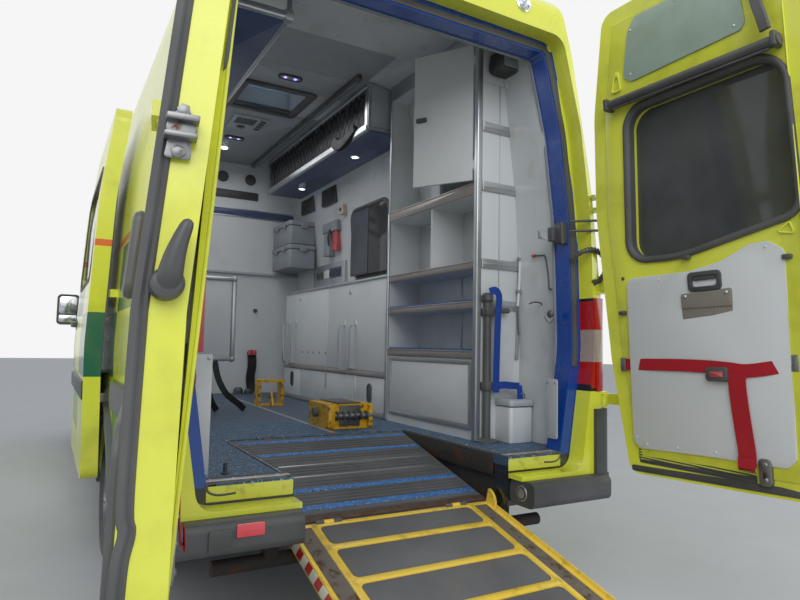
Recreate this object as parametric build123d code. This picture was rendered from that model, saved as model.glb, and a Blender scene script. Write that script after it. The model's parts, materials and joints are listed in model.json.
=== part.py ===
"""Panel-van ambulance with a super-high roof, a folding loading ramp and a fitted load space.

Sizes are millimetres, +X is the vehicle's right, +Y is forward, +Z is up from the road.
Every piece is modelled with Y measured from the rear sill of the load floor, and export()
moves all of them by the same amount, so that the origin is in the middle of the footprint.
Hinged panels are modelled closed and then swung to the position they have in use.
"""
import math
import os

from build123d import *

os.makedirs("parts", exist_ok=True)

# Overall body
BODY_REAR = -85.0          # outer skin of the closed rear doors
BODY_FRONT = 6860.0
BODY_HALF_WIDTH = 996.5
ROOF_TOP = 3030.0
WALL = 80.0                # side wall, from skin to lining
CEILING = 2920.0
ROOF_WALL = ROOF_TOP - CEILING
GAP = 8.0                  # gap round a panel that opens
SEAT = 0.3                 # gap between pieces that seat on each other
SILL_HEIGHT = 330.0
ROOF_JOINT = 2750.0        # where the roof moulding sits on the steel body
# Floor, frame and wheels
FLOOR = 700.0
FLOOR_THICKNESS = 40.0
AXLE_REAR = 1550.0
WHEELBASE = 4325.0
AXLE_FRONT = AXLE_REAR + WHEELBASE
WHEEL_RADIUS = 350.0
TYRE_WIDTH = 235.0
RIM_RADIUS = 206.0
WHEEL_CENTRE_X = 868.0
ARCH_RADIUS = 435.0
CAB_FLOOR = 655.0
TROLLEY_X, TROLLEY_Y = -200.0, 2600.0          # holes in the floor for a trolley's lock
TROLLEY_SPACING_X, TROLLEY_SPACING_Y, TROLLEY_HOLE = 300.0, 600.0, 5.0
HOUSE_WALL = 14.0
HOUSE_INNER_REAR = 700.0
HOUSE_INNER_FRONT = 520.0
RAIL_X = 540.0
RAIL_WIDTH = 70.0
RAIL_LOW = 470.0
RAIL_HIGH = 600.0
HUB_BORE = 35.0
DIFF_RADIUS = 145.0
KINGPIN_X = 846.0
KINGPIN_RADIUS = 18.0
RUNNING = 0.05             # radial clearance of a pin in its eye

# Cab and doors
BULKHEAD = 3790.0
BULKHEAD_THICKNESS = 30.0
PILLAR = 4060.0            # centre of the pillar behind the cab doors
DOOR_FRONT = 5240.0
BONNET_REAR = 6065.0
SLIDE_REAR = 2500.0
SLIDE_FRONT = 3775.0
SLIDE_TRAVEL = 1120.0
SLIDE_OUT = 128.0
SLIDE_RAIL_X = 1018.0      # outer face of the rail that carries the slid door
SLIDE_LOW = 470.0
SLIDE_HIGH = 2430.0

# Rear doors
REAR_SWING_RIGHT, REAR_SWING_LEFT = 94.0, 98.0     # how far the rear doors stand open
REAR_FOLDED = 178.0        # how far they open when folded back along the sides
HINGE_X = 1020.0
HINGE_Y = -60.0
HINGE_LEAN = 1.3           # the hinge line leans inwards with the pillar, in degrees
DOOR_LOW = 640.0
FRAME_DEPTH = 100.0        # how far the frame reaches forward of the sill
RAKE, RAKE_FROM = 0.065, 1200.0    # above this height the rear face leans forward by this much for each unit up
FLANGE = 50.0              # how far the doors overlap the frame behind them
BUMPER_TOP = 612.0

# Ramp
RAMP_HINGE = 930.0         # from the sill forward to the floor hinge
RAMP_SLOPE = 14.7
BOARD_LENGTH = 827.0
BOARD_HALF_WIDTH = 478.0
BOARD_THICKNESS = 30.0
OUTER_LENGTH = 975.0
OUTER_HALF_WIDTH = 462.0
OUTER_THICKNESS = 48.0
TIP_LENGTH = 900.0
RECESS_HALF_WIDTH = 492.0
RAMP_GAP = 6.0
BOARD_START = 14.0         # the board starts this far behind its hinge line, so its lower edge clears

# Inside fittings
# Overhead lockers, drawn for the right: outline from behind, the cut that opens them or None, ends, side
LOCKERS = (
    ([(470, 2600, 12), (940, 2600, 12), (940, 2918, 12), (470, 2918, 12)], (440, 520, 1475, 3520, 2640, 2880), 1440, 3550, 1),
    ([(440, 2600, 12), (940, 2600, 12), (940, 2918, 12), (440, 2918, 12)], None, 375, 1470, -1),
)
HATCH_HALF, HATCH_REAR, HATCH_FRONT, HATCH_RIM, HATCH_TOP = 245.0, 1830.0, 2290.0, 45.0, 3075.0
BOX_INNER, BOX_REAR, BOX_FRONT, BOX_LOW, BOX_HIGH = -157.0, 2200.0, 2450.0, 1065.0, 1620.0    # cupboard on the left wall
CABINET_FACE = 635.0
CABINET_TOP = 1635.0
LINING_X = BODY_HALF_WIDTH - WALL
TALL_REAR = 430.0
TALL_FRONT = 1405.0
CABINET_FRONT = 3370.0

SHELVES = ((1160, 1380), (1420, 1590), (1630, 1980), (2050, 2800))   # low and high edge of each bay
POST = 22.0                # width of the tall unit's posts
TALL_DIVIDER = 884.0
LEAF = 16.0                # thickness of the cupboard door
LEAF_REAR = TALL_REAR + 32
LEAF_WIDTH = 355.0
LEAF_LOW = 2056.0
LEAF_HIGH = 2794.0
LEAF_OFF = 5.0             # the closed leaf stands this far off the unit
UNIT_SWING = 30.5
UNIT_HINGE_X = CABINET_FACE - LEAF_OFF - LEAF / 2
UNIT_HINGE_Y = LEAF_REAR - 7
UNIT_HINGE = Axis((UNIT_HINGE_X, UNIT_HINGE_Y, 2000), (0, 0, 1))

# Hinges: radii of pin and eye, half length of the eye, thickness of a lug
REAR_PIN, REAR_EYE, REAR_HALF, REAR_LUG = 8.0, 17.0, 25.0, 12.0
CAB_PIN, CAB_EYE, CAB_HALF, CAB_LUG = 5.0, 10.0, 20.0, 10.0
FOLD_PIN, FOLD_EYE, FOLD_HALF, FOLD_KNUCKLE = 4.5, 9.0, 20.0, 35.0
FOLD_CLEAR = 14.0          # how far the boards are notched round a knuckle
FOLD_AT = (-300.0, 300.0)
CAB_HINGE_X, CAB_HINGE_Y = 1008.0, DOOR_FRONT + 4
BONNET_HINGE_Y, BONNET_HINGE_Z = BONNET_REAR - 4, 1366.0
# Height of each rear hinge, reach of its lugs to the pillar and of its arm to the leaf
REAR_HINGES = ((945.0, 90.0, 185.0), (1480.0, 50.0, 135.0), (1880.0, 50.0, 140.0))
CAB_HINGES = (800.0, 1250.0)
BONNET_HINGES = (-560.0, 560.0)
UNIT_HINGES = (2140.0, 2710.0)

# How far each joint travels, in degrees
CAB_DOOR_SWING = 68.0
BONNET_SWING = 55.0
UNIT_FURTHER = 69.5
STEER = 35.0

RAMP_LENGTH = BOARD_LENGTH + OUTER_LENGTH + TIP_LENGTH + 2 * RAMP_GAP
OUTER_PIVOT = BOARD_LENGTH + RAMP_GAP / 2                          # along the ramp from its floor hinge
TIP_PIVOT = BOARD_LENGTH + OUTER_LENGTH + 3 * RAMP_GAP / 2
OUTER_PIVOT_RISE, TIP_PIVOT_RISE = 0.0, 4.0                        # above the boards' upper face
RAMP_REACH = RAMP_LENGTH * math.cos(math.radians(RAMP_SLOPE)) - RAMP_HINGE
Y_MIDDLE = (BODY_FRONT - RAMP_REACH) / 2

EXPORTED = {}


def export(name, *shapes):
    """Writes one sub-part, moved so that the origin is in the middle of the footprint."""
    solids = [s for shape in shapes for s in shape.solids()]
    moved = Compound(children=[s.moved(Location((0, -Y_MIDDLE, 0))) for s in solids])
    export_step(moved if len(solids) > 1 else moved.solids()[0], f"parts/{name}.step")
    EXPORTED[name] = moved


def box(x0, x1, y0, y1, z0, z1):
    """A block between two corners."""
    size = (x1 - x0, y1 - y0, z1 - z0)
    middle = ((x0 + x1) / 2, (y0 + y1) / 2, (z0 + z1) / 2)
    return Location(middle) * Box(*size)


def upright(radius, x, y, z0, z1):
    """A standing cylinder."""
    return Location((x, y, z0)) * Cylinder(radius, z1 - z0, align=(Align.CENTER, Align.CENTER, Align.MIN))


def lying(radius, x0, x1, y, z):
    """A cylinder along X."""
    turned = Rotation(0, 90, 0) * Cylinder(radius, x1 - x0, align=(Align.CENTER, Align.CENTER, Align.MIN))
    return Location((x0, y, z)) * turned


def both_sides(shape):
    """The piece on the vehicle's right, with its mirror image on the left."""
    return [shape, shape.mirror(Plane.YZ)]


def inset_outline(corners, inset):
    """Moves each edge of a convex, anticlockwise outline of (a, b, radius) rows inwards."""
    count = len(corners)
    edges = []
    for i in range(count):
        a0, b0, _ = corners[i]
        a1, b1, _ = corners[(i + 1) % count]
        length = math.hypot(a1 - a0, b1 - b0)
        normal = (-(b1 - b0) / length, (a1 - a0) / length)
        edges.append((a0 + normal[0] * inset, b0 + normal[1] * inset, (a1 - a0) / length, (b1 - b0) / length))
    result = []
    for i in range(count):
        p, q = edges[i - 1], edges[i]
        cross = p[2] * q[3] - p[3] * q[2]
        t = ((q[0] - p[0]) * q[3] - (q[1] - p[1]) * q[2]) / cross
        result.append((p[0] + p[2] * t, p[1] + p[3] * t, max(corners[i][2] - inset, 5.0)))
    return result


def face_of(plane, corners):
    """A face on a plane, from (a, b, radius) rows in order round its outline."""
    path = FilletPolyline(*[(a, b) for a, b, _ in corners], radius=[r for _, _, r in corners], close=True)
    return plane * make_face(path.edges())


SIDE_PLANE = Plane((0, 0, 0), x_dir=(0, 1, 0), z_dir=(1, 0, 0))     # (y, z), extrudes towards +X
FRONT_PLANE = Plane((0, 0, 0), x_dir=(1, 0, 0), z_dir=(0, -1, 0))   # (x, z), extrudes towards -Y


def side_prism(corners, x0, x1):
    """Extrudes an outline in (y, z, radius) rows from x0 to x1."""
    return Location((x0, 0, 0)) * extrude(face_of(SIDE_PLANE, corners), x1 - x0)


def front_prism(corners, y0, y1):
    """Extrudes an outline in (x, z, radius) rows from y0 to y1."""
    return Location((0, y1, 0)) * extrude(face_of(FRONT_PLANE, corners), y1 - y0)


def plan_prism(corners, z0, z1):
    """Extrudes an outline in (x, y, radius) rows from z0 to z1."""
    return Location((0, 0, z0)) * extrude(face_of(Plane.XY, corners), z1 - z0)


def mirrored(half):
    """Completes the right half of an outline of (x, other, radius) rows that runs upwards."""
    return list(half) + [(-x, other, r) for x, other, r in reversed(half)]


# Side view of the body: (y, z, corner radius), anticlockwise
SIDE_VIEW = [
    (BODY_REAR, 480, 30),
    (700, SILL_HEIGHT, 100),
    (6500, 270, 100),
    (6815, 285, 40),
    (BODY_FRONT, 520, 120),
    (6835, 880, 160),
    (6640, 1130, 220),
    (6020, 1370, 90),
    (5130, 2330, 250),
    (4760, 2860, 420),
    (4150, ROOF_TOP, 900),
    (1200, ROOF_TOP, 3000),
    (330, 3005, 500),
    (BODY_REAR + RAKE * (2880 - RAKE_FROM), 2880, 150),
    (BODY_REAR, RAKE_FROM, 1500),
]
# Cross section, right half: (x, z, corner radius) from the bottom up
CROSS_SECTION = mirrored([
    (890, 60, 30),
    (980, 420, 300),
    (BODY_HALF_WIDTH, 1150, 1500),
    (962, 1950, 2500),
    (880, 2600, 500),
    (800, 2955, 200),
    (340, ROOF_TOP, 700),
])
# Plan view, right half: (x, y, corner radius) from the rear forward
PLAN_VIEW = mirrored([
    (1010, BODY_REAR, 60),
    (1010, 5000, 1500),
    (985, 5750, 1200),
    (880, 6500, 330),
    (620, 6815, 300),
    (260, BODY_FRONT + 5, 500),
])


def body_form(inset, roof_inset=None, open_below=False):
    """The whole outer form of the vehicle, moved inwards by a wall thickness."""
    roof_inset = inset if roof_inset is None else roof_inset
    side = inset_outline(SIDE_VIEW, inset)
    if roof_inset != inset:
        drop = roof_inset - inset
        side = [(y, z - drop if z > 2700 else z, r) for y, z, r in side]
    if open_below:
        side = [(y, z - 250 if z < 620 else z, r) for y, z, r in side]
    section = inset_outline(CROSS_SECTION, inset)
    plan = inset_outline(PLAN_VIEW, inset)
    form = side_prism(side, -1100, 1100) & front_prism(section, BODY_REAR - 20, BODY_FRONT + 40)
    return form & plan_prism(plan, 150, 3200)


def arch_cut(y, reach_in, radius=ARCH_RADIUS):
    """The round space of one axle's wheels, on both sides."""
    return both_sides(lying(radius, reach_in, reach_in + 600, y, WHEEL_RADIUS))


def grown(corners, amount):
    """An outline grown outwards by a gap."""
    return inset_outline(corners, -amount)


# Outlines of what opens, in the side view (y, z, radius) or from behind (x, z, radius)
CAB_DOOR = [
    (PILLAR + 40, 430, 60), (DOOR_FRONT - 40, 430, 40), (DOOR_FRONT, 900, 150), (DOOR_FRONT, 1500, 60),
    (5190, 1720, 200), (4900, 2215, 160), (PILLAR + 40, 2290, 90),
]
CAB_WINDOW = [
    (PILLAR + 130, 1370, 60), (DOOR_FRONT - 110, 1370, 50), (DOOR_FRONT - 150, 1640, 120),
    (4870, 2110, 110), (PILLAR + 130, 2170, 70),
]
SLIDE_DOOR = [
    (SLIDE_REAR, SLIDE_LOW, 60), (SLIDE_FRONT, SLIDE_LOW, 60), (SLIDE_FRONT, SLIDE_HIGH, 90), (SLIDE_REAR, SLIDE_HIGH, 90),
]
SLIDE_WINDOW = [
    (SLIDE_REAR + 140, 1500, 80), (SLIDE_FRONT - 140, 1500, 80), (SLIDE_FRONT - 140, 2120, 80), (SLIDE_REAR + 140, 2120, 80),
]
RIGHT_PANE = [(1800, 1700, 80), (2470, 1700, 80), (2470, 2200, 80), (1800, 2200, 80)]   # load space, right wall
WINDSCREEN = [(-800, 1395, 120), (800, 1395, 120), (700, 2330, 160), (-700, 2330, 160)]
BONNET = [(-720, BONNET_REAR, 60), (720, BONNET_REAR, 60), (690, 6500, 120), (430, 6690, 200), (-430, 6690, 200), (-690, 6500, 120)]
REAR_DOOR = [
    (4, DOOR_LOW, 15), (838, DOOR_LOW, 60), (918, 1150, 900), (938, 1800, 900), (905, 2250, 600), (818, 2690, 70),
    (4, 2700, 15),
]
REAR_PANE = [(82, 1655, 60), (545, 1560, 500), (772, 1572, 80), (728, 2222, 90), (88, 2232, 110)]


def rear_opening():
    """The opening in the frame behind both rear doors, down to the load floor."""
    right = [(x, z, max(r - FLANGE, 30)) for x, z, r in inset_outline(REAR_DOOR, FLANGE) if x > 300]
    right[0] = (right[0][0], FLOOR - FLOOR_THICKNESS, 5)
    return mirrored(right)


def rake(z):
    """How far the rear face has moved forward at a height."""
    return RAKE * max(0.0, z - RAKE_FROM)


def behind(offset):
    """All behind a plane that runs parallel to the leaning rear face and crosses the sill at an offset."""
    high = 3300
    corners = [(-400, 0), (offset, 0), (offset, RAKE_FROM), (offset + rake(high), high), (-400, high)]
    outline = Polyline(*corners, close=True)
    return Location((-1200, 0, 0)) * extrude(SIDE_PLANE * make_face(outline.edges()), 2400)


def doorway():
    """Both rear doors' outline in one, grown by the gap round them."""
    half = grown(REAR_DOOR, GAP)
    right = [(x, z, r) for x, z, r in half if x > 300]
    top = half[-1][1]
    return list(right) + [(0, top, 200)] + [(-x, z, r) for x, z, r in reversed(right)]


def swung(shapes, hinge, angle):
    """Turns pieces about a hinge line."""
    return [shape.rotate(hinge, angle) for shape in shapes]


def rear_hinge(side):
    """The line of one rear door's hinges, side +1 for the right door."""
    lean = math.radians(HINGE_LEAN)
    return Axis((side * HINGE_X, HINGE_Y, FLOOR), (-side * math.sin(lean), 0, math.cos(lean)))


OUTER = body_form(0)
INNER = body_form(WALL, ROOF_WALL, open_below=True)
SHELL = OUTER - INNER
INSIDE = body_form(WALL + SEAT, ROOF_WALL + SEAT, open_below=True)    # room for what seats on the lining
PANE_BAND = body_form(14) - body_form(20)


def rear_hinge_halves():
    """Fixed and moving halves of the right door's hinges, as they are with the door closed."""
    fixed, moving = [], []
    for z, lug_reach, arm_reach in REAR_HINGES:
        low, high = z - REAR_HALF, z + REAR_HALF
        fixed.append(upright(REAR_PIN, HINGE_X, HINGE_Y, low - REAR_LUG, high + REAR_LUG))
        for z0, z1 in ((low - REAR_LUG, low - SEAT), (high + SEAT, high + REAR_LUG)):
            fixed.append(box(HINGE_X - lug_reach, HINGE_X + 14, HINGE_Y - 14, 12 + rake(z), z0, z1))
        arm = upright(REAR_EYE, HINGE_X, HINGE_Y, low, high)
        arm += box(HINGE_X - arm_reach, HINGE_X + 12, BODY_REAR - 16, BODY_REAR - 5, low, high)
        arm += box(HINGE_X - arm_reach, HINGE_X - arm_reach + 35, BODY_REAR - 8, BODY_REAR + 20 + rake(z), low, high)
        arm += box(HINGE_X - 12, HINGE_X + 12, BODY_REAR - 16, HINGE_Y - 10, low, high)
        moving.append(arm - upright(REAR_PIN + RUNNING, HINGE_X, HINGE_Y, low - 1, high + 1))
    foot = Axis((HINGE_X, HINGE_Y, FLOOR), (0, 1, 0))
    return swung(fixed, foot, -HINGE_LEAN), swung(moving, foot, -HINGE_LEAN)


def cab_hinge_halves():
    """Fixed and moving halves of the right cab door's hinges."""
    fixed, moving = [], []
    x, y = CAB_HINGE_X, CAB_HINGE_Y
    for z in CAB_HINGES:
        low, high = z - CAB_HALF, z + CAB_HALF
        fixed.append(upright(CAB_PIN, x, y, low - CAB_LUG, high + CAB_LUG))
        for z0, z1 in ((low - CAB_LUG, low - SEAT), (high + SEAT, high + CAB_LUG)):
            fixed.append(box(x - 7, x + 7, y - 7, y + 20, z0, z1) + box(x - 33, x + 7, y + 8, y + 20, z0, z1))
        arm = upright(CAB_EYE, x, y, low, high) + box(x - 33, x + 4, y - 29, y - 14, low, high)
        arm += box(x - 7, x + 4, y - 16, y, low, high)
        moving.append(arm - upright(CAB_PIN + RUNNING, x, y, low - 1, high + 1))
    return fixed, moving


def bonnet_hinge_halves():
    """Fixed and moving halves of the bonnet's hinges."""
    fixed, moving = [], []
    y, z = BONNET_HINGE_Y, BONNET_HINGE_Z
    for x in BONNET_HINGES:
        fixed.append(lying(4, x - 28, x + 28, y, z))
        for x0, x1 in ((x - 28, x - 15 - SEAT), (x + 15 + SEAT, x + 28)):
            fixed.append(box(x0, x1, y - 26, y - 7, z - 36, z + 5) + box(x0, x1, y - 11, y + 5, z - 7.5, z + 5))
        arm = lying(8.5, x - 15, x + 15, y, z) + box(x - 15, x + 15, y + 7, y + 34, z - 36, z + 5)
        arm += box(x - 15, x + 15, y, y + 14, z - 8, z + 5)
        moving.append(arm - lying(4 + RUNNING, x - 16, x + 16, y, z))
    return fixed, moving


def load_body():
    """Side walls, roof and the frame round the rear doors."""
    arches = arch_cut(AXLE_REAR, 690) + arch_cut(AXLE_FRONT, 500)
    walls = (SHELL & box(-1100, 1100, FRAME_DEPTH, PILLAR, 150, ROOF_JOINT)) - behind(FRAME_DEPTH)
    for arch in arches:
        walls -= arch
    walls -= side_prism(grown(SLIDE_DOOR, GAP), -1100, -700)
    walls -= side_prism(RIGHT_PANE, 700, 1100)
    rail = box(-SLIDE_RAIL_X, -SLIDE_RAIL_X + 60, SLIDE_REAR - SLIDE_TRAVEL - 20, SLIDE_REAR - GAP, 1400, 1440)
    export("side_left", (walls & box(-1100, 0, 0, PILLAR, 100, 3000)) + rail)
    export("side_right", walls & box(0, 1100, 0, PILLAR, 100, 3000))
    hatch = box(-HATCH_HALF, HATCH_HALF, HATCH_REAR, HATCH_FRONT, 2600, 3200)
    export("roof", (SHELL & box(-1100, 1100, -200, 5400, ROOF_JOINT, 3200)) - hatch)
    outer_band = OUTER & behind(6) & box(-1100, 1100, BODY_REAR - 10, 300, BUMPER_TOP + SEAT, ROOF_JOINT)
    outer_band -= front_prism(doorway(), BODY_REAR - 50, 400)
    inner_band = OUTER & (behind(FRAME_DEPTH) - behind(6)) & box(-1100, 1100, 0, 400, 490, ROOF_JOINT)
    inner_band -= front_prism(rear_opening(), -100, 500)
    frame = outer_band + inner_band
    frame -= box(-RECESS_HALF_WIDTH, RECESS_HALF_WIDTH, -200, 200, 400, FLOOR)
    for half in rear_hinge_halves()[0]:
        for piece in both_sides(half):
            frame += piece
    export("rear_frame", frame)


def cab_body():
    """Cab shell with its doorways, windscreen, bonnet and lamp openings cut."""
    cab = SHELL & box(-1100, 1100, PILLAR, BODY_FRONT + 50, 150, ROOF_JOINT)
    cab -= box(-1100, 1100, 5960, 7000, 100, 620)
    for arch in arch_cut(AXLE_FRONT, 500):
        cab -= arch
    for side in both_sides(side_prism(grown(CAB_DOOR, GAP), 700, 1100)):
        cab -= side
    screen = front_prism(WINDSCREEN, 5050, 6300)
    bonnet = plan_prism(grown(BONNET, GAP), 1000, 1450)
    grille = front_prism(GRILLE, 6500, 7000)
    cab = cab - screen - bonnet - grille
    for lamp in both_sides(front_prism(LAMP, 6300, 7000)):
        cab -= lamp
    cab = max(cab.solids(), key=lambda s: s.volume)
    for half in cab_hinge_halves()[0]:
        for piece in both_sides(half):
            cab += piece
    for half in bonnet_hinge_halves()[0]:
        cab += half
    export("cab_shell", cab)


GRILLE = [(-400, 720, 50), (400, 720, 50), (470, 985, 60), (-470, 985, 60)]
LAMP = [(520, 740, 40), (860, 800, 60), (905, 1150, 60), (600, 1010, 60)]


def cab_fittings():
    """Grille, head lamps, bumper, glass, bonnet and cab doors."""
    front_skin = OUTER - body_form(60)
    grille = front_skin & front_prism(inset_outline(GRILLE, SEAT), 6500, 7000)
    lamp = front_skin & front_prism(inset_outline(LAMP, SEAT), 6300, 7000) & box(0, 1100, 6300, 7000, 600, 1200)
    export("headlamps", *both_sides(max(lamp.solids(), key=lambda s: s.volume)))
    bumper = SHELL & box(-1100, 1100, 6040, 7000, 200, 620 - SEAT)
    for arch in arch_cut(AXLE_FRONT, 500):
        bumper -= arch
    export("front_bumper", max(bumper.solids(), key=lambda s: s.volume), grille)
    screen = PANE_BAND & front_prism(inset_outline(WINDSCREEN, SEAT), 5050, 6300)
    panes = [max(screen.solids(), key=lambda s: s.volume)]
    panes.append(PANE_BAND & side_prism(inset_outline(RIGHT_PANE, SEAT), 700, 1100))
    rim = HATCH_RIM + SEAT
    panes.append(box(rim - HATCH_HALF, HATCH_HALF - rim, HATCH_REAR + rim, HATCH_FRONT - rim, HATCH_TOP - 14, HATCH_TOP - 8))
    slid = Location((-SLIDE_OUT, -SLIDE_TRAVEL, 0))
    panes.append(slid * (PANE_BAND & side_prism(inset_outline(SLIDE_WINDOW, SEAT), -1100, -700)))
    export("fixed_glass", *panes)
    sheet = OUTER - body_form(45)
    bonnet = sheet & plan_prism(BONNET, 1000, 1450)
    bonnet = max(bonnet.solids(), key=lambda s: s.volume)
    for half in bonnet_hinge_halves()[1]:
        bonnet += half
    export("bonnet", bonnet)
    door = (SHELL & side_prism(CAB_DOOR, 700, 1100)) - side_prism(CAB_WINDOW, 700, 1100)
    for arch in arch_cut(AXLE_FRONT, 500, ARCH_RADIUS + GAP):
        door -= arch
    for half in cab_hinge_halves()[1]:
        door += half
    glass = PANE_BAND & side_prism(inset_outline(CAB_WINDOW, SEAT), 700, 1100)
    mirror = both_sides(cab_mirror())
    for side, name in ((0, "right"), (1, "left")):
        export(f"cab_door_{name}", both_sides(door)[side])
        export(f"cab_glass_{name}", both_sides(glass)[side])
        export(f"mirror_{name}", mirror[side])


def cab_mirror():
    """The right door mirror: a tall housing on a short arm."""
    housing = box(1010, 1215, 5055, 5130, 1330, 1640)
    housing = fillet(housing.edges().filter_by(Axis.Y), 40)
    arm = box(960, 1080, 5075, 5115, 1400, 1440)
    return (housing + arm) - OUTER


def sliding_door():
    """The side door, slid open along the left wall."""
    door = (SHELL & side_prism(SLIDE_DOOR, -1100, -700)) - side_prism(SLIDE_WINDOW, -1100, -700)
    reach = SLIDE_OUT - SLIDE_RAIL_X - SEAT
    arm = box(-LINING_X - 60, reach, SLIDE_REAR + 15, SLIDE_REAR + 95, 1400, 1440)
    guide = box(-LINING_X - 30, -LINING_X + 100, SLIDE_FRONT - 92, SLIDE_FRONT - 22, SLIDE_LOW - GAP + SEAT, SLIDE_LOW + 25)
    export("sliding_door", Location((-SLIDE_OUT, -SLIDE_TRAVEL, 0)) * (door + arm + guide))


def rear_doors():
    """Two leaves with a pane each, swung open."""
    for side, name, swing in ((1, "right", REAR_SWING_RIGHT), (-1, "left", REAR_SWING_LEFT)):
        leaf = OUTER & front_prism(REAR_DOOR, BODY_REAR - 20, 300) & behind(0)
        leaf -= front_prism(REAR_PANE, BODY_REAR - 60, 300)
        for half in rear_hinge_halves()[1]:
            leaf += half
        pane = (body_form(20) - body_form(26)) & front_prism(inset_outline(REAR_PANE, SEAT), BODY_REAR - 60, 150)
        pieces = [leaf, pane]
        if side < 0:
            pieces = [p.mirror(Plane.YZ) for p in pieces]
        leaf, pane = swung(pieces, rear_hinge(side), side * swing)
        export(f"rear_door_{name}", leaf)
        export(f"rear_glass_{name}", pane)


def frame_and_axles():
    """Ladder frame, axles, knuckles, engine and wheel housings."""
    parts = []
    for rail in both_sides(box(RAIL_X - RAIL_WIDTH / 2, RAIL_X + RAIL_WIDTH / 2, FRAME_DEPTH + SEAT, 4560, RAIL_LOW, RAIL_HIGH)):
        parts.append(rail)
    for rail in both_sides(box(400, 470, 4440, 6600, RAIL_LOW, RAIL_HIGH)):
        parts.append(rail)
    frame = parts[0]
    for piece in parts[1:]:
        frame += piece
    for y in (1000, 1900, 2600, 3300, 4000):
        frame += box(-RAIL_X, RAIL_X, y - 30, y + 30, RAIL_LOW + 20, FLOOR - FLOOR_THICKNESS)
    for y in (4500, 5350, 5700, 6200, 6560):
        frame += box(-RAIL_X if y < 5000 else -440, RAIL_X if y < 5000 else 440, y - 50, y + 50, RAIL_LOW, RAIL_HIGH)
    for y in (400, 1000, 2200, 3000, 3700):
        for outrigger in both_sides(box(RAIL_X, 1000, y - 25, y + 25, RAIL_HIGH - 60, FLOOR - FLOOR_THICKNESS)):
            frame += outrigger & INSIDE
    frame += lying(27, -750, 750, 110, 385)
    for drop in both_sides(box(RAIL_X - 25, RAIL_X + 25, 85, 135, 380, RAIL_LOW + 10)):
        frame += drop
    export("chassis", frame)

    beam = lying(42, -760, 760, AXLE_REAR, WHEEL_RADIUS)
    pan = Cylinder(DIFF_RADIUS, 200)
    pan = fillet(pan.edges().filter_by(GeomType.CIRCLE), 45)
    beam += Location((0, AXLE_REAR, WHEEL_RADIUS)) * (Rotation(90, 0, 0) * pan)
    for stub in both_sides(lying(HUB_BORE - RUNNING, 760, 930, AXLE_REAR, WHEEL_RADIUS)):
        beam += stub
    for spring in both_sides(leaf_spring()):
        beam += spring
    cross = box(-640, 640, AXLE_FRONT - 60, AXLE_FRONT + 60, WHEEL_RADIUS - 25, WHEEL_RADIUS + 25)
    for end in both_sides(axle_eye()):
        cross += end
    for post in both_sides(box(400, 470, AXLE_FRONT - 40, AXLE_FRONT + 40, WHEEL_RADIUS, RAIL_LOW - SEAT)):
        cross += post
    export("axles", beam, cross)
    for side, name in ((0, "right"), (1, "left")):
        export(f"knuckle_{name}", both_sides(knuckle())[side])
    export("engine_block", box(-280, 280, 5645, 6300, RAIL_HIGH + SEAT, 1080))
    export("wheel_housings", *wheel_housings())


def leaf_spring():
    """One curved leaf pack of the rear axle, hung under its rail."""
    half_span, rise, depth, bend = 640.0, 95.0, 36.0, 3500.0
    low = WHEEL_RADIUS + 40
    rear, front = AXLE_REAR - half_span, AXLE_REAR + half_span
    outline = [
        (rear, low + rise, 2), (AXLE_REAR, low, bend), (front, low + rise, 2),
        (front, low + rise + depth, 2), (AXLE_REAR, low + depth, bend), (rear, low + rise + depth, 2),
    ]
    pack = side_prism(outline, RAIL_X + 55, RAIL_X + 125)
    pack += box(RAIL_X + 55, RAIL_X + 125, AXLE_REAR - 50, AXLE_REAR + 50, WHEEL_RADIUS, low + 60)
    for y in (AXLE_REAR - half_span + 35, AXLE_REAR + half_span - 35):
        pack += box(RAIL_X + RAIL_WIDTH / 2 + SEAT, RAIL_X + 125, y - 30, y + 30, 460, RAIL_HIGH - 65)
    return pack


def axle_eye():
    """The arm and eye that carry one front knuckle."""
    at = Location((KINGPIN_X, AXLE_FRONT, WHEEL_RADIUS))
    arm = box(600, KINGPIN_X - 20, AXLE_FRONT - 25, AXLE_FRONT + 25, WHEEL_RADIUS - 22, WHEEL_RADIUS + 22)
    return (arm + at * Cylinder(32, 60)) - at * Cylinder(KINGPIN_RADIUS + RUNNING, 80)


def knuckle():
    """Kingpin, two lugs, web and the stub that carries the wheel."""
    at = Location((KINGPIN_X, AXLE_FRONT, WHEEL_RADIUS))
    body = at * Cylinder(KINGPIN_RADIUS, 130)
    for z in (WHEEL_RADIUS + 30 + SEAT, WHEEL_RADIUS - 62):
        body += box(KINGPIN_X - 30, KINGPIN_X + 48, AXLE_FRONT - 34, AXLE_FRONT + 34, z, z + 32 - SEAT)
    body += box(KINGPIN_X + 35, KINGPIN_X + 48, AXLE_FRONT - 34, AXLE_FRONT + 34, WHEEL_RADIUS - 62, WHEEL_RADIUS + 62)
    return body + lying(HUB_BORE - RUNNING, KINGPIN_X + 40, KINGPIN_X + 90, AXLE_FRONT, WHEEL_RADIUS)


def wheel_housings():
    """Round liners over the wheels, each closed on its inner side."""
    pieces = []
    for y, inner in ((AXLE_REAR, HOUSE_INNER_REAR), (AXLE_FRONT, HOUSE_INNER_FRONT)):
        drum = arch_cut(y, inner - HOUSE_WALL, ARCH_RADIUS + HOUSE_WALL)[0]
        liner = (drum - arch_cut(y, inner, ARCH_RADIUS)[0]) & box(0, 1100, y - 600, y + 600, 420, 900)
        liner &= INNER
        liner = max(liner.solids(), key=lambda s: s.volume)
        pieces += both_sides(liner)
    return pieces


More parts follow.
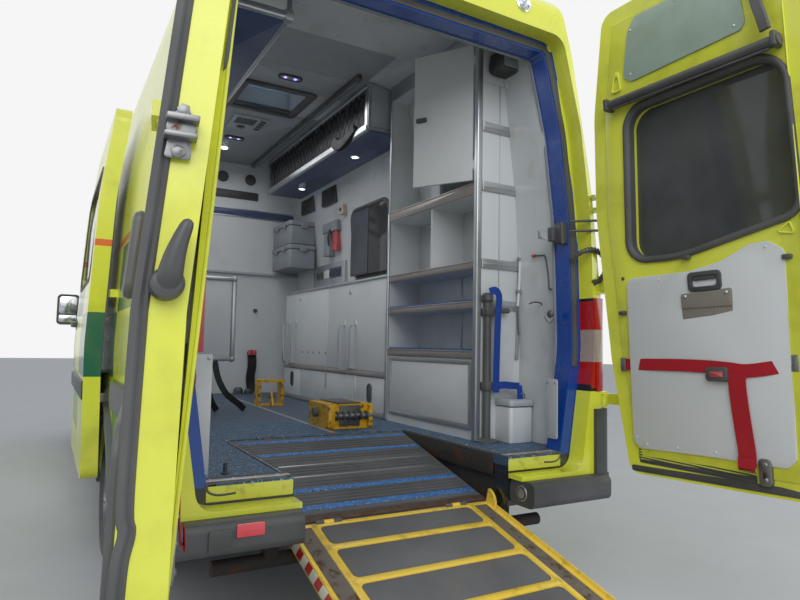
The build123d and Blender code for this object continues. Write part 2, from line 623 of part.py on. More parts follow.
# Wheel profiles: (axial offset from the wheel's middle, radius), outboard side positive
RIM_PROFILE = [
    (-98, 186), (-98, RIM_RADIUS), (98, RIM_RADIUS), (98, 192), (60, 186), (47, 150), (58, 90), (52, HUB_BORE),
    (28, HUB_BORE), (34, 95), (30, 160), (42, 178), (30, 186),
]
TYRE_PROFILE = [
    (-96, RIM_RADIUS + SEAT, 4), (96, RIM_RADIUS + SEAT, 4), (TYRE_WIDTH / 2, 275, 60),
    (96, WHEEL_RADIUS, 22), (-96, WHEEL_RADIUS, 22), (-TYRE_WIDTH / 2, 275, 60),
]


def wheels():
    """Four wheels: a pressed disc with round vents, and its tyre."""
    flat = Plane((0, 0, 0), x_dir=(1, 0, 0), z_dir=(0, -1, 0))
    rim = revolve(flat * make_face(Polyline(*RIM_PROFILE, close=True).edges()), Axis.X)
    vents = 8
    for i in range(vents):
        hole = Location((0, 0, 0), (i * 360 / vents, 0, 0)) * (Location((40, 0, 122)) * (Rotation(0, 90, 0) * Cylinder(17, 90)))
        rim -= hole
    tyre = revolve(face_of(flat, TYRE_PROFILE), Axis.X)
    for y, row in ((AXLE_FRONT, "front"), (AXLE_REAR, "rear")):
        at = Location((WHEEL_CENTRE_X, y, WHEEL_RADIUS))
        for side, name in ((0, "right"), (1, "left")):
            export(f"rim_{row}_{name}", both_sides(at * rim)[side])
            export(f"tyre_{row}_{name}", both_sides(at * tyre)[side])


def load_floor():
    """Floor plate with the ramp recess, the wheel box cut-outs and a kerb each side of the recess."""
    low = FLOOR - FLOOR_THICKNESS
    floor = box(-1000, 1000, 6, BULKHEAD, low, FLOOR) & INSIDE
    floor -= box(-RECESS_HALF_WIDTH, RECESS_HALF_WIDTH, 0, RAMP_HINGE, low - 5, FLOOR + 5)
    for arch in arch_cut(AXLE_REAR, HOUSE_INNER_REAR - HOUSE_WALL - 3, ARCH_RADIUS + HOUSE_WALL + 3):
        floor -= arch
    for corner in both_sides(box(768, 950, 0, FRAME_DEPTH + 3, low - 5, FLOOR + 5)):
        floor -= corner
    for x in (-TROLLEY_SPACING_X / 2, TROLLEY_SPACING_X / 2):
        for y in (-TROLLEY_SPACING_Y / 2, TROLLEY_SPACING_Y / 2):
            floor -= upright(TROLLEY_HOLE, TROLLEY_X + x, TROLLEY_Y + y, low - 5, FLOOR + 5)
    floor, _ = fold(floor, None, RAMP_HINGE, FLOOR)
    export("load_floor", floor)
    cab_floor = box(-880, 880, PILLAR + 20, 5980, RAIL_HIGH + SEAT, CAB_FLOOR) - box(-300, 300, 5400, 6000, 500, 700)
    export("floor_cab", cab_floor - LINERS)


def fold(parent, child, y, z, reach=16.0):
    """Knuckles and a pin that join two level boards; the child lies behind the fold. Either may be None."""
    for x in FOLD_AT:
        ends = (x - FOLD_HALF - FOLD_KNUCKLE, x - FOLD_HALF), (x + FOLD_HALF, x + FOLD_HALF + FOLD_KNUCKLE)
        if parent is not None:
            parent -= box(x - FOLD_HALF - 1, x + FOLD_HALF + 1, y - 1, y + FOLD_CLEAR, z - 70, z + FOLD_CLEAR)
            parent += lying(FOLD_PIN, ends[0][0], ends[1][1], y, z)
            for x0, x1 in ((ends[0][0], ends[0][1] - SEAT), (ends[1][0] + SEAT, ends[1][1])):
                parent += lying(FOLD_EYE, x0, x1, y, z) + box(x0, x1, y, y + 13, z - FOLD_EYE, z + 2)
        if child is not None:
            for x0, x1 in ends:
                child -= box(x0 - 1, x1 + 1, y - FOLD_CLEAR, y + 1, z - 70, z + FOLD_CLEAR)
            eye = lying(FOLD_EYE, x - FOLD_HALF, x + FOLD_HALF, y, z)
            eye += box(x - FOLD_HALF, x + FOLD_HALF, y - reach, y, z - FOLD_EYE, z + 2)
            child = (child + eye) - lying(FOLD_PIN + RUNNING, x - FOLD_HALF - 1, x + FOLD_HALF + 1, y, z)
    return parent, child


LINERS = Compound(children=[s for c in arch_cut(AXLE_FRONT, 480, ARCH_RADIUS + 30) for s in c.solids()])


def ramp_piece(length, half_width, thickness, start):
    """A level board whose top edge starts a distance behind the floor hinge."""
    rear = RAMP_HINGE - start - length
    return box(-half_width, half_width, rear, rear + length, FLOOR - thickness, FLOOR)


def ramp():
    """Floor board, folding outer board and its tip, laid down to the road."""
    hinge = Axis((0, RAMP_HINGE, FLOOR), (1, 0, 0))
    board = ramp_piece(BOARD_LENGTH - BOARD_START, BOARD_HALF_WIDTH, BOARD_THICKNESS, BOARD_START)
    outer = ramp_piece(OUTER_LENGTH, OUTER_HALF_WIDTH, OUTER_THICKNESS, BOARD_LENGTH + RAMP_GAP)
    tip = ramp_piece(TIP_LENGTH, OUTER_HALF_WIDTH, OUTER_THICKNESS, BOARD_LENGTH + OUTER_LENGTH + 2 * RAMP_GAP)
    end = RAMP_HINGE - BOARD_LENGTH - OUTER_LENGTH - 2 * RAMP_GAP - TIP_LENGTH
    wedge = [(end - 10, FLOOR - 80, 0), (end + 260, FLOOR - 80, 0), (end + 260, FLOOR - OUTER_THICKNESS, 0), (end - 10, FLOOR - 3, 0)]
    tip -= Location((-600, 0, 0)) * extrude(SIDE_PLANE * make_face(Polyline(*[(y, z) for y, z, _ in wedge], close=True).edges()), 1200)
    for cheek in both_sides(hinge_cheek()):
        outer += cheek
    _, board = fold(None, board, RAMP_HINGE, FLOOR, reach=30.0)
    board, outer = fold(board, outer, RAMP_HINGE - OUTER_PIVOT, FLOOR + OUTER_PIVOT_RISE)
    outer, tip = fold(outer, tip, RAMP_HINGE - TIP_PIVOT, FLOOR + TIP_PIVOT_RISE)
    for name, piece in (("ramp_board", board), ("ramp_outer", outer), ("ramp_tip", tip)):
        export(name, piece.rotate(hinge, RAMP_SLOPE))


def hinge_cheek():
    """The half-round plate beside the fold between board and outer ramp."""
    y = RAMP_HINGE - BOARD_LENGTH - RAMP_GAP
    disc = lying(62, OUTER_HALF_WIDTH, OUTER_HALF_WIDTH + 12, y - 4, FLOOR)
    return disc & box(0, 600, y - 90, y - 2, FLOOR - OUTER_THICKNESS, FLOOR + 70)


def interior():
    """Bulkhead, cupboards, lockers, hatch and what stands on the floor."""
    bulkhead = INSIDE & box(-1000, 1000, BULKHEAD + SEAT, BULKHEAD + BULKHEAD_THICKNESS, FLOOR - 60, 3000)
    export("bulkhead", bulkhead)

    low = box(CABINET_FACE, 940, TALL_FRONT + SEAT, CABINET_FRONT, FLOOR + SEAT, CABINET_TOP)
    low -= box(CABINET_FACE + 30, 1000, AXLE_REAR - 480, AXLE_REAR + 480, FLOOR - 10, 860)
    export("low_cabinets", low & INSIDE, box(-940, BOX_INNER, BOX_REAR, BOX_FRONT, BOX_LOW, BOX_HIGH) & INSIDE)

    tall = box(CABINET_FACE, 940, TALL_REAR, TALL_FRONT, FLOOR + SEAT, CEILING)
    for low_z, high_z in SHELVES:
        tall -= box(CABINET_FACE - 10, 860, TALL_REAR + POST, TALL_FRONT - POST, low_z, high_z)
    tall += box(CABINET_FACE, 870, TALL_DIVIDER - 9, TALL_DIVIDER + 9, SHELVES[2][0], SHELVES[3][1])
    stile = LEAF_REAR + LEAF_WIDTH - 12
    tall += box(CABINET_FACE, CABINET_FACE + 20, stile, TALL_DIVIDER, SHELVES[3][0], SHELVES[3][1])
    tall -= box(CABINET_FACE + 30, 1000, AXLE_REAR - 480, TALL_FRONT + 10, FLOOR - 10, 860)
    leaf = box(UNIT_HINGE_X - LEAF / 2, UNIT_HINGE_X + LEAF / 2, LEAF_REAR, LEAF_REAR + LEAF_WIDTH, LEAF_LOW, LEAF_HIGH)
    for z in UNIT_HINGES:
        tall += upright(3, UNIT_HINGE_X, UNIT_HINGE_Y, z - 28, z + 28)
        for z0, z1 in ((z - 28, z - 20 - SEAT), (z + 20 + SEAT, z + 28)):
            tall += upright(5.5, UNIT_HINGE_X, UNIT_HINGE_Y, z0, z1)
            tall += box(UNIT_HINGE_X, CABINET_FACE + 4, UNIT_HINGE_Y - 5, UNIT_HINGE_Y + 4, z0, z1)
        leaf += upright(6, UNIT_HINGE_X, UNIT_HINGE_Y, z - 20, z + 20)
        leaf += box(UNIT_HINGE_X - 6, UNIT_HINGE_X + 2, UNIT_HINGE_Y, LEAF_REAR + 2, z - 20, z + 20)
        leaf -= upright(3 + RUNNING, UNIT_HINGE_X, UNIT_HINGE_Y, z - 21, z + 21)
    export("tall_unit", tall & INSIDE)
    export("unit_door", *swung([leaf], UNIT_HINGE, UNIT_SWING))

    lockers = []
    for outline, face, y0, y1, side in LOCKERS:
        solid = front_prism(outline, y0, y1) - front_prism(inset_outline(outline, 20), y0 + 25, y1 - 25)
        if face:
            solid -= box(*face)
        lockers.append((solid if side > 0 else solid.mirror(Plane.YZ)) & INSIDE)
    export("overhead_lockers", *lockers)

    edge, well = HATCH_HALF - SEAT, HATCH_HALF - HATCH_RIM
    hatch = box(-edge, edge, HATCH_REAR + SEAT, HATCH_FRONT - SEAT, CEILING - 6, HATCH_TOP)
    hatch -= box(-well, well, HATCH_REAR + HATCH_RIM, HATCH_FRONT - HATCH_RIM, CEILING - 10, HATCH_TOP + 10)
    export("roof_hatch", hatch)
    winch = box(100, 380, 1110, 1380, FLOOR + SEAT, 840)
    bracket = box(130, 330, 2500, 2600, FLOOR + SEAT, 900) - box(150, 310, 2400, 2700, FLOOR + 15, 880)
    export("winch", winch, bracket)
    seats = []
    for x0, x1 in ((-760, -260), (260, 760)):
        cushion = box(x0, x1, 4330, 4850, CAB_FLOOR + SEAT, 1120)
        back = box(x0, x1, 4130, 4335, 1050, 1780)
        seats.append(cushion + back)
    export("cab_seats", *seats)
    dash = box(-1000, 1000, 5300, 5600, 1050, 1320) & INSIDE
    wheel = Torus(190, 16) + Box(380, 34, 14) + Cylinder(45, 24)
    wheel += Cylinder(26, 240, align=(Align.CENTER, Align.CENTER, Align.MAX))
    export("dashboard", dash + Location((440, 5150, 1330), (60, 0, 0)) * wheel)


def outside_trim():
    """Bumper halves and corners, lamps, mouldings and the roof light bar."""
    half = box(RECESS_HALF_WIDTH + 12, 960, -150, 6 - SEAT, 505, BUMPER_TOP)
    half = fillet(half.edges().filter_by(Axis.X), 30)
    corner = body_form(-30) & box(900, 1100, -140, 250, 505, BUMPER_TOP)
    column = body_form(-24) & box(920, 1100, -140, 90, BUMPER_TOP - 20, 905)
    bumper = (half + corner + column) - (OUTER & box(0, 1100, 6 - SEAT, 400, 400, 1000))
    bumper -= OUTER & box(0, 1100, -200, 50, BUMPER_TOP + SEAT, 1000)
    export("rear_bumper", *both_sides(max(bumper.solids(), key=lambda s: s.volume)))
    lamp = box(935, 1100, -95, 5, 985, 1420) & body_form(-6)
    lamp -= OUTER
    export("tail_lamps", *both_sides(max(lamp.solids(), key=lambda s: s.volume)))
    strip = []
    for y0, y1 in ((2000, SLIDE_REAR - 10), (150, 1090)):
        strip.append((body_form(-28) - body_form(0)) & box(900, 1100, y0, y1, 860, 980))
    flare = (body_form(-28) - body_form(0)) & box(900, 1100, AXLE_REAR - 600, AXLE_REAR + 600, 340, 900)
    ring = arch_cut(AXLE_REAR, 600, ARCH_RADIUS + 60)[0] - arch_cut(AXLE_REAR, 600, ARCH_RADIUS - 5)[0]
    strip.append(flare & ring)
    pieces = []
    for piece in strip:
        pieces += both_sides(max(piece.solids(), key=lambda s: s.volume))
    export("side_mouldings", *pieces)
    bar = box(-650, 650, 4150, 4400, 2940, 3110)
    bar = fillet(bar.edges().filter_by(Axis.X), 25)
    export("light_bar", bar - OUTER)


load_body()
cab_body()
cab_fittings()
sliding_door()
rear_doors()
frame_and_axles()
wheels()
load_floor()
ramp()
interior()
outside_trim()

total = sum(shape.volume for shape in EXPORTED.values())
low = min(shape.bounding_box().min.Z for shape in EXPORTED.values())
print(len(EXPORTED), "nodes, solid volume", round(total / 1e9, 3), "m3, lowest point", round(low, 2))
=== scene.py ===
"""Looks of a high-roof panel-van ambulance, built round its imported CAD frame.

Sizes are millimetres: +X is the vehicle's right, +Y forward from the rear sill, +Z up from the road.
Hinged pieces are modelled with their panel closed, and carried to the panel's place at rest.
"""
from __future__ import annotations

import json
import logging
import math
from dataclasses import dataclass, field
from enum import Enum
from typing import Callable, Sequence

import bmesh
import bpy
from mathutils import Matrix, Vector
from mathutils.geometry import tessellate_polygon
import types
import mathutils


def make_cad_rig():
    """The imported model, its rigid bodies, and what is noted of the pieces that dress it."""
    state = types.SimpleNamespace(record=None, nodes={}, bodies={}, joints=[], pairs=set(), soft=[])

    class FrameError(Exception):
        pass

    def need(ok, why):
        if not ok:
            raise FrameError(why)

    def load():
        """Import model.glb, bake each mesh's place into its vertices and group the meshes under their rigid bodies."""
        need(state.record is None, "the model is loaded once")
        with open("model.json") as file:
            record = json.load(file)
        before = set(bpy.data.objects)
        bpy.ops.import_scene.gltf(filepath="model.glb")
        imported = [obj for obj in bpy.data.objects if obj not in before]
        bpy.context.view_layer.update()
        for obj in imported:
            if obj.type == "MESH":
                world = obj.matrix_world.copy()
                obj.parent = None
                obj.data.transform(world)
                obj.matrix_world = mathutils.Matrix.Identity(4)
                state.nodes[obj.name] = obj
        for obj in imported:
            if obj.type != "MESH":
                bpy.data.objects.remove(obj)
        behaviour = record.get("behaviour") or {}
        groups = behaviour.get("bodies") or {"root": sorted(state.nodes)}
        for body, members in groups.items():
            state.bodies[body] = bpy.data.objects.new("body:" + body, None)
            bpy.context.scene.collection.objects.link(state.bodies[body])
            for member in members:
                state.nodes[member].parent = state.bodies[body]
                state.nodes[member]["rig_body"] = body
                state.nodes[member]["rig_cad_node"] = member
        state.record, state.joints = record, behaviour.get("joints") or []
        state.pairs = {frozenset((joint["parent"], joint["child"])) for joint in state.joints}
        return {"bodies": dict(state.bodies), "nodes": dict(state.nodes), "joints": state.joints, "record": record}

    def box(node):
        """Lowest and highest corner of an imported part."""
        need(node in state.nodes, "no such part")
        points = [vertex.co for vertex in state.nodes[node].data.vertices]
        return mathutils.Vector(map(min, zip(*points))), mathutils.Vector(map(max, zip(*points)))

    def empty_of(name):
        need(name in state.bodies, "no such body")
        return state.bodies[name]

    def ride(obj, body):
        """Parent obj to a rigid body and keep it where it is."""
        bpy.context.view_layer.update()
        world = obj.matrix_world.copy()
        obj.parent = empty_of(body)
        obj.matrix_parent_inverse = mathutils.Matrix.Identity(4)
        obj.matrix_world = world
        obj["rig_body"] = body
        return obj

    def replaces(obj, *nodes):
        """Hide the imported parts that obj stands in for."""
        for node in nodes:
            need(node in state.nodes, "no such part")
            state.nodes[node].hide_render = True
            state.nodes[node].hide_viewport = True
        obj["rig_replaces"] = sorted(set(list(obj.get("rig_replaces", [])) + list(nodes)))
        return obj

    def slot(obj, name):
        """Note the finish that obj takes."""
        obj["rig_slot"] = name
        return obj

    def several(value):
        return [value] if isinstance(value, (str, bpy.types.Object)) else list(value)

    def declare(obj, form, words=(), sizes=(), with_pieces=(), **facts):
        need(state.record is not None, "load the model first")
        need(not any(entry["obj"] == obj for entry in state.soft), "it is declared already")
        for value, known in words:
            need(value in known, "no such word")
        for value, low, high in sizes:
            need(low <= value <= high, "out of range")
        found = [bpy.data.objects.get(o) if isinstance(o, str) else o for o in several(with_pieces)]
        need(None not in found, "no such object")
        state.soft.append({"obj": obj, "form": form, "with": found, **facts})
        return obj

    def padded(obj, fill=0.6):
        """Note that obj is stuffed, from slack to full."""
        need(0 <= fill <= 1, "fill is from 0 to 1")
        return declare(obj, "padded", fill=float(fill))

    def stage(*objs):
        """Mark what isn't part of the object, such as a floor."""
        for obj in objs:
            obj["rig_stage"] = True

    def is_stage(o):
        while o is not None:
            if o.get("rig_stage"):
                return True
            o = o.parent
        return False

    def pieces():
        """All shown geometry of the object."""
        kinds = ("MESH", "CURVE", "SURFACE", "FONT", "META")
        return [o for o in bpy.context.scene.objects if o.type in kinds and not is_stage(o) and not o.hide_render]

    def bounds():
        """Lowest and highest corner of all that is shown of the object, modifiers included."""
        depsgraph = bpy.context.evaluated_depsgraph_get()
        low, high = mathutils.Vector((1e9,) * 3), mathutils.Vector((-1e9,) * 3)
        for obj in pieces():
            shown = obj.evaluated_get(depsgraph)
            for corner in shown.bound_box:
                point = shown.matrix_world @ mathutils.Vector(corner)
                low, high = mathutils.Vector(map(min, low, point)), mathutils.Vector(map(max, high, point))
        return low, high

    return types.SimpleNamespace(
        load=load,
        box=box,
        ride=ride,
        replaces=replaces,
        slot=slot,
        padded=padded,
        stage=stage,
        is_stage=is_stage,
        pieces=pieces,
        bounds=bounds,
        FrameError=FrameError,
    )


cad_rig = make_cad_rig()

log = logging.getLogger("ambulance")

MM = 0.001
SHARP_ANGLE = math.radians(33)
RAKE, RAKE_FROM = 0.065, 1200.0
BODY_REAR = -85.0
FLOOR = 700.0

Row = tuple[float, float, float]
Spot = tuple[float, float, float]
Tree = bpy.types.NodeTree
Socket = bpy.types.NodeSocket
Value = bpy.types.NodeSocket | float
Colour = bpy.types.NodeSocket | str
Box = tuple[Vector, Vector]

SECTION: list[Row] = [
    (890, 60, 30), (980, 420, 300), (996.5, 1150, 1500), (962, 1950, 2500),
    (880, 2600, 500), (800, 2955, 200), (340, 3030, 700),
]
REAR_DOOR: list[Row] = [
    (4, 640, 15), (838, 640, 60), (918, 1150, 900), (938, 1800, 900), (905, 2250, 600),
    (818, 2690, 70), (4, 2700, 15),
]
REAR_PANE: list[Row] = [(82, 1655, 60), (545, 1560, 500), (772, 1572, 80), (728, 2222, 90), (88, 2232, 110)]

NOSE: list[tuple[float, float]] = [     # (Y, Z) down the middle, from the bumper to the screen's top
    (6815, 285), (6860, 520), (6835, 880), (6640, 1130), (6020, 1370), (5130, 2330),
]
PLAN: list[tuple[float, float]] = [     # (X, Y) of the front's half, seen from above
    (1010, 5000), (985, 5750), (880, 6500), (620, 6815), (260, 6865), (0, 6866),
]
SCREEN_OUT = (0.0, 0.73, 0.68)          # away from the windscreen
LAMP_FIELD = (1.0, 1.405)               # low and high end of the tail lamp, in metres
LAMP_CLEAR = (1.12, 1.27)               # its clear band
PILLAR_DARK = (0.985, 1.42)             # the dark housing round it
HOUSING_FROM, LAMP_FROM = 0.852, 0.905  # where the housing and the lamp begin across
SILL_TOP = 0.69                         # the frame is dark below this height
SIDE_FROM = 0.90                        # side blocks begin here across
BLOCK_LONG, BLOCK_HIGH = 0.62, 0.33
BLOCKS_DARK, BLOCKS_PALE = (0.99, 1.65), (0.66, 0.99)
STRIPE = (1.665, 1.70)                  # the orange line over the blocks
SCREEN_FOOT = 1.37                      # the windscreen begins at this height
ROOF_FROM, ROOF_MORE = 2.66, 0.028      # the roof's skin is thicker from this height on, by this much
FRAME_START, SKIN_START = 0.002, 0.09   # where the lining begins behind the rear face
SCREEN_Y, SCREEN_HALF = 4.9, 0.86       # the windscreen lies ahead of this and within this half width
ROOF_GLASS = 2.75                       # glass above this height is the roof hatch

DIRT_EDGE = (0.52, 0.74)                # noise values where dirt begins and is full
SHEEN_MM, SHEEN_SPREAD = 90.0, 0.16     # how roughness varies
TONE_MM, TONE_SHARE = 420.0, 0.14       # how a plain finish varies in tone
PAINT_MM, PAINT_SHARE = 600.0, 0.10     # how the body's paint does
LACQUER_ROUGH = 0.12
WAVE_SCALE = 314.0                      # the wave texture's scale for one band per millimetre
FLECK_REACH = 0.42                      # how much of its cell a fleck fills
FLECK_DARK, FLECK_LIGHT = 0.22, 0.72    # cells below the first are dark, above the second light
RUST_EDGE, RUST_MORE = (0.62, 0.66), 0.2


def lean(spot: Vector) -> Vector:
    """Moves a point forward with the leaning rear face."""
    return Vector((spot.x, spot.y + RAKE * max(0.0, spot.z - RAKE_FROM), spot.z))


def skin_x(z: float) -> float:
    """Half width of the body's skin at a height."""
    for (x0, z0, _), (x1, z1, _) in zip(SECTION, SECTION[1:]):
        if z <= z1:
            return x0 + (x1 - x0) * (z - z0) / (z1 - z0)
    return SECTION[-1][0]


def linear(code: str) -> tuple[float, float, float, float]:
    """Turns an sRGB hex code into the linear colour that shaders use.

    Args:
        code: six hex digits.

    Returns:
        Linear red, green and blue, and an alpha of 1.
    """
    parts = [int(code[i:i + 2], 16) / 255 for i in (0, 2, 4)]
    red, green, blue = (c / 12.92 if c <= 0.04045 else ((c + 0.055) / 1.055) ** 2.4 for c in parts)
    return red, green, blue, 1.0


def inset(rows: Sequence[Row], amount: float) -> list[Row]:
    """Moves each edge of a convex, anticlockwise outline inwards.

    Args:
        rows: the outline's corners.
        amount: how far, in millimetres.

    Returns:
        The moved corners.
    """
    lines = []
    for (a0, b0, _), (a1, b1, _) in zip(rows, list(rows[1:]) + [rows[0]]):
        length = math.hypot(a1 - a0, b1 - b0)
        along = ((a1 - a0) / length, (b1 - b0) / length)
        lines.append((a0 - along[1] * amount, b0 + along[0] * amount, *along))
    result = []
    for i, (_, _, radius) in enumerate(rows):
        p, q = lines[i - 1], lines[i]
        cross = p[2] * q[3] - p[3] * q[2]
        t = ((q[0] - p[0]) * q[3] - (q[1] - p[1]) * q[2]) / cross
        result.append((p[0] + p[2] * t, p[1] + p[3] * t, max(radius - amount, 2.0)))
    return result


def oblong(a0: float, a1: float, b0: float, b1: float, radius: float) -> list[Row]:
    """An upright rectangle's corners."""
    return [(a0, b0, radius), (a1, b0, radius), (a1, b1, radius), (a0, b1, radius)]


def stretch(sign: float, near: float, far: float) -> list[float]:
    """Low and high X of a stretch on the right, or on the left if the sign is -1."""
    return sorted((sign * near, sign * far))


def mirrored(rows: Sequence[Row]) -> list[Row]:
    """Completes the right half of an outline that runs upwards."""
    return list(rows) + [(-a, b, r) for a, b, r in reversed(rows)]


def rounded(rows: Sequence[Row], arc: float = 12.0) -> list[Vector]:
    """Points round a closed outline of (a, b, corner radius) rows.

    Args:
        rows: corners in anticlockwise order.
        arc: the turn between neighbouring points of a corner, in degrees.

    Returns:
        The outline as 2-D points.
    """
    points: list[Vector] = []
    count = len(rows)
    for i, (a, b, radius) in enumerate(rows):
        corner = Vector((a, b))
        back = Vector(rows[i - 1][:2]) - corner
        on = Vector(rows[(i + 1) % count][:2]) - corner
        half = back.angle(on) / 2
        if radius < 0.05 or abs(half - math.pi / 2) < 1e-3:
            points.append(corner)
            continue
        reach = min(radius / math.tan(half), 0.49 * back.length, 0.49 * on.length)
        radius = reach * math.tan(half)
        middle = corner + (back.normalized() + on.normalized()).normalized() * (radius / math.sin(half))
        start = corner + back.normalized() * reach - middle
        turn = math.pi - 2 * half
        sign = 1.0 if back.x * on.y - back.y * on.x < 0 else -1.0
        steps = max(2, math.ceil(math.degrees(turn) / arc))
        for k in range(steps + 1):
            angle = sign * turn * k / steps
            c, s = math.cos(angle), math.sin(angle)
            points.append(middle + Vector((start.x * c - start.y * s, start.x * s + start.y * c)))
    return [p for i, p in enumerate(points) if (p - points[i - 1]).length > 1e-4]


def shrunk(points: Sequence[Vector], amount: float) -> list[Vector]:
    """Moves each point of an anticlockwise outline inwards.

    Args:
        points: the outline.
        amount: how far.

    Returns:
        The moved points.
    """
    result = []
    for i, p in enumerate(points):
        e0 = (p - points[i - 1]).normalized()
        e1 = (points[(i + 1) % len(points)] - p).normalized()
        total = Vector((-e0.y - e1.y, e0.x + e1.x))
        result.append(p + total * (amount / max(0.4, 1 + e0.dot(e1))))
    return result


def curve(spots: Sequence[Spot], per: int = 6) -> list[Vector]:
    """A smooth run of points through the given ones.

    Args:
        spots: the points to go through.
        per: points from one to the next.

    Returns:
        The run.
    """
    ends = [spots[0], *spots, spots[-1]]
    p = [Vector(s) for s in ends]
    result = []
    for i in range(1, len(p) - 2):
        for k in range(per):
            t = k / per
            a, b, c, d = p[i - 1], p[i], p[i + 1], p[i + 2]
            result.append(0.5 * (2 * b + (c - a) * t + (2 * a - 5 * b + 4 * c - d) * t * t
                                 + (3 * b - a - 3 * c + d) * t ** 3))
    return result + [p[-2]]


def add(tree: Tree, kind: str, inputs: dict | None = None, **settings: str | bool) -> bpy.types.Node:
    """Adds a node, sets its properties, and links or sets its inputs.

    Args:
        tree: where the node goes.
        kind: its type.
        inputs: sockets or plain values by input.
        settings: its properties.

    Returns:
        The node.
    """
    node = tree.nodes.new(kind)
    for key, value in settings.items():
        setattr(node, key, value)
    for key, value in (inputs or {}).items():
        if isinstance(value, bpy.types.NodeSocket):
            tree.links.new(value, node.inputs[key])
        else:
            node.inputs[key].default_value = value
    return node


def maths(tree: Tree, operation: str, a: Value, b: Value = 0.0) -> Socket:
    """The result of a math node on two sockets or numbers."""
    return add(tree, "ShaderNodeMath", {0: a, 1: b}, operation=operation).outputs[0]


def mix(tree: Tree, factor: Value, a: Colour, b: Colour) -> Socket:
    """Colour a where the factor is 0 and b where it is 1; a hex code stands for a plain colour."""
    a, b = (linear(c) if isinstance(c, str) else c for c in (a, b))
    return add(tree, "ShaderNodeMix", {0: factor, 6: a, 7: b}, data_type="RGBA").outputs[2]


def band(tree: Tree, value: Value, low: float, high: float) -> Socket:
    """1 where a value lies between two limits, otherwise 0."""
    return maths(tree, "MULTIPLY", maths(tree, "GREATER_THAN", value, low),
                 maths(tree, "LESS_THAN", value, high))


def noise(tree: Tree, where: Socket, size_mm: float, detail: float = 3.0) -> Socket:
    """Noise whose patches are about a size across."""
    inputs = {"Vector": where, "Scale": 1000.0 / size_mm, "Detail": detail, "Roughness": 0.6}
    return add(tree, "ShaderNodeTexNoise", inputs).outputs[0]


def ramp(tree: Tree, value: Value, low: float, high: float) -> Socket:
    """A value stretched so that low becomes 0 and high becomes 1."""
    return add(tree, "ShaderNodeMapRange", {0: value, 1: low, 2: high}, clamp=True).outputs[0]


@dataclass(frozen=True)
class Finish:
    """A surface made of nodes: a base colour with grain, dirt and wear at their real sizes."""

    name: str
    colour: str
    rough: float = 0.5
    metal: float = 0.0
    coat: float = 0.0
    grain_mm: float = 0.0
    grain: float = 0.1
    dirt: str = "4A463C"
    dirt_share: float = 0.25
    dirt_mm: float = 260.0

    def material(self) -> bpy.types.Material:
        """The material of this finish, made once."""
        made = bpy.data.materials.get(self.name)
        return made if made else self.build()

    def build(self) -> bpy.types.Material:
        """Builds the node tree.

        Returns:
            The material.
        """
        material = bpy.data.materials.new(self.name)
        material.use_nodes = True
        tree = material.node_tree
        shader = tree.nodes["Principled BSDF"]
        where = add(tree, "ShaderNodeTexCoord").outputs["Object"]
        colour = self.pattern(tree, where)
        patches = ramp(tree, noise(tree, where, self.dirt_mm, 5.0), *DIRT_EDGE)
        colour = mix(tree, maths(tree, "MULTIPLY", patches, self.dirt_share), colour, self.dirt)
        tree.links.new(colour, shader.inputs["Base Color"])
        change = maths(tree, "MULTIPLY", noise(tree, where, SHEEN_MM), SHEEN_SPREAD)
        tree.links.new(maths(tree, "ADD", change, self.rough - SHEEN_SPREAD / 2), shader.inputs["Roughness"])
        shader.inputs["Metallic"].default_value = self.metal
        shader.inputs["Coat Weight"].default_value = self.coat
        shader.inputs["Coat Roughness"].default_value = LACQUER_ROUGH
        if self.grain_mm:
            height = noise(tree, where, self.grain_mm, 2.0)
            bump = add(tree, "ShaderNodeBump", {"Height": height, "Strength": self.grain, "Distance": MM})
            tree.links.new(bump.outputs[0], shader.inputs["Normal"])
        self.extra(tree, shader, where)
        return material

    def pattern(self, tree: Tree, where: Socket) -> Socket:
        """The colour before dirt; a plain finish varies a little in tone."""
        change = maths(tree, "MULTIPLY", noise(tree, where, TONE_MM), TONE_SHARE)
        return mix(tree, change, self.colour, "FFFFFF")

    def extra(self, tree: Tree, shader: bpy.types.Node, where: Socket) -> None:
        """Room for what one kind of finish adds to the shader."""


@dataclass(frozen=True)
class Clear(Finish):
    """Glass or clear plastic, tinted by its colour."""

    through: float = 0.9
    bend: float = 1.45

    def extra(self, tree: Tree, shader: bpy.types.Node, where: Socket) -> None:
        """Lets light through."""
        shader.inputs["Transmission Weight"].default_value = self.through
        shader.inputs["IOR"].default_value = self.bend


@dataclass(frozen=True)
class Pane(Clear):
    """Glass whose tint goes with the pane: dark at the sides, pale in the roof and in the windscreen."""

    screen: str = "8FA4A6"
    hatch: str = "CFE6FA"

    def pattern(self, tree: Tree, where: Socket) -> Socket:
        """Tints by place.

        Args:
            tree: the material's nodes.
            where: the object's coordinates.

        Returns:
            The colour.
        """
        x, y, z = add(tree, "ShaderNodeSeparateXYZ", {0: where}).outputs
        ahead = maths(tree, "GREATER_THAN", y, STUDIO_SILL[0] + SCREEN_Y)
        narrow = maths(tree, "LESS_THAN", maths(tree, "ABSOLUTE", x), SCREEN_HALF)
        above = maths(tree, "GREATER_THAN", z, ROOF_GLASS)
        colour = mix(tree, maths(tree, "MULTIPLY", ahead, narrow), self.colour, self.screen)
        return mix(tree, above, colour, self.hatch)


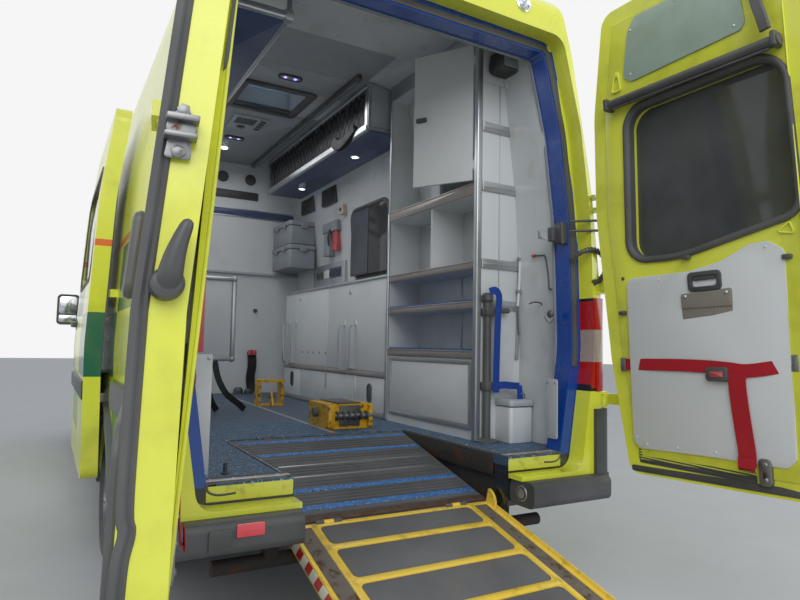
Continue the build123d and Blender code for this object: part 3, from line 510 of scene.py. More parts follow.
@dataclass(frozen=True)
class Lamp(Finish):
    """Tail lamp: red above and below a clear band."""

    clear: str = "AEA29A"
    line: str = "200406"
    lines_per_m: float = 90.0

    def pattern(self, tree: Tree, where: Socket) -> Socket:
        """Bands by height, with fine prisms.

        Args:
            tree: the material's nodes.
            where: the object's coordinates.

        Returns:
            The colour.
        """
        z = add(tree, "ShaderNodeSeparateXYZ", {0: where}).outputs[2]
        clear = band(tree, z, *LAMP_CLEAR)
        phase = maths(tree, "FRACT", maths(tree, "MULTIPLY", z, self.lines_per_m))
        lines = maths(tree, "GREATER_THAN", phase, 0.8)
        colour = mix(tree, clear, self.colour, self.clear)
        return mix(tree, maths(tree, "MULTIPLY", lines, 0.25), colour, self.line)


@dataclass(frozen=True)
class Glow(Finish):
    """A lit lamp."""

    strength: float = 4.0

    def extra(self, tree: Tree, shader: bpy.types.Node, where: Socket) -> None:
        """Makes the surface shine."""
        shader.inputs["Emission Color"].default_value = linear(self.colour)
        shader.inputs["Emission Strength"].default_value = self.strength


@dataclass(frozen=True)
class Fleck(Finish):
    """Safety floor: small light and dark flecks in a coloured base; smoother and greyer forward of a line."""

    light: str = "8FB2D0"
    dark: str = "1E3044"
    fleck_mm: float = 7.0
    front: str = "4A5A6C"
    front_from: float = 99.0
    fade: float = 0.25

    def pattern(self, tree: Tree, where: Socket) -> Socket:
        """Flecks by cells, and the greyer front floor.

        Args:
            tree: the material's nodes.
            where: the object's coordinates.

        Returns:
            The colour.
        """
        cells = add(tree, "ShaderNodeTexVoronoi", {"Vector": where, "Scale": 1000.0 / self.fleck_mm})
        share = add(tree, "ShaderNodeSeparateColor", {0: cells.outputs["Color"]}).outputs[0]
        near = maths(tree, "LESS_THAN", cells.outputs["Distance"], FLECK_REACH)
        light = maths(tree, "MULTIPLY", near, maths(tree, "GREATER_THAN", share, FLECK_LIGHT))
        dark = maths(tree, "MULTIPLY", near, maths(tree, "LESS_THAN", share, FLECK_DARK))
        colour = mix(tree, dark, mix(tree, light, self.colour, self.light), self.dark)
        along = add(tree, "ShaderNodeSeparateXYZ", {0: where}).outputs[1]
        return mix(tree, ramp(tree, along, self.front_from, self.front_from + self.fade), colour, self.front)


@dataclass(frozen=True)
class Woven(Finish):
    """Webbing or cloth: fine ribs across its length, with painted shade in the valleys between them."""

    rib_mm: float = 2.2
    valley: str = "101012"
    valley_share: float = 0.28

    def pattern(self, tree: Tree, where: Socket) -> Socket:
        """Painted shade in the valleys between the ribs.

        Args:
            tree: the material's nodes.
            where: the object's coordinates.

        Returns:
            The colour.
        """
        wave = add(tree, "ShaderNodeTexWave",
                   {"Vector": where, "Scale": WAVE_SCALE / self.rib_mm, "Distortion": 0.6},
                   bands_direction="DIAGONAL").outputs[1]
        return mix(tree, maths(tree, "MULTIPLY", wave, self.valley_share), self.colour, self.valley)


@dataclass(frozen=True)
class Rust(Finish):
    """Painted or bare steel with rust that comes through in patches."""

    rust: str = "6A3A20"
    rust_share: float = 0.7
    rust_mm: float = 45.0
    deep: str = "2E1A10"

    def pattern(self, tree: Tree, where: Socket) -> Socket:
        """Rust in patches, darker in their middle.

        Args:
            tree: the material's nodes.
            where: the object's coordinates.

        Returns:
            The colour.
        """
        start, full = RUST_EDGE
        grain = noise(tree, where, self.rust_mm, 6.0)
        patches = ramp(tree, grain, start - RUST_MORE * self.rust_share, full)
        tone = mix(tree, noise(tree, where, 9.0), self.rust, self.deep)
        return mix(tree, patches, self.colour, tone)


@dataclass(frozen=True)
class Hazard(Finish):
    """Reflective tape with slanted red blocks on a pale ground."""

    other: str = "E8E8D8"
    pitch: float = 0.11

    def pattern(self, tree: Tree, where: Socket) -> Socket:
        """Slanted blocks along Y and Z.

        Args:
            tree: the material's nodes.
            where: the object's coordinates.

        Returns:
            The colour.
        """
        parts = add(tree, "ShaderNodeSeparateXYZ", {0: where}).outputs
        slant = maths(tree, "DIVIDE", maths(tree, "ADD", parts[1], parts[2]), self.pitch)
        block = maths(tree, "GREATER_THAN", maths(tree, "FRACT", slant), 0.5)
        return mix(tree, block, self.colour, self.other)


@dataclass(frozen=True)
class Body(Finish):
    """Van paint outside with side blocks, and the lining or frame colour inside the skin."""

    lining: str = "C6CACE"
    margin: float = 0.034
    blocks: bool = True
    frame_only: bool = False
    housing: str = "14171A"
    lamp: str = "B00A12"
    lamp_clear: str = "A89690"
    sill: str = "1C1E20"
    dark_block: str = "00664A"
    pale_block: str = "6FA800"
    stripe: str = "E06A1E"

    def pattern(self, tree: Tree, where: Socket) -> Socket:
        """Outside paint, side blocks and what lies inside the skin.

        Args:
            tree: the material's nodes.
            where: the object's coordinates.

        Returns:
            The colour.
        """
        x, y, z = add(tree, "ShaderNodeSeparateXYZ", {0: where}).outputs
        change = maths(tree, "MULTIPLY", noise(tree, where, PAINT_MM), PAINT_SHARE)
        colour = mix(tree, change, self.colour, "FFFFFF")
        if self.blocks:
            colour = self.side_blocks(tree, colour, x, y, z)
        lining = self.lining
        if self.frame_only:
            across = maths(tree, "ABSOLUTE", x)
            height = band(tree, z, *PILLAR_DARK)
            out = maths(tree, "GREATER_THAN", across, HOUSING_FROM)
            colour = mix(tree, maths(tree, "MULTIPLY", out, height), colour, self.housing)
            lamp = maths(tree, "MULTIPLY", maths(tree, "GREATER_THAN", across, LAMP_FROM),
                         band(tree, z, *LAMP_FIELD))
            clear = maths(tree, "MULTIPLY", lamp, band(tree, z, *LAMP_CLEAR))
            colour = mix(tree, clear, mix(tree, lamp, colour, self.lamp), self.lamp_clear)
            lining = mix(tree, maths(tree, "LESS_THAN", z, SILL_TOP), self.lining, self.sill)
        return mix(tree, self.inside(tree, x, y, z), colour, lining)

    def side_blocks(self, tree: Tree, colour: Socket, x: Socket, y: Socket, z: Socket) -> Socket:
        """Two rows of green and yellow blocks along the side, over a pale green one.

        Args:
            tree: the material's nodes.
            colour: what lies under the blocks.
            x: the point's place across.
            y: its place along.
            z: its height.

        Returns:
            The colour.
        """
        side = maths(tree, "GREATER_THAN", maths(tree, "ABSOLUTE", x), SIDE_FROM)
        column = maths(tree, "FLOOR", maths(tree, "DIVIDE", maths(tree, "ADD", y, 10.0), BLOCK_LONG))
        row = maths(tree, "FLOOR", maths(tree, "DIVIDE", z, BLOCK_HIGH))
        odd = maths(tree, "GREATER_THAN", maths(tree, "MODULO", maths(tree, "ADD", column, row), 2.0), 0.5)
        dark = maths(tree, "MULTIPLY", maths(tree, "MULTIPLY", odd, side), band(tree, z, *BLOCKS_DARK))
        pale = maths(tree, "MULTIPLY", maths(tree, "MULTIPLY", odd, side), band(tree, z, *BLOCKS_PALE))
        stripe = maths(tree, "MULTIPLY", side, band(tree, z, *STRIPE))
        colour = mix(tree, dark, colour, self.dark_block)
        colour = mix(tree, pale, colour, self.pale_block)
        return mix(tree, stripe, colour, self.stripe)

    def depth(self, tree: Tree, pair: Sequence[tuple[float, float]], along: Socket, other: Socket) -> Socket:
        """How far a point lies inside a line of the front's outline.

        Args:
            tree: the material's nodes.
            pair: two (Y, other) points of the line, in millimetres.
            along: the point's Y.
            other: the point's height or its distance from the middle.

        Returns:
            The depth in metres, above 0 inside.
        """
        (y0, b0), (y1, b1) = pair
        length = math.hypot(y1 - y0, b1 - b0)
        ny, nb = -(b1 - b0) / length, (y1 - y0) / length
        reach = (ny * y0 + nb * b0) * MM + ny * STUDIO_SILL[0]
        here = maths(tree, "ADD", maths(tree, "MULTIPLY", along, ny), maths(tree, "MULTIPLY", other, nb))
        return maths(tree, "SUBTRACT", reach, here)

    def inside(self, tree: Tree, x: Socket, y: Socket, z: Socket) -> Socket:
        """1 inside the skin by more than the margin.

        Args:
            tree: the material's nodes.
            x: the point's place across.
            y: its place along.
            z: its height.

        Returns:
            1 or 0.
        """
        across = maths(tree, "ABSOLUTE", x)
        depth: Value = 9.0
        rows = SECTION + [(0.0, 3030.0, 0.0)]
        for (x0, z0, _), (x1, z1, _) in zip(rows, rows[1:]):
            length = math.hypot(x1 - x0, z1 - z0)
            nx, nz = (z1 - z0) / length, -(x1 - x0) / length
            reach = (nx * x0 + nz * z0) * MM
            along = maths(tree, "ADD", maths(tree, "MULTIPLY", across, nx), maths(tree, "MULTIPLY", z, nz))
            depth = maths(tree, "MINIMUM", depth, maths(tree, "SUBTRACT", reach, along))
        screen = self.depth(tree, NOSE[:-3:-1], y, z)
        nose = [self.depth(tree, (NOSE[k], NOSE[k - 1]), y, z) for k in (4, 3, 2)]
        nose = maths(tree, "MINIMUM", nose[0], maths(tree, "MINIMUM", nose[1], nose[2]))
        high = maths(tree, "GREATER_THAN", z, SCREEN_FOOT)
        ahead = maths(tree, "ADD", maths(tree, "MULTIPLY", screen, high),
                      maths(tree, "MULTIPLY", nose, maths(tree, "SUBTRACT", 1.0, high)))
        depth = maths(tree, "MINIMUM", depth, ahead)
        depth = maths(tree, "MINIMUM", depth, self.depth(tree, [(4760, 2860), (5130, 2330)], y, z))
        for (x0, y0), (x1, y1) in zip(PLAN[:3], PLAN[1:]):
            depth = maths(tree, "MINIMUM", depth, self.depth(tree, ((y0, x0), (y1, x1)), y, across))
        limit = maths(tree, "ADD", self.margin,
                      maths(tree, "MULTIPLY", maths(tree, "GREATER_THAN", z, ROOF_FROM), ROOF_MORE))
        deep = maths(tree, "GREATER_THAN", depth, limit)
        raked = maths(tree, "MULTIPLY",
                      maths(tree, "MAXIMUM", maths(tree, "SUBTRACT", z, RAKE_FROM * MM), 0.0), RAKE)
        from_rear = maths(tree, "SUBTRACT", y, maths(tree, "ADD", raked, STUDIO_SILL[0]))
        start = FRAME_START if self.frame_only else SKIN_START
        return maths(tree, "MULTIPLY", deep, maths(tree, "GREATER_THAN", from_rear, start))


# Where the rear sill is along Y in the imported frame, in metres; main sets it once the frame is loaded
STUDIO_SILL = [0.0]

# Paint under lacquer: an even, glaring yellow with soft reflections and wide, faint patches of dirt
YELLOW = Body("fluorescent yellow paint", "DDE200", 0.3, coat=0.5, dirt="7C7A1A", dirt_share=0.35)
DOOR_YELLOW = Finish("fluorescent yellow door paint", "DDE200", 0.3, coat=0.5, dirt="8C8A22", dirt_share=0.35)
FRAME_BLUE = Body("yellow skin and blue door frame", "DDE200", 0.26, coat=0.6, dirt="6E6A2A", dirt_share=0.2,
                  lining="06419A", margin=0.03, blocks=False, frame_only=True)
# The same paint painted darker as shade below the sill, with brown grime in patches of some centimetres where feet and
# ramps rub it
SHADE_YELLOW = Finish("worn yellow edge paint", "C9CC12", 0.4, coat=0.2, dirt="6B5A30", dirt_share=0.6,
                      dirt_mm=60)
# Moulded plastic with a grain of about a millimetre: broad, dim highlights
MOULDING = Finish("grey grained plastic", "3C4248", 0.55, grain_mm=1.2, dirt_share=0.35)
DARK_PLASTIC = Finish("dark grained plastic", "161B20", 0.5, grain_mm=1.2, dirt="5A5A52", dirt_share=0.35)
BLACK = Finish("black satin plastic", "131517", 0.38, grain_mm=1.0, dirt_share=0.12)
# Extruded rubber: nearly black under paler dust, with hardly a highlight
RUBBER = Finish("black rubber", "17181A", 0.62, grain_mm=0.8, dirt="46464A", dirt_share=0.3, dirt_mm=80)
# Clear plastic and toughened glass: sharp reflections, and a tint that veils what lies behind
CLEAR = Clear("clear plastic", "EEF4F6", 0.1)
GLASS = Clear("dark tinted glass", "1A2124", 0.06, through=0.35)
SCREEN = Pane("fixed glass", "22303A", 0.05, through=0.6, dirt_share=0.0)
# Coloured acrylic: glossy, with dark prism lines 11 mm apart
LAMP_RED = Lamp("red lamp plastic", "B00A12", 0.14, coat=0.6, dirt_share=0.05)
# Laminate and board inside: smooth and slightly shiny, with wide, faint marks
WHITE = Finish("white laminate", "CDD1D4", 0.38, coat=0.15, dirt="8A8C8A", dirt_share=0.22, dirt_mm=380)
# The white panels under the roof, painted grey as shade
SHADED_CEILING_WHITE = Finish("white ceiling panel", "9A9FA4", 0.5, dirt_share=0.1)
# Metal, from anodised and worn to polished: a satin sheen up to a mirror
SILVER = Finish("anodised aluminium", "B9BDC2", 0.34, metal=0.85, grain_mm=3.0, dirt_share=0.15)
PINK_SILVER = Finish("worn aluminium lip", "9C9490", 0.42, metal=0.45, dirt="6E6460", dirt_share=0.35,
                     dirt_mm=70)
SCUFFED = Finish("scuffed aluminium plate", "A9ADB0", 0.48, metal=0.7, grain_mm=6.0, grain=0.3,
                 dirt_share=0.3)
CHROME = Finish("polished steel", "D6DADF", 0.14, metal=1.0, dirt_share=0.05)
# Steel without paint: dull, under brown patches of some centimetres
STEEL = Rust("bare steel", "8A8C8E", 0.4, metal=0.8, rust_share=0.3)
RUSTY = Rust("rusted steel", "5A4A40", 0.75, metal=0.2, rust_share=1.0)
# Laminate and grained plastic: a flat tone with dim highlights
DEEP_BLUE = Finish("deep blue laminate", "0A2F66", 0.4, coat=0.2, dirt_share=0.08)
GREY = Finish("mid grey plastic", "7D848C", 0.5, grain_mm=1.4, dirt_share=0.2)
PALE_GREY = Finish("pale grey plastic", "A7AEB4", 0.45, grain_mm=1.2, dirt_share=0.15)
# Safety flooring with grit rolled in: matt, with light and dark flecks of 7 mm
FLOOR_BLUE = Fleck("blue safety floor", "37536F", 0.55, grain_mm=2.0, grain=0.3, dirt="5B5A55",
                   dirt_share=0.3, front_from=-1.15)
BAND_BLUE = Fleck("blue flecked strip", "3C74B4", 0.6, grain_mm=2.0, grain=0.4, dirt="4C4A46",
                  dirt_share=0.35, dirt_mm=60)
MAT_BLUE = Fleck("blue shelf mat", "2459A0", 0.7, grain_mm=2.0, dirt_share=0.1)
# Ribbed rubber and a grit panel: matt grains of 2 mm, worn browner in patches
RAMP_RUBBER = Finish("dark ribbed rubber", "3B3E42", 0.7, grain_mm=2.5, grain=0.5, dirt="6A6258",
                     dirt_share=0.5, dirt_mm=90)
GRIT = Finish("dark grit panel", "45464A", 0.85, grain_mm=2.2, grain=0.9, dirt="6E675C", dirt_share=0.5,
              dirt_mm=140)
# Ramp paint, grimed brown in patches of 5 cm, and a channel that has rusted under its dirt
RAMP_YELLOW = Finish("ramp yellow paint", "F2CC08", 0.36, coat=0.3, dirt="6B5A2A", dirt_share=0.5, dirt_mm=50)
CHANNEL = Rust("dirty ramp channel", "6C655C", 0.7, rust="5A4434", rust_share=0.5)
# Reflective tape, bright and flat, and a reflector whose cells show as a grain of 4 mm
TAPE = Hazard("red and white tape", "C01E14", 0.35, dirt_share=0.3, dirt_mm=50)
ORANGE = Finish("orange reflective tape", "E4641A", 0.35, dirt_share=0.15)
REFLECTOR = Finish("red reflector", "E0142E", 0.2, coat=0.7, grain_mm=4.0, grain=0.4, dirt_share=0.05)
# Webbing, carpet and cloth: no shine, and painted shade in the valleys between their ribs
RED_WEB = Woven("red webbing", "B00A20", 0.7, dirt_share=0.15)
BLUE_WEB = Woven("blue webbing", "0E3E9A", 0.7, dirt_share=0.15)
BLACK_WEB = Woven("black webbing", "18191B", 0.75, dirt_share=0.15)
CARPET = Woven("beige grey carpet", "8E8A80", 0.95, grain_mm=2.0, grain=0.9, dirt_share=0.3, rib_mm=6.0)
SEAT_CLOTH = Woven("dark seat cloth", "33363B", 0.9, grain_mm=1.5, grain=0.5, dirt_share=0.2)
# Painted board and moulded plastic: even and smooth
GREEN_GREY = Finish("pale green grey panel", "93A89A", 0.45, dirt_share=0.2)
RED_PLASTIC = Finish("red plastic", "B4101C", 0.35, coat=0.3, dirt_share=0.05)
# A lit lamp, and a blue dome that lets a third of the light through
LED = Glow("lit white lamp", "E6ECFF", 0.4, strength=6.0)
BEACON = Clear("blue beacon plastic", "0E34B4", 0.12, coat=0.6, through=0.3)
# Tyre rubber with road dust in patches of 7 cm
TYRE = Finish("tyre rubber", "1B1C1E", 0.75, grain_mm=1.5, grain=0.3, dirt="5C564C", dirt_share=0.5,
              dirt_mm=70)
# Wheel paint, underbody steel and castings: rust from a few spots to wide patches
RIM = Rust("silver wheel paint", "8D9297", 0.4, metal=0.5, rust_share=0.1)
UNDER = Rust("dirty underbody steel", "2C2B2A", 0.8, rust_share=0.5, rust_mm=90)
CAST = Rust("rough casting", "3A3836", 0.8, rust_share=0.5)
# Dark cab plastic: matt, with a fine grain
CAB_TRIM = Finish("dark cab trim", "2B2D30", 0.6, grain_mm=1.2, dirt_share=0.15)
# Machine paint on steel, rusted through in patches of 3 cm
WINCH = Rust("worn yellow steel", "D8A400", 0.45, coat=0.2, rust="4A3A28", rust_share=0.35, rust_mm=30)


class Form:
    """One piece made of simple solids, in millimetres from the rear sill."""

    def __init__(self, finish: Finish, warp: Callable[[Vector], Vector] | None = None) -> None:
        """Starts an empty form.

        Args:
            finish: what is added first has this finish.
            warp: what moves every point once the form is kept, if anything.
        """
        self.mesh = bmesh.new()
        self.warp = warp
        self.finishes: list[Finish] = []
        self.index = 0
        self.use(finish)

    def use(self, finish: Finish) -> "Form":
        """What is added from now on has this finish.

        Args:
            finish: the finish.

        Returns:
            This form.
        """
        if finish not in self.finishes:
            self.finishes.append(finish)
        self.index = self.finishes.index(finish)
        return self

    def face(self, verts: Sequence[bmesh.types.BMVert]) -> None:
        """Adds one face unless it has no area.

        Args:
            verts: the face's corners, in order.
        """
        if len(set(verts)) > 2:
            try:
                self.mesh.faces.new(verts).material_index = self.index
            except ValueError:
                log.debug("a face was there already")

    def skin(self, rings: Sequence[Sequence[bmesh.types.BMVert]], closed: bool = False) -> None:
        """Joins rings of equal length, one to the next.

        Args:
            rings: the rings.
            closed: whether the last ring joins the first.
        """
        pairs = list(zip(rings, rings[1:])) + ([(rings[-1], rings[0])] if closed else [])
        for low, high in pairs:
            for i in range(len(low)):
                self.face((low[i - 1], low[i], high[i], high[i - 1]))

    def plate(self, axis: str, rows: Sequence[Row], low: float, high: float, edge: float = 1.0,
              holes: Sequence[Sequence[Row]] = (), arc: float = 12.0) -> "Form":
        """An outline given thickness along an axis, with rounded edges and optional holes.

        Args:
            axis: "x" for (y, z) rows, "y" for (x, z) rows, "z" for (x, y) rows.
            rows: the outline's corners with their radii.
            low: where the plate starts along the axis.
            high: where it ends.
            edge: rounding of its edges.
            holes: outlines cut from it.
            arc: turn between points of a corner, in degrees.

        Returns:
            This form.
        """
        loops = [(rounded(rows, arc), 1.0)] + [(rounded(hole, arc), -1.0) for hole in holes]
        edge = min(edge, 0.45 * (high - low))
        levels = [(low, 0.0), (high, 0.0)]
        if edge > 0.05:
            levels = [(low, edge), (low + 0.3 * edge, 0.3 * edge), (low + edge, 0.0),
                      (high - edge, 0.0), (high - 0.3 * edge, 0.3 * edge), (high, edge)]
        place = {"x": lambda a, b, t: (t, a, b), "y": lambda a, b, t: (a, t, b),
                 "z": lambda a, b, t: (a, b, t)}[axis]
        ends: tuple[list, list] = ([], [])
        for points, sign in loops:
            rings = []
            for t, amount in levels:
                ring = shrunk(points, sign * amount) if amount else points
                rings.append([self.mesh.verts.new(place(p.x, p.y, t)) for p in ring])
            self.skin(rings)
            ends[0].append(rings[0])
            ends[1].append(rings[-1])
        for rings in ends:
            if not holes:
                self.face(rings[0])
                continue
            verts = [v for ring in rings for v in ring]
            for triangle in tessellate_polygon([[v.co for v in ring] for ring in rings]):
                self.face([verts[i] for i in triangle])
        return self

    def block(self, x0: float, x1: float, y0: float, y1: float, z0: float, z1: float,
              edge: float = 2.0) -> "Form":
        """A box with rounded edges.

        Args:
            x0: left end; x1 is the right one.
            y0: rear end; y1 is the front one.
            z0: foot; z1 is the top.
            edge: radius of the edges.

        Returns:
            This form.
        """
        sizes = (x1 - x0, y1 - y0, z1 - z0)
        edge = min(edge, 0.3 * min(sizes))
        thin = sizes.index(min(sizes))
        axis, (a0, a1), (b0, b1), (t0, t1) = (
            ("x", (y0, y1), (z0, z1), (x0, x1)), ("y", (x0, x1), (z0, z1), (y0, y1)),
            ("z", (x0, x1), (y0, y1), (z0, z1)))[thin]
        corners = oblong(a0, a1, b0, b1, edge)
        return self.plate(axis, corners, t0, t1, edge, arc=30.0)

    def turned(self, start: Spot, toward: Spot, profile: Sequence[tuple[float, float]],
               around: int = 24) -> "Form":
        """A turned shape.

        Args:
            start: where its axis starts.
            toward: direction of its axis.
            profile: (distance along the axis, radius) rows.
            around: sides of the turned shape.

        Returns:
            This form.
        """
        along = Vector(toward).normalized()
        side = along.orthogonal().normalized()
        up = along.cross(side)
        rings = []
        for t, radius in profile:
            middle = Vector(start) + along * t
            if radius < 0.01:
                rings.append([self.mesh.verts.new(middle)] * around)
                continue
            angles = [2 * math.pi * k / around for k in range(around)]
            rings.append([self.mesh.verts.new(middle + (side * math.cos(a) + up * math.sin(a)) * radius)
                          for a in angles])
        for low, high in zip(rings, rings[1:]):
            for i in range(around):
                corners = [low[i - 1], low[i], high[i], high[i - 1]]
                self.face([v for k, v in enumerate(corners) if v is not corners[k - 1]])
        for ring in (rings[0], rings[-1]):
            self.face(list(dict.fromkeys(ring)))
        return self

    def rod(self, start: Spot, end: Spot, radius: float, around: int = 20) -> "Form":
        """A round bar between two points.

        Args:
            start: one end.
            end: the other end.
            radius: its radius.
            around: sides of its cross section.

        Returns:
            This form.
        """
        length = (Vector(end) - Vector(start)).length
        c = min(1.5, 0.3 * radius, 0.3 * length)
        rows = [(0, radius - c), (c, radius), (length - c, radius), (length, radius - c)]
        return self.turned(start, tuple(Vector(end) - Vector(start)), rows, around)

    def sweep(self, path: Sequence[Vector], section: Sequence[tuple[float, float]], closed: bool = False,
              normal: Spot | None = None) -> "Form":
        """Carries a closed section of (across, out) rows along a path.

        Args:
            path: points of the path.
            section: corners of the section; out runs along the normal.
            closed: whether the path is a loop.
            normal: the direction of out, or None to let it follow the path.

        Returns:
            This form.
        """
        path = [Vector(p) for p in path]
        count = len(path)
        rings = []
        out = Vector(normal) if normal else None
        for i, p in enumerate(path):
            before = path[i - 1] if i or closed else p
            after = path[(i + 1) % count] if i < count - 1 or closed else p
            along = (after - before).normalized()
            if out is None:
                out = along.orthogonal().normalized()
            flat = (out - along * out.dot(along)).normalized()
            across = along.cross(flat)
            if normal is None:
                out = flat
            rings.append([self.mesh.verts.new(p + across * a + flat * b) for a, b in section])
        self.skin(rings, closed)
        if not closed:
            self.face(rings[0])
            self.face(rings[-1])
        return self

    def tube(self, path: Sequence[Vector], radius: float, closed: bool = False, around: int = 12) -> "Form":
        """A round hose, wire or bent bar along a path."""
        angles = [2 * math.pi * k / around for k in range(around)]
        return self.sweep(path, [(radius * math.cos(a), radius * math.sin(a)) for a in angles], closed)

    def ribbon(self, path: Sequence[Vector], width: float, thick: float, normal: Spot,
               closed: bool = False) -> "Form":
        """A strap or strip along a path, flat to the normal, with rounded edges.

        Args:
            path: its middle line.
            width: its width.
            thick: its thickness.
            normal: where its flat side faces.
            closed: whether the ends meet.

        Returns:
            This form.
        """
        w, t, e = width / 2, thick / 2, min(thick, width) * 0.22
        section = [(-w + e, -t), (w - e, -t), (w, -t + e), (w, t - e), (w - e, t), (-w + e, t), (-w, t - e),
                   (-w, -t + e)]
        return self.sweep(path, section, closed, normal)


@dataclass
class Rig:
    """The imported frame, and how pieces get their place in it."""

    frame: dict = field(default_factory=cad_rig.load)
    count: int = 0

    def __post_init__(self) -> None:
        """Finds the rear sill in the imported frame."""
        STUDIO_SILL[0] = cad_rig.box("load_floor")[0].y - 0.006

    def row(self) -> Matrix:
        """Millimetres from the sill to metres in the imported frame."""
        return Matrix.Translation((0, STUDIO_SILL[0], 0)) @ Matrix.Scale(MM, 4)

    def child(self, joint: str) -> str:
        """The body that a joint moves."""
        return next(j["child"] for j in self.frame["joints"] if j["name"] == joint)

    def opened(self, joint: str) -> Matrix:
        """Carries a piece from its joint's low end to the pose at rest.

        Args:
            joint: the joint's name.

        Returns:
            The carrying matrix.
        """
        found = next(j for j in self.frame["joints"] if j["name"] == joint)
        pivot = Matrix.Translation(found["pos_m"])
        turn = Matrix.Rotation(math.radians(-found["range_deg"][0]), 4, Vector(found["axis"]))
        return pivot @ turn @ pivot.inverted()

    def keep(self, form: Form, name: str, body: str = "van", slot: str = "",
             joint: str = "") -> bpy.types.Object:
        """Turns a form into a finished piece that rides on a body.

        Args:
            form: what was built.
            name: the piece's name.
            body: the CAD body it moves with.
            slot: the record's material slot that it goes with, if any.
            joint: the joint whose low end the form was modelled at, if any.

        Returns:
            The object.
        """
        if form.warp:
            for vert in form.mesh.verts:
                vert.co = form.warp(vert.co)
        place = (self.opened(joint) if joint else Matrix.Identity(4)) @ self.row()
        form.mesh.transform(place)
        bmesh.ops.recalc_face_normals(form.mesh, faces=form.mesh.faces)
        for edge in form.mesh.edges:
            edge.smooth = len(edge.link_faces) == 2 and edge.calc_face_angle(9.0) < SHARP_ANGLE
        for face in form.mesh.faces:
            face.smooth = True
        mesh = bpy.data.meshes.new(name)
        form.mesh.to_mesh(mesh)
        form.mesh.free()
        for finish in form.finishes:
            mesh.materials.append(finish.material())
        piece = bpy.data.objects.new(name, mesh)
        bpy.context.scene.collection.objects.link(piece)
        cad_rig.ride(piece, body)
        if slot:
            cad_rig.slot(piece, slot)
        self.count += 1
        log.info("piece %s: %d faces", name, len(mesh.polygons))
        return piece

    def dress(self, finish: Finish, *nodes: str) -> None:
        """Gives CAD nodes a finish.

        Args:
            finish: the finish.
            nodes: names of CAD nodes.
        """
        for node in nodes:
            mesh = self.frame["nodes"][node].data
            mesh.materials.clear()
            mesh.materials.append(finish.material())


class Side(Enum):
    """A side of the vehicle; the value is the sign of X."""

    RIGHT = 1
    LEFT = -1

    @property
    def word(self) -> str:
        """The side's name in piece and node names."""
        return self.name.lower()


@dataclass
class Screws:
    """Screw and rivet heads, gathered per body and set out with Geometry Nodes."""

    rig: Rig
    spots: dict[tuple[str, str], list[tuple[Vector, Vector, float]]] = field(default_factory=dict)
    finishes: dict[str, Finish] = field(default_factory=dict)

    def add(self, where: Sequence[Spot], facing: Spot, size: float, finish: Finish = SILVER,
            body: str = "van",
            joint: str = "", warp: Callable[[Vector], Vector] | None = None) -> None:
        """Notes heads of a size at some points.

        Args:
            where: their places, in millimetres.
            facing: the way the heads face.
            size: radius of a head.
            finish: their finish.
            body: the CAD body they ride on.
            joint: the joint whose low end the places are given at, if any.
            warp: what moves the points of their panel, if anything.
        """
        place = (self.rig.opened(joint) if joint else Matrix.Identity(4)) @ self.rig.row()
        self.finishes[finish.name] = finish
        row = self.spots.setdefault((body, finish.name), [])
        for spot in where:
            point = Vector(spot)
            point = warp(point) if warp else point
            row.append((place @ point, (place.to_3x3() @ Vector(facing)).normalized(), size * MM))

    def head(self) -> bpy.types.Object:
        """A domed head of radius 1 on its flat washer, along +Z.

        Returns:
            The head, as an object that only copies show.
        """
        form = Form(SILVER)
        rows = [(-0.3, 0.9), (0.0, 1.25), (0.18, 1.2), (0.2, 0.98), (0.42, 0.82), (0.58, 0.45), (0.45, 0.3),
                (0.45, 0.0)]
        form.turned((0, 0, 0), (0, 0, 1), rows, around=14)
        bmesh.ops.recalc_face_normals(form.mesh, faces=form.mesh.faces)
        mesh = bpy.data.meshes.new("screw_head")
        form.mesh.to_mesh(mesh)
        form.mesh.free()
        for polygon in mesh.polygons:
            polygon.use_smooth = True
        piece = bpy.data.objects.new("screw_head", mesh)
        bpy.context.scene.collection.objects.link(piece)
        return piece

    def finish(self) -> None:
        """Builds one piece per body and finish."""
        head = self.head()
        for (body, finish), rows in self.spots.items():
            name = f"screws_{body}_{finish.replace(' ', '_')}"
            Repeats(self.rig, name, body, self.finishes[finish]).build(head, rows)
        bpy.data.objects.remove(head)


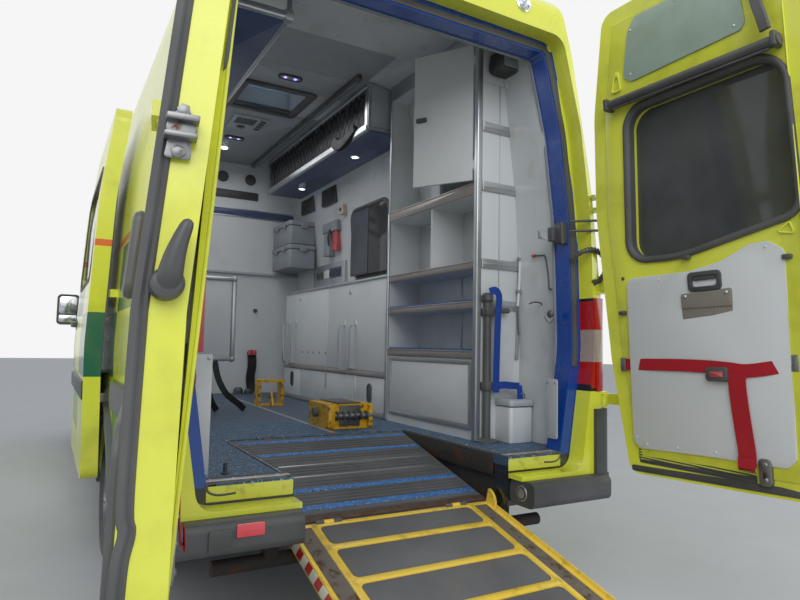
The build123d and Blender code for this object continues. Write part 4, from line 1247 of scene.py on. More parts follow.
@dataclass
class Repeats:
    """Copies of one small mesh at many points, facing their own way."""

    rig: Rig
    name: str
    body: str
    finish: Finish
    spin: float = 1.0

    def tree(self) -> tuple[bpy.types.NodeTree, dict[str, str]]:
        """The node group and the identifiers of its named inputs.

        Returns:
            The group, and the identifier of each input by its name.
        """
        group = bpy.data.node_groups.new("set out copies", "GeometryNodeTree")
        face = group.interface
        face.new_socket("Geometry", in_out="INPUT", socket_type="NodeSocketGeometry")
        names = {"Copy": "NodeSocketObject", "Size": "NodeSocketFloat", "Seed": "NodeSocketInt",
                 "Spin": "NodeSocketFloat", "Finish": "NodeSocketMaterial"}
        keys = {n: face.new_socket(n, in_out="INPUT", socket_type=kind).identifier
                for n, kind in names.items()}
        face.new_socket("Geometry", in_out="OUTPUT", socket_type="NodeSocketGeometry")
        start = add(group, "NodeGroupInput").outputs
        info = add(group, "GeometryNodeObjectInfo", {"Object": start["Copy"]})
        facing = add(group, "GeometryNodeInputNamedAttribute", {"Name": "facing"}, data_type="FLOAT_VECTOR")
        size = add(group, "GeometryNodeInputNamedAttribute", {"Name": "size"}, data_type="FLOAT")
        turn = add(group, "FunctionNodeAlignRotationToVector", {"Vector": facing.outputs[0]}, axis="Z")
        scale = add(group, "ShaderNodeMath", {0: size.outputs[0], 1: start["Size"]}, operation="MULTIPLY")
        spin = add(group, "FunctionNodeRandomValue", {"Seed": start["Seed"]}, data_type="FLOAT")
        spun = add(group, "ShaderNodeMath", {0: spin.outputs[1], 1: start["Spin"]}, operation="MULTIPLY")
        spun = add(group, "ShaderNodeCombineXYZ", {2: spun.outputs[0]})
        as_turn = add(group, "FunctionNodeEulerToRotation", {0: spun.outputs[0]})
        both = add(group, "FunctionNodeRotateRotation", {0: turn.outputs[0], 1: as_turn.outputs[0]},
                   rotation_space="LOCAL")
        inputs = {"Points": start["Geometry"], "Instance": info.outputs["Geometry"],
                  "Rotation": both.outputs[0],
                  "Scale": scale.outputs[0]}
        copies = add(group, "GeometryNodeInstanceOnPoints", inputs)
        real = add(group, "GeometryNodeRealizeInstances", {0: copies.outputs[0]})
        done = add(group, "GeometryNodeSetMaterial",
                   {"Geometry": real.outputs[0], "Material": start["Finish"]})
        add(group, "NodeGroupOutput", {0: done.outputs[0]})
        return group, keys

    def build(self, copy: bpy.types.Object, rows: Sequence[tuple[Vector, Vector, float]]) -> bpy.types.Object:
        """Sets the copies out.

        Args:
            copy: the mesh to repeat, facing +Z.
            rows: place, facing and size of each copy.

        Returns:
            The finished piece.
        """
        points = bpy.data.meshes.new(self.name + "_points")
        points.from_pydata([tuple(p) for p, _, _ in rows], [], [])
        facing = points.attributes.new("facing", "FLOAT_VECTOR", "POINT")
        facing.data.foreach_set("vector", [c for _, way, _ in rows for c in way])
        size = points.attributes.new("size", "FLOAT", "POINT")
        size.data.foreach_set("value", [s for _, _, s in rows])
        holder = bpy.data.objects.new(self.name + "_points", points)
        bpy.context.scene.collection.objects.link(holder)
        modifier = holder.modifiers.new("copies", "NODES")
        modifier.node_group, keys = self.tree()
        modifier[keys["Copy"]] = copy
        modifier[keys["Size"]] = 1.0
        modifier[keys["Seed"]] = 7
        modifier[keys["Spin"]] = self.spin
        modifier[keys["Finish"]] = self.finish.material()
        bpy.context.view_layer.update()
        shown = holder.evaluated_get(bpy.context.evaluated_depsgraph_get())
        mesh = bpy.data.meshes.new_from_object(shown)
        mesh.name = self.name
        bpy.data.objects.remove(holder)
        piece = bpy.data.objects.new(self.name, mesh)
        bpy.context.scene.collection.objects.link(piece)
        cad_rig.ride(piece, self.body)
        self.rig.count += 1
        log.info("piece %s: %d faces", self.name, len(mesh.polygons))
        return piece


@dataclass
class CadFinishes:
    """Finishes of the CAD nodes."""

    rig: Rig

    def build(self) -> None:
        """Dresses every node."""
        dress = self.rig.dress
        dress(YELLOW, "side_left", "side_right", "roof", "cab_shell", "bonnet", "cab_door_right",
              "cab_door_left",
              "sliding_door")
        dress(DOOR_YELLOW, "rear_door_right", "rear_door_left")
        dress(FRAME_BLUE, "rear_frame")
        dress(DARK_PLASTIC, "front_bumper", "mirror_right", "mirror_left", "rear_bumper")
        dress(MOULDING, "side_mouldings")
        dress(CLEAR, "headlamps")
        dress(SCREEN, "cab_glass_right", "cab_glass_left", "fixed_glass")
        dress(GLASS, "rear_glass_right", "rear_glass_left")
        dress(UNDER, "chassis", "wheel_housings")
        dress(CAST, "axles", "knuckle_right", "knuckle_left", "engine_block")
        dress(FLOOR_BLUE, "load_floor")
        dress(CAB_TRIM, "floor_cab", "dashboard")
        dress(RAMP_RUBBER, "ramp_board")
        dress(RAMP_YELLOW, "ramp_outer", "ramp_tip")
        dress(WHITE, "bulkhead", "low_cabinets", "tall_unit", "unit_door")
        dress(SILVER, "overhead_lockers")
        dress(PALE_GREY, "roof_hatch")
        dress(WINCH, "winch")
        dress(SEAT_CLOTH, "cab_seats")
        dress(LAMP_RED, "tail_lamps")
        dress(BEACON, "light_bar")
        for row in ("front", "rear"):
            for side in Side:
                dress(RIM, f"rim_{row}_{side.word}")
                dress(TYRE, f"tyre_{row}_{side.word}")


@dataclass
class Doorway:
    """Seal, edging, lamps and fittings of the frame round the rear doors."""

    rig: Rig
    seal_width: float = 34.0
    seal_inset: float = 24.0
    edging_inset: float = 54.0
    lamp_x: float = 578.0
    lamp_z: float = 2800.0

    def arch(self, amount: float) -> list[Vector]:
        """The doors' outline in one, open at the sill, moved inwards.

        Args:
            amount: how far inwards.

        Returns:
            Points from one foot over the top to the other.
        """
        rows = mirrored([row for row in inset(REAR_DOOR, amount) if row[0] > 300])
        points = rounded(rows)
        start = max(range(len(points)), key=lambda i: points[i].x if points[i].y < 700 else -1e9)
        points = points[start:] + points[:start]
        return [p for p in points if p.y > 690 + amount]

    def build(self) -> None:
        """Builds the frame's fittings."""
        form = Form(RUBBER, lean)
        w = self.seal_width / 2
        section = [(-w, 6.5), (-w, 2.4), (-w + 6, 0.9), (-3, 0.6), (0, 2.6), (3, 0.6), (w - 6, 0.9), (w, 2.4),
                   (w, 6.5)]
        path = [Vector((p.x, 0, p.y)) for p in self.arch(self.seal_inset)]
        form.sweep(path, section, normal=(0, 1, 0))
        self.rig.keep(form, "door_frame_seal", slot="dark_plastic")
        form = Form(GREY, lean)
        path = [Vector((p.x, 0, p.y)) for p in self.arch(self.edging_inset)]
        form.sweep(path, [(-3, 98), (4, 98), (5, 104), (4, 112), (-14, 112), (-14, 106), (-3, 106)],
                   normal=(0, 1, 0))
        self.rig.keep(form, "door_frame_edging", slot="grey_plastic")
        for side in Side:
            self.lamp(side)
            self.corner(side)
        self.stay()

    def lamp(self, side: Side) -> None:
        """Round marker lamp above the doors.

        Args:
            side: which side.
        """
        form = Form(CHROME, lean)
        x = side.value * self.lamp_x
        form.turned((x, BODY_REAR + 2, self.lamp_z), (0, -1, 0.06),
                    [(-6, 40), (0, 44), (6, 43), (9, 38), (6, 33), (3, 0)])
        form.use(CLEAR)
        form.turned((x, BODY_REAR + 2, self.lamp_z), (0, -1, 0.06), [(4, 32), (9, 31), (14, 22), (16, 0)])
        self.rig.keep(form, f"marker_lamp_{side.word}", slot="lamp_glass")

    def corner(self, side: Side) -> None:
        """The seal's end at the foot of the frame.

        Args:
            side: which side.
        """
        s = side.value
        form = Form(RUBBER)
        foot = curve([(s * 800, 11, 704), (s * 794, 12, 676), (s * 760, 12, 662), (s * 700, 12, 664)])
        form.tube(foot, 8)
        self.rig.keep(form, f"seal_end_{side.word}", slot="dark_plastic")

    def stay(self) -> None:
        """Latch, knob and wire on the right pillar."""
        form = Form(BLACK, lean)
        form.block(848, 890, 14, 62, 1690, 1790, 4)
        form.block(815, 850, 44, 76, 1700, 1770, 6)
        form.rod((860, 20, 1796), (860, 20, 1684), 8)
        form.use(CLEAR)
        form.block(770, 826, 84, 96, 1712, 1756, 5)
        self.rig.keep(form, "pillar_latch_right", slot="dark_plastic")
        form = Form(BLACK)
        form.turned((832, 96, 1345), (-1, 0, 0), [(0, 10), (4, 18), (12, 20), (20, 14), (22, 0)])
        self.rig.keep(form, "pillar_knob", slot="dark_plastic")
        form = Form(STEEL)
        form.tube(curve([(835, 90, 1320), (800, 80, 1300), (770, 80, 1330), (780, 84, 1352)]), 2.5)
        self.rig.keep(form, "pillar_wire", slot="cast_parts")


@dataclass
class RearDoor:
    """Trim of one rear door, modelled closed."""

    rig: Rig
    screws: Screws
    side: Side

    panel: tuple[Row, ...] = (
        (144, 1153, 30), (150, 785, 25), (180, 752, 30), (483, 757, 300), (772, 753, 40), (806, 780, 30),
        (796, 1471, 30), (766, 1489, 20), (503, 1490, 10), (370, 1513, 40), (259, 1563, 30), (193, 1567, 30),
        (139, 1528, 30),
    )
    upper: tuple[Row, ...] = (
        (200, 2385, 25), (216, 2359, 20), (690, 2340, 25), (729, 2369, 25), (690, 2560, 60), (650, 2610, 25),
        (220, 2610, 30),
    )

    @property
    def body(self) -> str:
        """The CAD body of this door."""
        return f"rear_door_{self.side.word}"

    def rows(self, rows: Sequence[Row]) -> list[Row]:
        """An outline on this door's side, kept anticlockwise.

        Args:
            rows: the outline on a right door.

        Returns:
            The outline on this one.
        """
        if self.side is Side.RIGHT:
            return list(rows)
        return [(-a, b, r) for a, b, r in reversed(rows)]

    def x(self, value: float) -> float:
        """A distance from the middle, on this door's side."""
        return value * self.side.value

    def span(self, x0: float, x1: float) -> tuple[float, float]:
        """Low and high X of a stretch, on this door's side."""
        a, b = sorted((self.x(x0), self.x(x1)))
        return a, b

    def start(self, finish: Finish) -> Form:
        """A form on the leaning door."""
        return Form(finish, lean)

    def keep(self, form: Form, name: str, slot: str) -> bpy.types.Object:
        """Finishes a piece of this door."""
        return self.rig.keep(form, f"{name}_{self.side.word}", self.body, slot, f"{self.body}_hinge")

    def heads(self, spots: Sequence[tuple[float, float]], y: float, size: float, finish: Finish) -> None:
        """Screw heads on the inner face at (x, z) points."""
        where = [(self.x(a), y, b) for a, b in spots]
        self.screws.add(where, (0, 1, 0), size, finish, self.body, f"{self.body}_hinge", lean)

    def build(self) -> None:
        """Builds all trim of the door."""
        self.pan()
        self.lower_panel()
        self.pull()
        self.pocket()
        self.straps()
        self.bars()
        self.window()
        self.upper_panel()
        self.latch()
        self.edge_seal()
        if self.side is Side.LEFT:
            self.left_only()
        self.outside()

    def pan(self) -> None:
        """The raised inner pressing, set back from the flange all round."""
        form = self.start(DOOR_YELLOW)
        window = inset(REAR_PANE, -16)
        form.plate("y", self.rows(inset(REAR_DOOR, 64)), -3, 4.6, 4, [self.rows(window)])
        self.keep(form, "door_pan", "body_paint")

    def lower_panel(self) -> None:
        """White lining panel with its screws."""
        form = self.start(WHITE)
        form.plate("y", self.rows(self.panel), 4, 15, 2)
        self.keep(form, "door_panel", "white_panel")
        spots = [(163, z) for z in (830, 1000, 1130)] + [(786, z) for z in (800, 960, 1180, 1330, 1450)]
        spots += [(170, 1250), (165, 1400), (200, 1545), (300, 772), (440, 777), (600, 775), (740, 772),
                  (640, 1470)]
        self.heads(spots, 15, 4.5, WHITE)
        self.heads([(819, 1493)], 4.6, 7, BLACK)

    def pull(self) -> None:
        """Recessed pocket handle."""
        form = self.start(BLACK)
        outer = oblong(369, 506, 1405, 1483, 18)
        inner = oblong(388, 487, 1424, 1464, 12)
        form.plate("y", self.rows(outer), 13, 26, 4, [self.rows(inner)])
        form.plate("y", self.rows(inset(outer, 6)), 12, 16, 1)
        x0, x1 = self.span(392, 483)
        form.block(x0, x1, 16, 24, 1448, 1462, 3)
        self.keep(form, "door_pull", "dark_plastic")

    def pocket(self) -> None:
        """Carpet flap on the panel."""
        form = self.start(CARPET)
        flap = [(332, 1275, 8), (542, 1275, 8), (542, 1400, 10), (332, 1409, 10)]
        form.plate("y", self.rows(flap), 14, 22, 3)
        form.plate("y", self.rows([(336, 1340, 4), (538, 1340, 4), (538, 1398, 8), (336, 1406, 8)]), 20, 27,
                   3)
        self.keep(form, "door_pocket", "grey_plastic")
        self.heads([(352, 1392), (520, 1388)], 27, 6, SILVER)

    def straps(self) -> None:
        """Red webbing across the panel with its buckle, and its hanging tail."""
        form = self.start(RED_WEB)
        run = [(self.x(a), y, z) for a, y, z in (
            (842, 14, 1112), (700, 26, 1113), (560, 29, 1112), (450, 30, 1108), (363, 30, 1101),
            (300, 27, 1094),
            (210, 24, 1106), (134, 14, 1124))]
        form.ribbon(curve(run), 50, 3.0, (0, 1, 0))
        tail = [(self.x(a), y, z) for a, y, z in (
            (331, 33, 1090), (333, 33, 1040), (330, 28, 960), (322, 24, 860), (314, 26, 790), (313, 32, 742))]
        form.ribbon(curve(tail), 66, 3.0, (0, 1, 0))
        form.ribbon(curve([(self.x(a), y, z)
                           for a, y, z in ((313, 32, 742), (312, 40, 736), (313, 37, 775))]),
                    62, 3.0, (0, 1, 0))
        self.keep(form, "door_strap", "lamp_red")
        form = self.start(BLACK)
        rows = [(363, 1050, 14), (450, 1052, 14), (450, 1106, 14), (363, 1108, 14)]
        form.plate("y", self.rows(rows), 26, 44, 5)
        form.use(RED_PLASTIC)
        form.plate("y", self.rows(inset(rows, 17)), 40, 47, 3)
        form.use(STEEL)
        for a, z in ((842, 1112), (134, 1124)):
            x0, x1 = self.span(a - 12, a + 12)
            form.block(x0, x1, 8, 20, z - 30, z + 30, 3)
        self.keep(form, "door_buckle", "dark_plastic")

    def bars(self) -> None:
        """Ribbed black bars below the panel, and the silver striker."""
        form = self.start(BLACK)
        for ribs in range(4):
            drop = 11.0 * ribs
            run = [(self.x(789), 2.2, 746 - drop), (self.x(295), 2.2, 719 - drop)]
            form.ribbon([Vector(p) for p in run], 8, 5.6, (0, 1, 0))
        form.plate("y", self.rows([(295, 678, 8), (789, 690, 8), (789, 758, 8), (295, 728, 8)]), -1, 2.4, 1)
        form.plate("y", self.rows([(120, 652, 10), (830, 650, 10), (830, 676, 8), (215, 682, 8),
                                   (120, 672, 8)]), -1, 2.4, 1)
        self.keep(form, "door_bars", "dark_plastic")
        form = self.start(STEEL)
        form.plate("y", self.rows(oblong(234, 280, 678, 777, 16)), -1, 20, 3)
        self.keep(form, "door_striker", "cast_parts")
        self.heads([(257, 700), (257, 755)], 20, 9, STEEL)
        form = self.start(BLACK)
        for a, z in ((130, 1500), (508, 1547), (829, 1340)):
            x0, x1 = self.span(a - 16, a + 16)
            form.block(x0, x1, 4, 24, z - 9, z + 9, 4)
        self.keep(form, "door_catches", "dark_plastic")

    def window(self) -> None:
        """Gasket and roller blind of the window."""
        form = self.start(RUBBER)
        path = [Vector((p.x, 0, p.y)) for p in rounded(self.rows(inset(REAR_PANE, -5)))]
        section = [(-15, 8), (-13, 14), (-4, 18), (4, 16), (14, 4), (14, -30), (4, -30), (2, 8)]
        form.sweep(path, section, True, (0, 1, 0))
        self.keep(form, "window_gasket", "dark_plastic")
        form = self.start(BLACK)
        form.rod((self.x(812), 34, 2262), (self.x(76), 34, 2259), 21)
        for a in (800, 92):
            x0, x1 = self.span(a - 10, a + 10)
            form.block(x0, x1, 4, 60, 2236, 2290, 6)
        form.rod((self.x(770), 44, 2238), (self.x(110), 44, 2234), 5)
        self.keep(form, "roller_blind", "dark_plastic")

    def upper_panel(self) -> None:
        """Bare panel above the blind."""
        form = self.start(GREEN_GREY)
        form.plate("y", self.rows(self.upper), 4, 13, 1.5)
        self.keep(form, "door_top_panel", "white_panel")
        self.heads([(690, 2372), (675, 2560), (240, 2385), (250, 2590), (460, 2590)], 13, 4.5, SILVER)
        form = self.start(DOOR_YELLOW)
        rows = [(742, 2318, 14), (800, 2318, 14), (756, 2470, 18)]
        form.plate("y", self.rows(rows), 4, 14, 4, [self.rows(inset(rows, 9))])
        rows = [(96, 1575, 10), (170, 1590, 10), (112, 1630, 10)]
        form.plate("y", self.rows(rows), 4, 13, 4, [self.rows(inset(rows, 8))])
        self.keep(form, "door_pressings", "body_paint")

    def latch(self) -> None:
        """Cast latch with its lever near the free edge, and its rod."""
        form = self.start(BLACK)
        rows = [(92, 2470, 16), (150, 2440, 16), (176, 2520, 20), (165, 2606, 16), (100, 2612, 16)]
        form.plate("y", self.rows(rows), 4, 34, 6)
        lever = [(self.x(a), y, z)
                 for a, y, z in ((150, 40, 2500), (138, 52, 2420), (120, 60, 2350), (112, 58, 2300))]
        form.sweep(curve(lever), [(-16, -8), (16, -8), (20, 0), (14, 9), (-14, 9), (-20, 0)],
                   normal=(0, 1, 0))
        form.turned((self.x(150), 30, 2505), (0, 1, 0), [(0, 22), (12, 22), (16, 18), (17, 0)])
        self.keep(form, "door_latch", "dark_plastic")

    def edge_seal(self) -> None:
        """Double-lipped seal down the left door's free edge, jogging with the pressing."""
        form = self.start(RUBBER)
        run = [(self.x(3), y, z) for y, z in ((-70, 2660), (-66, 2300), (-56, 1900), (-70, 1830), (-72, 1200),
                                             (-72, 900), (-66, 845), (-74, 790), (-76, 660))]
        if self.side is Side.LEFT:
            path = curve(run)
            form.sweep(path, [(-14, -4), (-8, 6), (-2, 2), (4, 6.5), (13, 6), (16, -2), (8, -8), (-8, -8)],
                       normal=(1, 0, 0))
            self.keep(form, "free_edge_seal", "dark_plastic")

    def left_only(self) -> None:
        """Striker casting and horn-shaped pull on the left door's free edge."""
        form = self.start(STEEL)
        rows = [(-72, 1460, 6), (-28, 1460, 6), (-34, 1540, 10), (-50, 1555, 8), (-66, 1540, 10)]
        form.plate("x", rows, 3, 9, 2)
        form.turned((4, -50, 1515), (1, 0, 0), [(0, 26), (10, 24), (12, 0)])
        form.block(2, 30, -76, -22, 1522, 1534, 3)
        form.block(2, 30, -76, -22, 1492, 1502, 3)
        for z in (1472, 1545):
            form.turned((6, -50, z), (1, 0, 0), [(0, 13), (7, 12), (9, 8), (9, 0)], around=6)
        self.keep(form, "edge_striker", "cast_parts")
        form = self.start(BLACK)
        horn = [(14, -36, 1250), (24, -35, 1262), (30, -32, 1290), (34, -27, 1316), (36, -20, 1342)]
        path = curve(horn)
        form.turned((3, -38, 1245), (1, 0, 0), [(0, 27), (12, 29), (24, 24), (28, 12), (28, 0)])
        self.taper(form, path, 24, 11)
        self.keep(form, "horn_pull", "dark_plastic")

    def taper(self, form: Form, path: Sequence[Vector], first: float, last: float) -> None:
        """Adds a round limb that narrows along a path and ends in a dome.

        Args:
            form: where it is added.
            path: its middle line.
            first: its radius at the start.
            last: its radius before the dome.
        """
        rings = []
        count = len(path) - 1
        for i, p in enumerate(path):
            along = (path[min(i + 1, count)] - path[max(i - 1, 0)]).normalized()
            side = along.cross(Vector((0, 1, 0))).normalized()
            up = side.cross(along)
            radius = first + (last - first) * i / count
            rings.append((p, along, side, up, radius))
        p, along, side, up, radius = rings[-1]
        rings += [(p + along * radius * 0.6, along, side, up, radius * 0.8),
                  (p + along * radius * 0.95, along, side, up, radius * 0.35)]
        form.skin([[form.mesh.verts.new(p + (side * math.cos(a) + up * math.sin(a)) * radius)
                    for a in (2 * math.pi * k / 20
                              for k in range(20))] for p, along, side, up, radius in rings])
        form.mesh.verts.ensure_lookup_table()
        form.face([form.mesh.verts[i] for i in range(len(form.mesh.verts) - 20, len(form.mesh.verts))])

    def outside(self) -> None:
        """Handle, reflective stripe and lower moulding on the outer skin."""
        form = self.start(DARK_PLASTIC)
        y = BODY_REAR
        foot = [(24, 655, 30), (836, 655, 50), (905, 1010, 90), (700, 1060, 200), (24, 1010, 60)]
        form.plate("y", self.rows(foot), y - 16, y + 3, 9)
        self.keep(form, "door_moulding", "dark_plastic")
        form = self.start(ORANGE)
        form.plate("y", self.rows(oblong(30, 70, 1095, 2380, 4)), y - 1.5, y + 1, 0.5)
        form.plate("y", self.rows([(70, 1095, 4), (860, 1095, 4), (866, 1135, 4), (70, 1135, 4)]), y - 1.5,
                   y + 1, 0.5)
        self.keep(form, "door_stripe", "body_paint")
        form = self.start(BLACK)
        rows = [(60, 1225, 26), (118, 1225, 26), (112, 1385, 26), (66, 1385, 26)]
        form.plate("y", self.rows(rows), y - 24, y + 2, 12)
        self.keep(form, "door_handle", "dark_plastic")


@dataclass
class Ramp:
    """Surfaces of the loading ramp, modelled level."""

    rig: Rig
    screws: Screws
    half: float = 474.0
    outer_half: float = 462.0
    outer_end: float = -878.0
    tip_end: float = -1784.0
    bar_pitch: float = 209.0
    first_bar: float = -72.0

    def build(self) -> None:
        """Builds board, outer board and tip."""
        self.board()
        self.frame("ramp_outer", 88.0, self.outer_end + 8,
                   [self.first_bar - self.bar_pitch * k for k in range(4)])
        self.frame("ramp_tip", self.outer_end - 12, self.tip_end + 30, [-1088.0, -1298.0, -1508.0, -1700.0])

    def board(self) -> None:
        """Rubber surface with flecked bands and ribs."""
        form = Form(RAMP_RUBBER)
        top = FLOOR
        form.block(-self.half, self.half, 108, 905, top, top + 2.5, 1)
        form.use(BAND_BLUE)
        for y, wide in ((868, 26), (720, 30), (356, 34), (209, 40)):
            form.block(-self.half + 6, self.half - 6, y - wide / 2, y + wide / 2, top + 2, top + 4.5, 1)
        form.use(SILVER)
        for y in (590, 478):
            form.block(-self.half + 6, self.half - 6, y - 5, y + 5, top + 2, top + 4.5, 1)
        form.use(RUBBER)
        for k in range(28):
            y = 130 + 27.0 * k
            if all(abs(y - b) > 26 for b in (868, 720, 356, 209, 590, 478)):
                form.block(-self.half + 20, self.half - 20, y - 4, y + 4, top + 2, top + 4, 1)
        self.rig.keep(form, "ramp_surface", "ramp_board", "ramp_grey", "ramp_floor_hinge")
        form = Form(RUSTY)
        form.block(-self.half, self.half, 104, 146, top + 2, top + 6, 2)
        form.block(-self.half - 3, -self.half + 8, 122, 905, top - 20, top + 1, 0.5)
        form.block(self.half - 8, self.half + 3, 122, 905, top - 20, top + 1, 0.5)
        self.rig.keep(form, "ramp_board_edges", "ramp_board", "ramp_grey", "ramp_floor_hinge")

    def frame(self, body: str, y1: float, y0: float, bars: Sequence[float]) -> None:
        """Builds rails, cross bars, channels and grit panels of one folding board.

        Args:
            body: the board's CAD body.
            y1: its end nearest the vehicle.
            y0: its far end.
            bars: where its cross bars lie.
        """
        top, half = FLOOR, self.outer_half
        inner = half - 82.0
        lines = [y1, *bars, y0]
        form = Form(RAMP_YELLOW)
        for s in (-1, 1):
            if body == "ramp_outer":
                a, b = stretch(s, half + 4, half + 10)
                form.block(a, b, y0, y1, top - 46, top + 18, 3)
                a, b = stretch(s, half - 12, half + 5)
                form.block(a, b, y0, y1, top - 40, top + 3, 1.5)
            else:
                a, b = stretch(s, half - 14, half - 0.6)
                rows = [(y0, top - 12, 6), (y0 + 250, top - 46, 20), (y1, top - 46, 4), (y1, top + 3.2, 1),
                        (y0, top + 3.2, 1)]
                form.plate("x", rows, a, b, 1.5)
            a, b = stretch(s, inner, inner - 24)
            form.block(a, b, y0, y1, top, top + 3.2, 1.5)
        for y in bars:
            form.block(-inner, inner, y - 15, y + 15, top, top + 3, 1.5)
        form.block(-half, half, y1 - 16, y1 - 2, top, top + 3, 1.5)
        self.rig.keep(form, f"{body}_frame", body, "ramp_yellow", "ramp_floor_hinge")
        form = Form(GRIT)
        for a, b in zip(lines, lines[1:]):
            low, high = b + 19, a - 19
            rows = oblong(-inner + 30, inner - 30, low, high, 22)
            form.plate("z", rows, top, top + 1.8, 0.6)
        form.use(CHANNEL)
        for s in (-1, 1):
            a, b = stretch(s, half - 16, inner + 2)
            form.block(a, b, y0 + 4, y1 - 4, top, top + 1.5, 0.6)
        self.rig.keep(form, f"{body}_panels", body, "ramp_grey", "ramp_floor_hinge")
        form = Form(TAPE)
        for s in (-1, 1):
            edge, over = (half + 9, 8) if body == "ramp_outer" else (half - 0.4, 2)
            a, b = stretch(s, edge, edge + 2.2)
            start = y0 + (270 if body == "ramp_tip" else 20)
            form.block(a, b, start, y1 - 20, top - 38, top + over, 0.6)
        self.rig.keep(form, f"{body}_tape", body, "ramp_yellow", "ramp_floor_hinge")
        heads = [(s * (inner - 12), y, top + 2.4) for s in (-1, 1) for y in bars]
        self.screws.add(heads, (0, 0, 1), 2.4, STEEL, body, "ramp_floor_hinge")
        heads = [(s * (half - 48), y0 + (y1 - y0) * (k + 0.5) / 5, top + 0.6) for s in (-1, 1)
                 for k in range(5)]
        self.screws.add(heads, (0, 0, 1), 5, RUSTY, body, "ramp_floor_hinge")


@dataclass
class LowCabinets:
    """Fronts, rails, locks and handles of the low cabinets on the right."""

    rig: Rig
    face: float = 635.0

    def build(self) -> None:
        """Builds every piece of the cabinet fronts."""
        face = self.face
        form = Form(GREY)
        form.block(face - 1, face + 0.4, 1407, 3368, 702, 1634, 0.4)
        self.rig.keep(form, "cabinet_backing", slot="grey_plastic")
        form = Form(WHITE)
        form.plate("x", oblong(1412, 2374, 1003, 1626, 6), face - 6, face - 1)
        form.plate("x", oblong(2382, 3362, 1003, 1626, 6), face - 6, face - 1)
        form.plate("x", oblong(1412, 1852, 735, 962, 6), face - 6, face - 1)
        form.plate("x", oblong(1860, 2945, 735, 962, 6), face - 6, face - 1)
        form.plate("x", oblong(2953, 3362, 735, 962, 6), face - 6, face - 1)
        self.rig.keep(form, "cabinet_panels", slot="white_panel")
        form = Form(PINK_SILVER)
        form.block(face - 12, face - 1, 1407, 3368, 965, 1000, 3)
        form.block(face - 12, face - 1, 1407, 3368, 702, 733, 3)
        form.use(SILVER)
        form.block(face - 16, face + 4, 1405, 3370, 1626, 1645, 6)
        form.block(face - 10, face - 1, 2374, 2382, 1000, 1626, 2)
        form.block(face - 10, face - 1, 1852, 1860, 733, 965, 2)
        self.rig.keep(form, "cabinet_rails", slot="locker_aluminium")
        form = Form(BLACK)
        for y, z in ((1629, 854), (3150, 870)):
            form.plate("x", self.hole(y, z, 36, 66), face - 12, face - 5, 3, [self.hole(y, z, 27, 57)])
            form.plate("x", self.hole(y, z, 30, 60), face - 6.5, face - 5.5, 0.3)
        form.plate("x", self.hole(2389, 894, 13, 58), face - 8, face - 5, 1, [self.hole(2389, 894, 9, 53)])
        for k in range(5):
            form.turned((face - 6, 2410 + 127.5 * k, 1110), (-1, 0, 0),
                        [(-1, 10), (1, 10), (1.5, 7), (0.5, 6), (0.5, 0)])
        self.rig.keep(form, "cabinet_vents", slot="dark_plastic")
        form = Form(CHROME)
        for y, z in ((1967, 1566), (2980, 1570)):
            form.turned((face - 6, y, z), (-1, 0, 0),
                        [(0, 16), (4, 16), (6, 12), (12, 11), (13, 8), (10, 2), (10, 0)])
        self.rig.keep(form, "cabinet_locks", slot="cast_parts")
        for name, y0, y1, top in (("rear", 1870, 2060, 1310), ("front", 3090, 3280, 1350)):
            self.handle(name, y0, y1, top)

    def hole(self, y: float, z: float, half: float, high: float) -> list[Row]:
        """An upright slot with round ends."""
        return oblong(y - half, y + half, z - high, z + high, half - 0.5)

    def handle(self, name: str, y0: float, y1: float, top: float) -> None:
        """Grab rail of flat bar: two legs joined at the foot, standing off the panel.

        Args:
            name: the piece's name.
            y0: its rear leg.
            y1: its front leg.
            top: height of its upper ends.
        """
        x, out = self.face - 5, self.face - 54
        form = Form(CHROME)
        path = [(x, y0, top + 14), (out + 8, y0, top), (out, y0, top - 30), (out, y0, 1070),
                (out, y0 + 12, 1030),
                (out, y0 + 50, 1010), (out, y1 - 50, 1010), (out, y1 - 12, 1030), (out, y1, 1070),
                (out, y1, top - 30),
                (out + 8, y1, top), (x, y1, top + 14)]
        form.ribbon(curve(path, 5), 24, 6, (-1, 0, 0.02))
        for y in (y0, y1):
            form.plate("x", self.hole(y, top + 24, 14, 24), x - 3, x, 1)
        for y in (y0 + 55, y1 - 55):
            form.rod((out, y, 1010), (x, y, 1010), 7)
        self.rig.keep(form, f"cabinet_handle_{name}", slot="cast_parts")


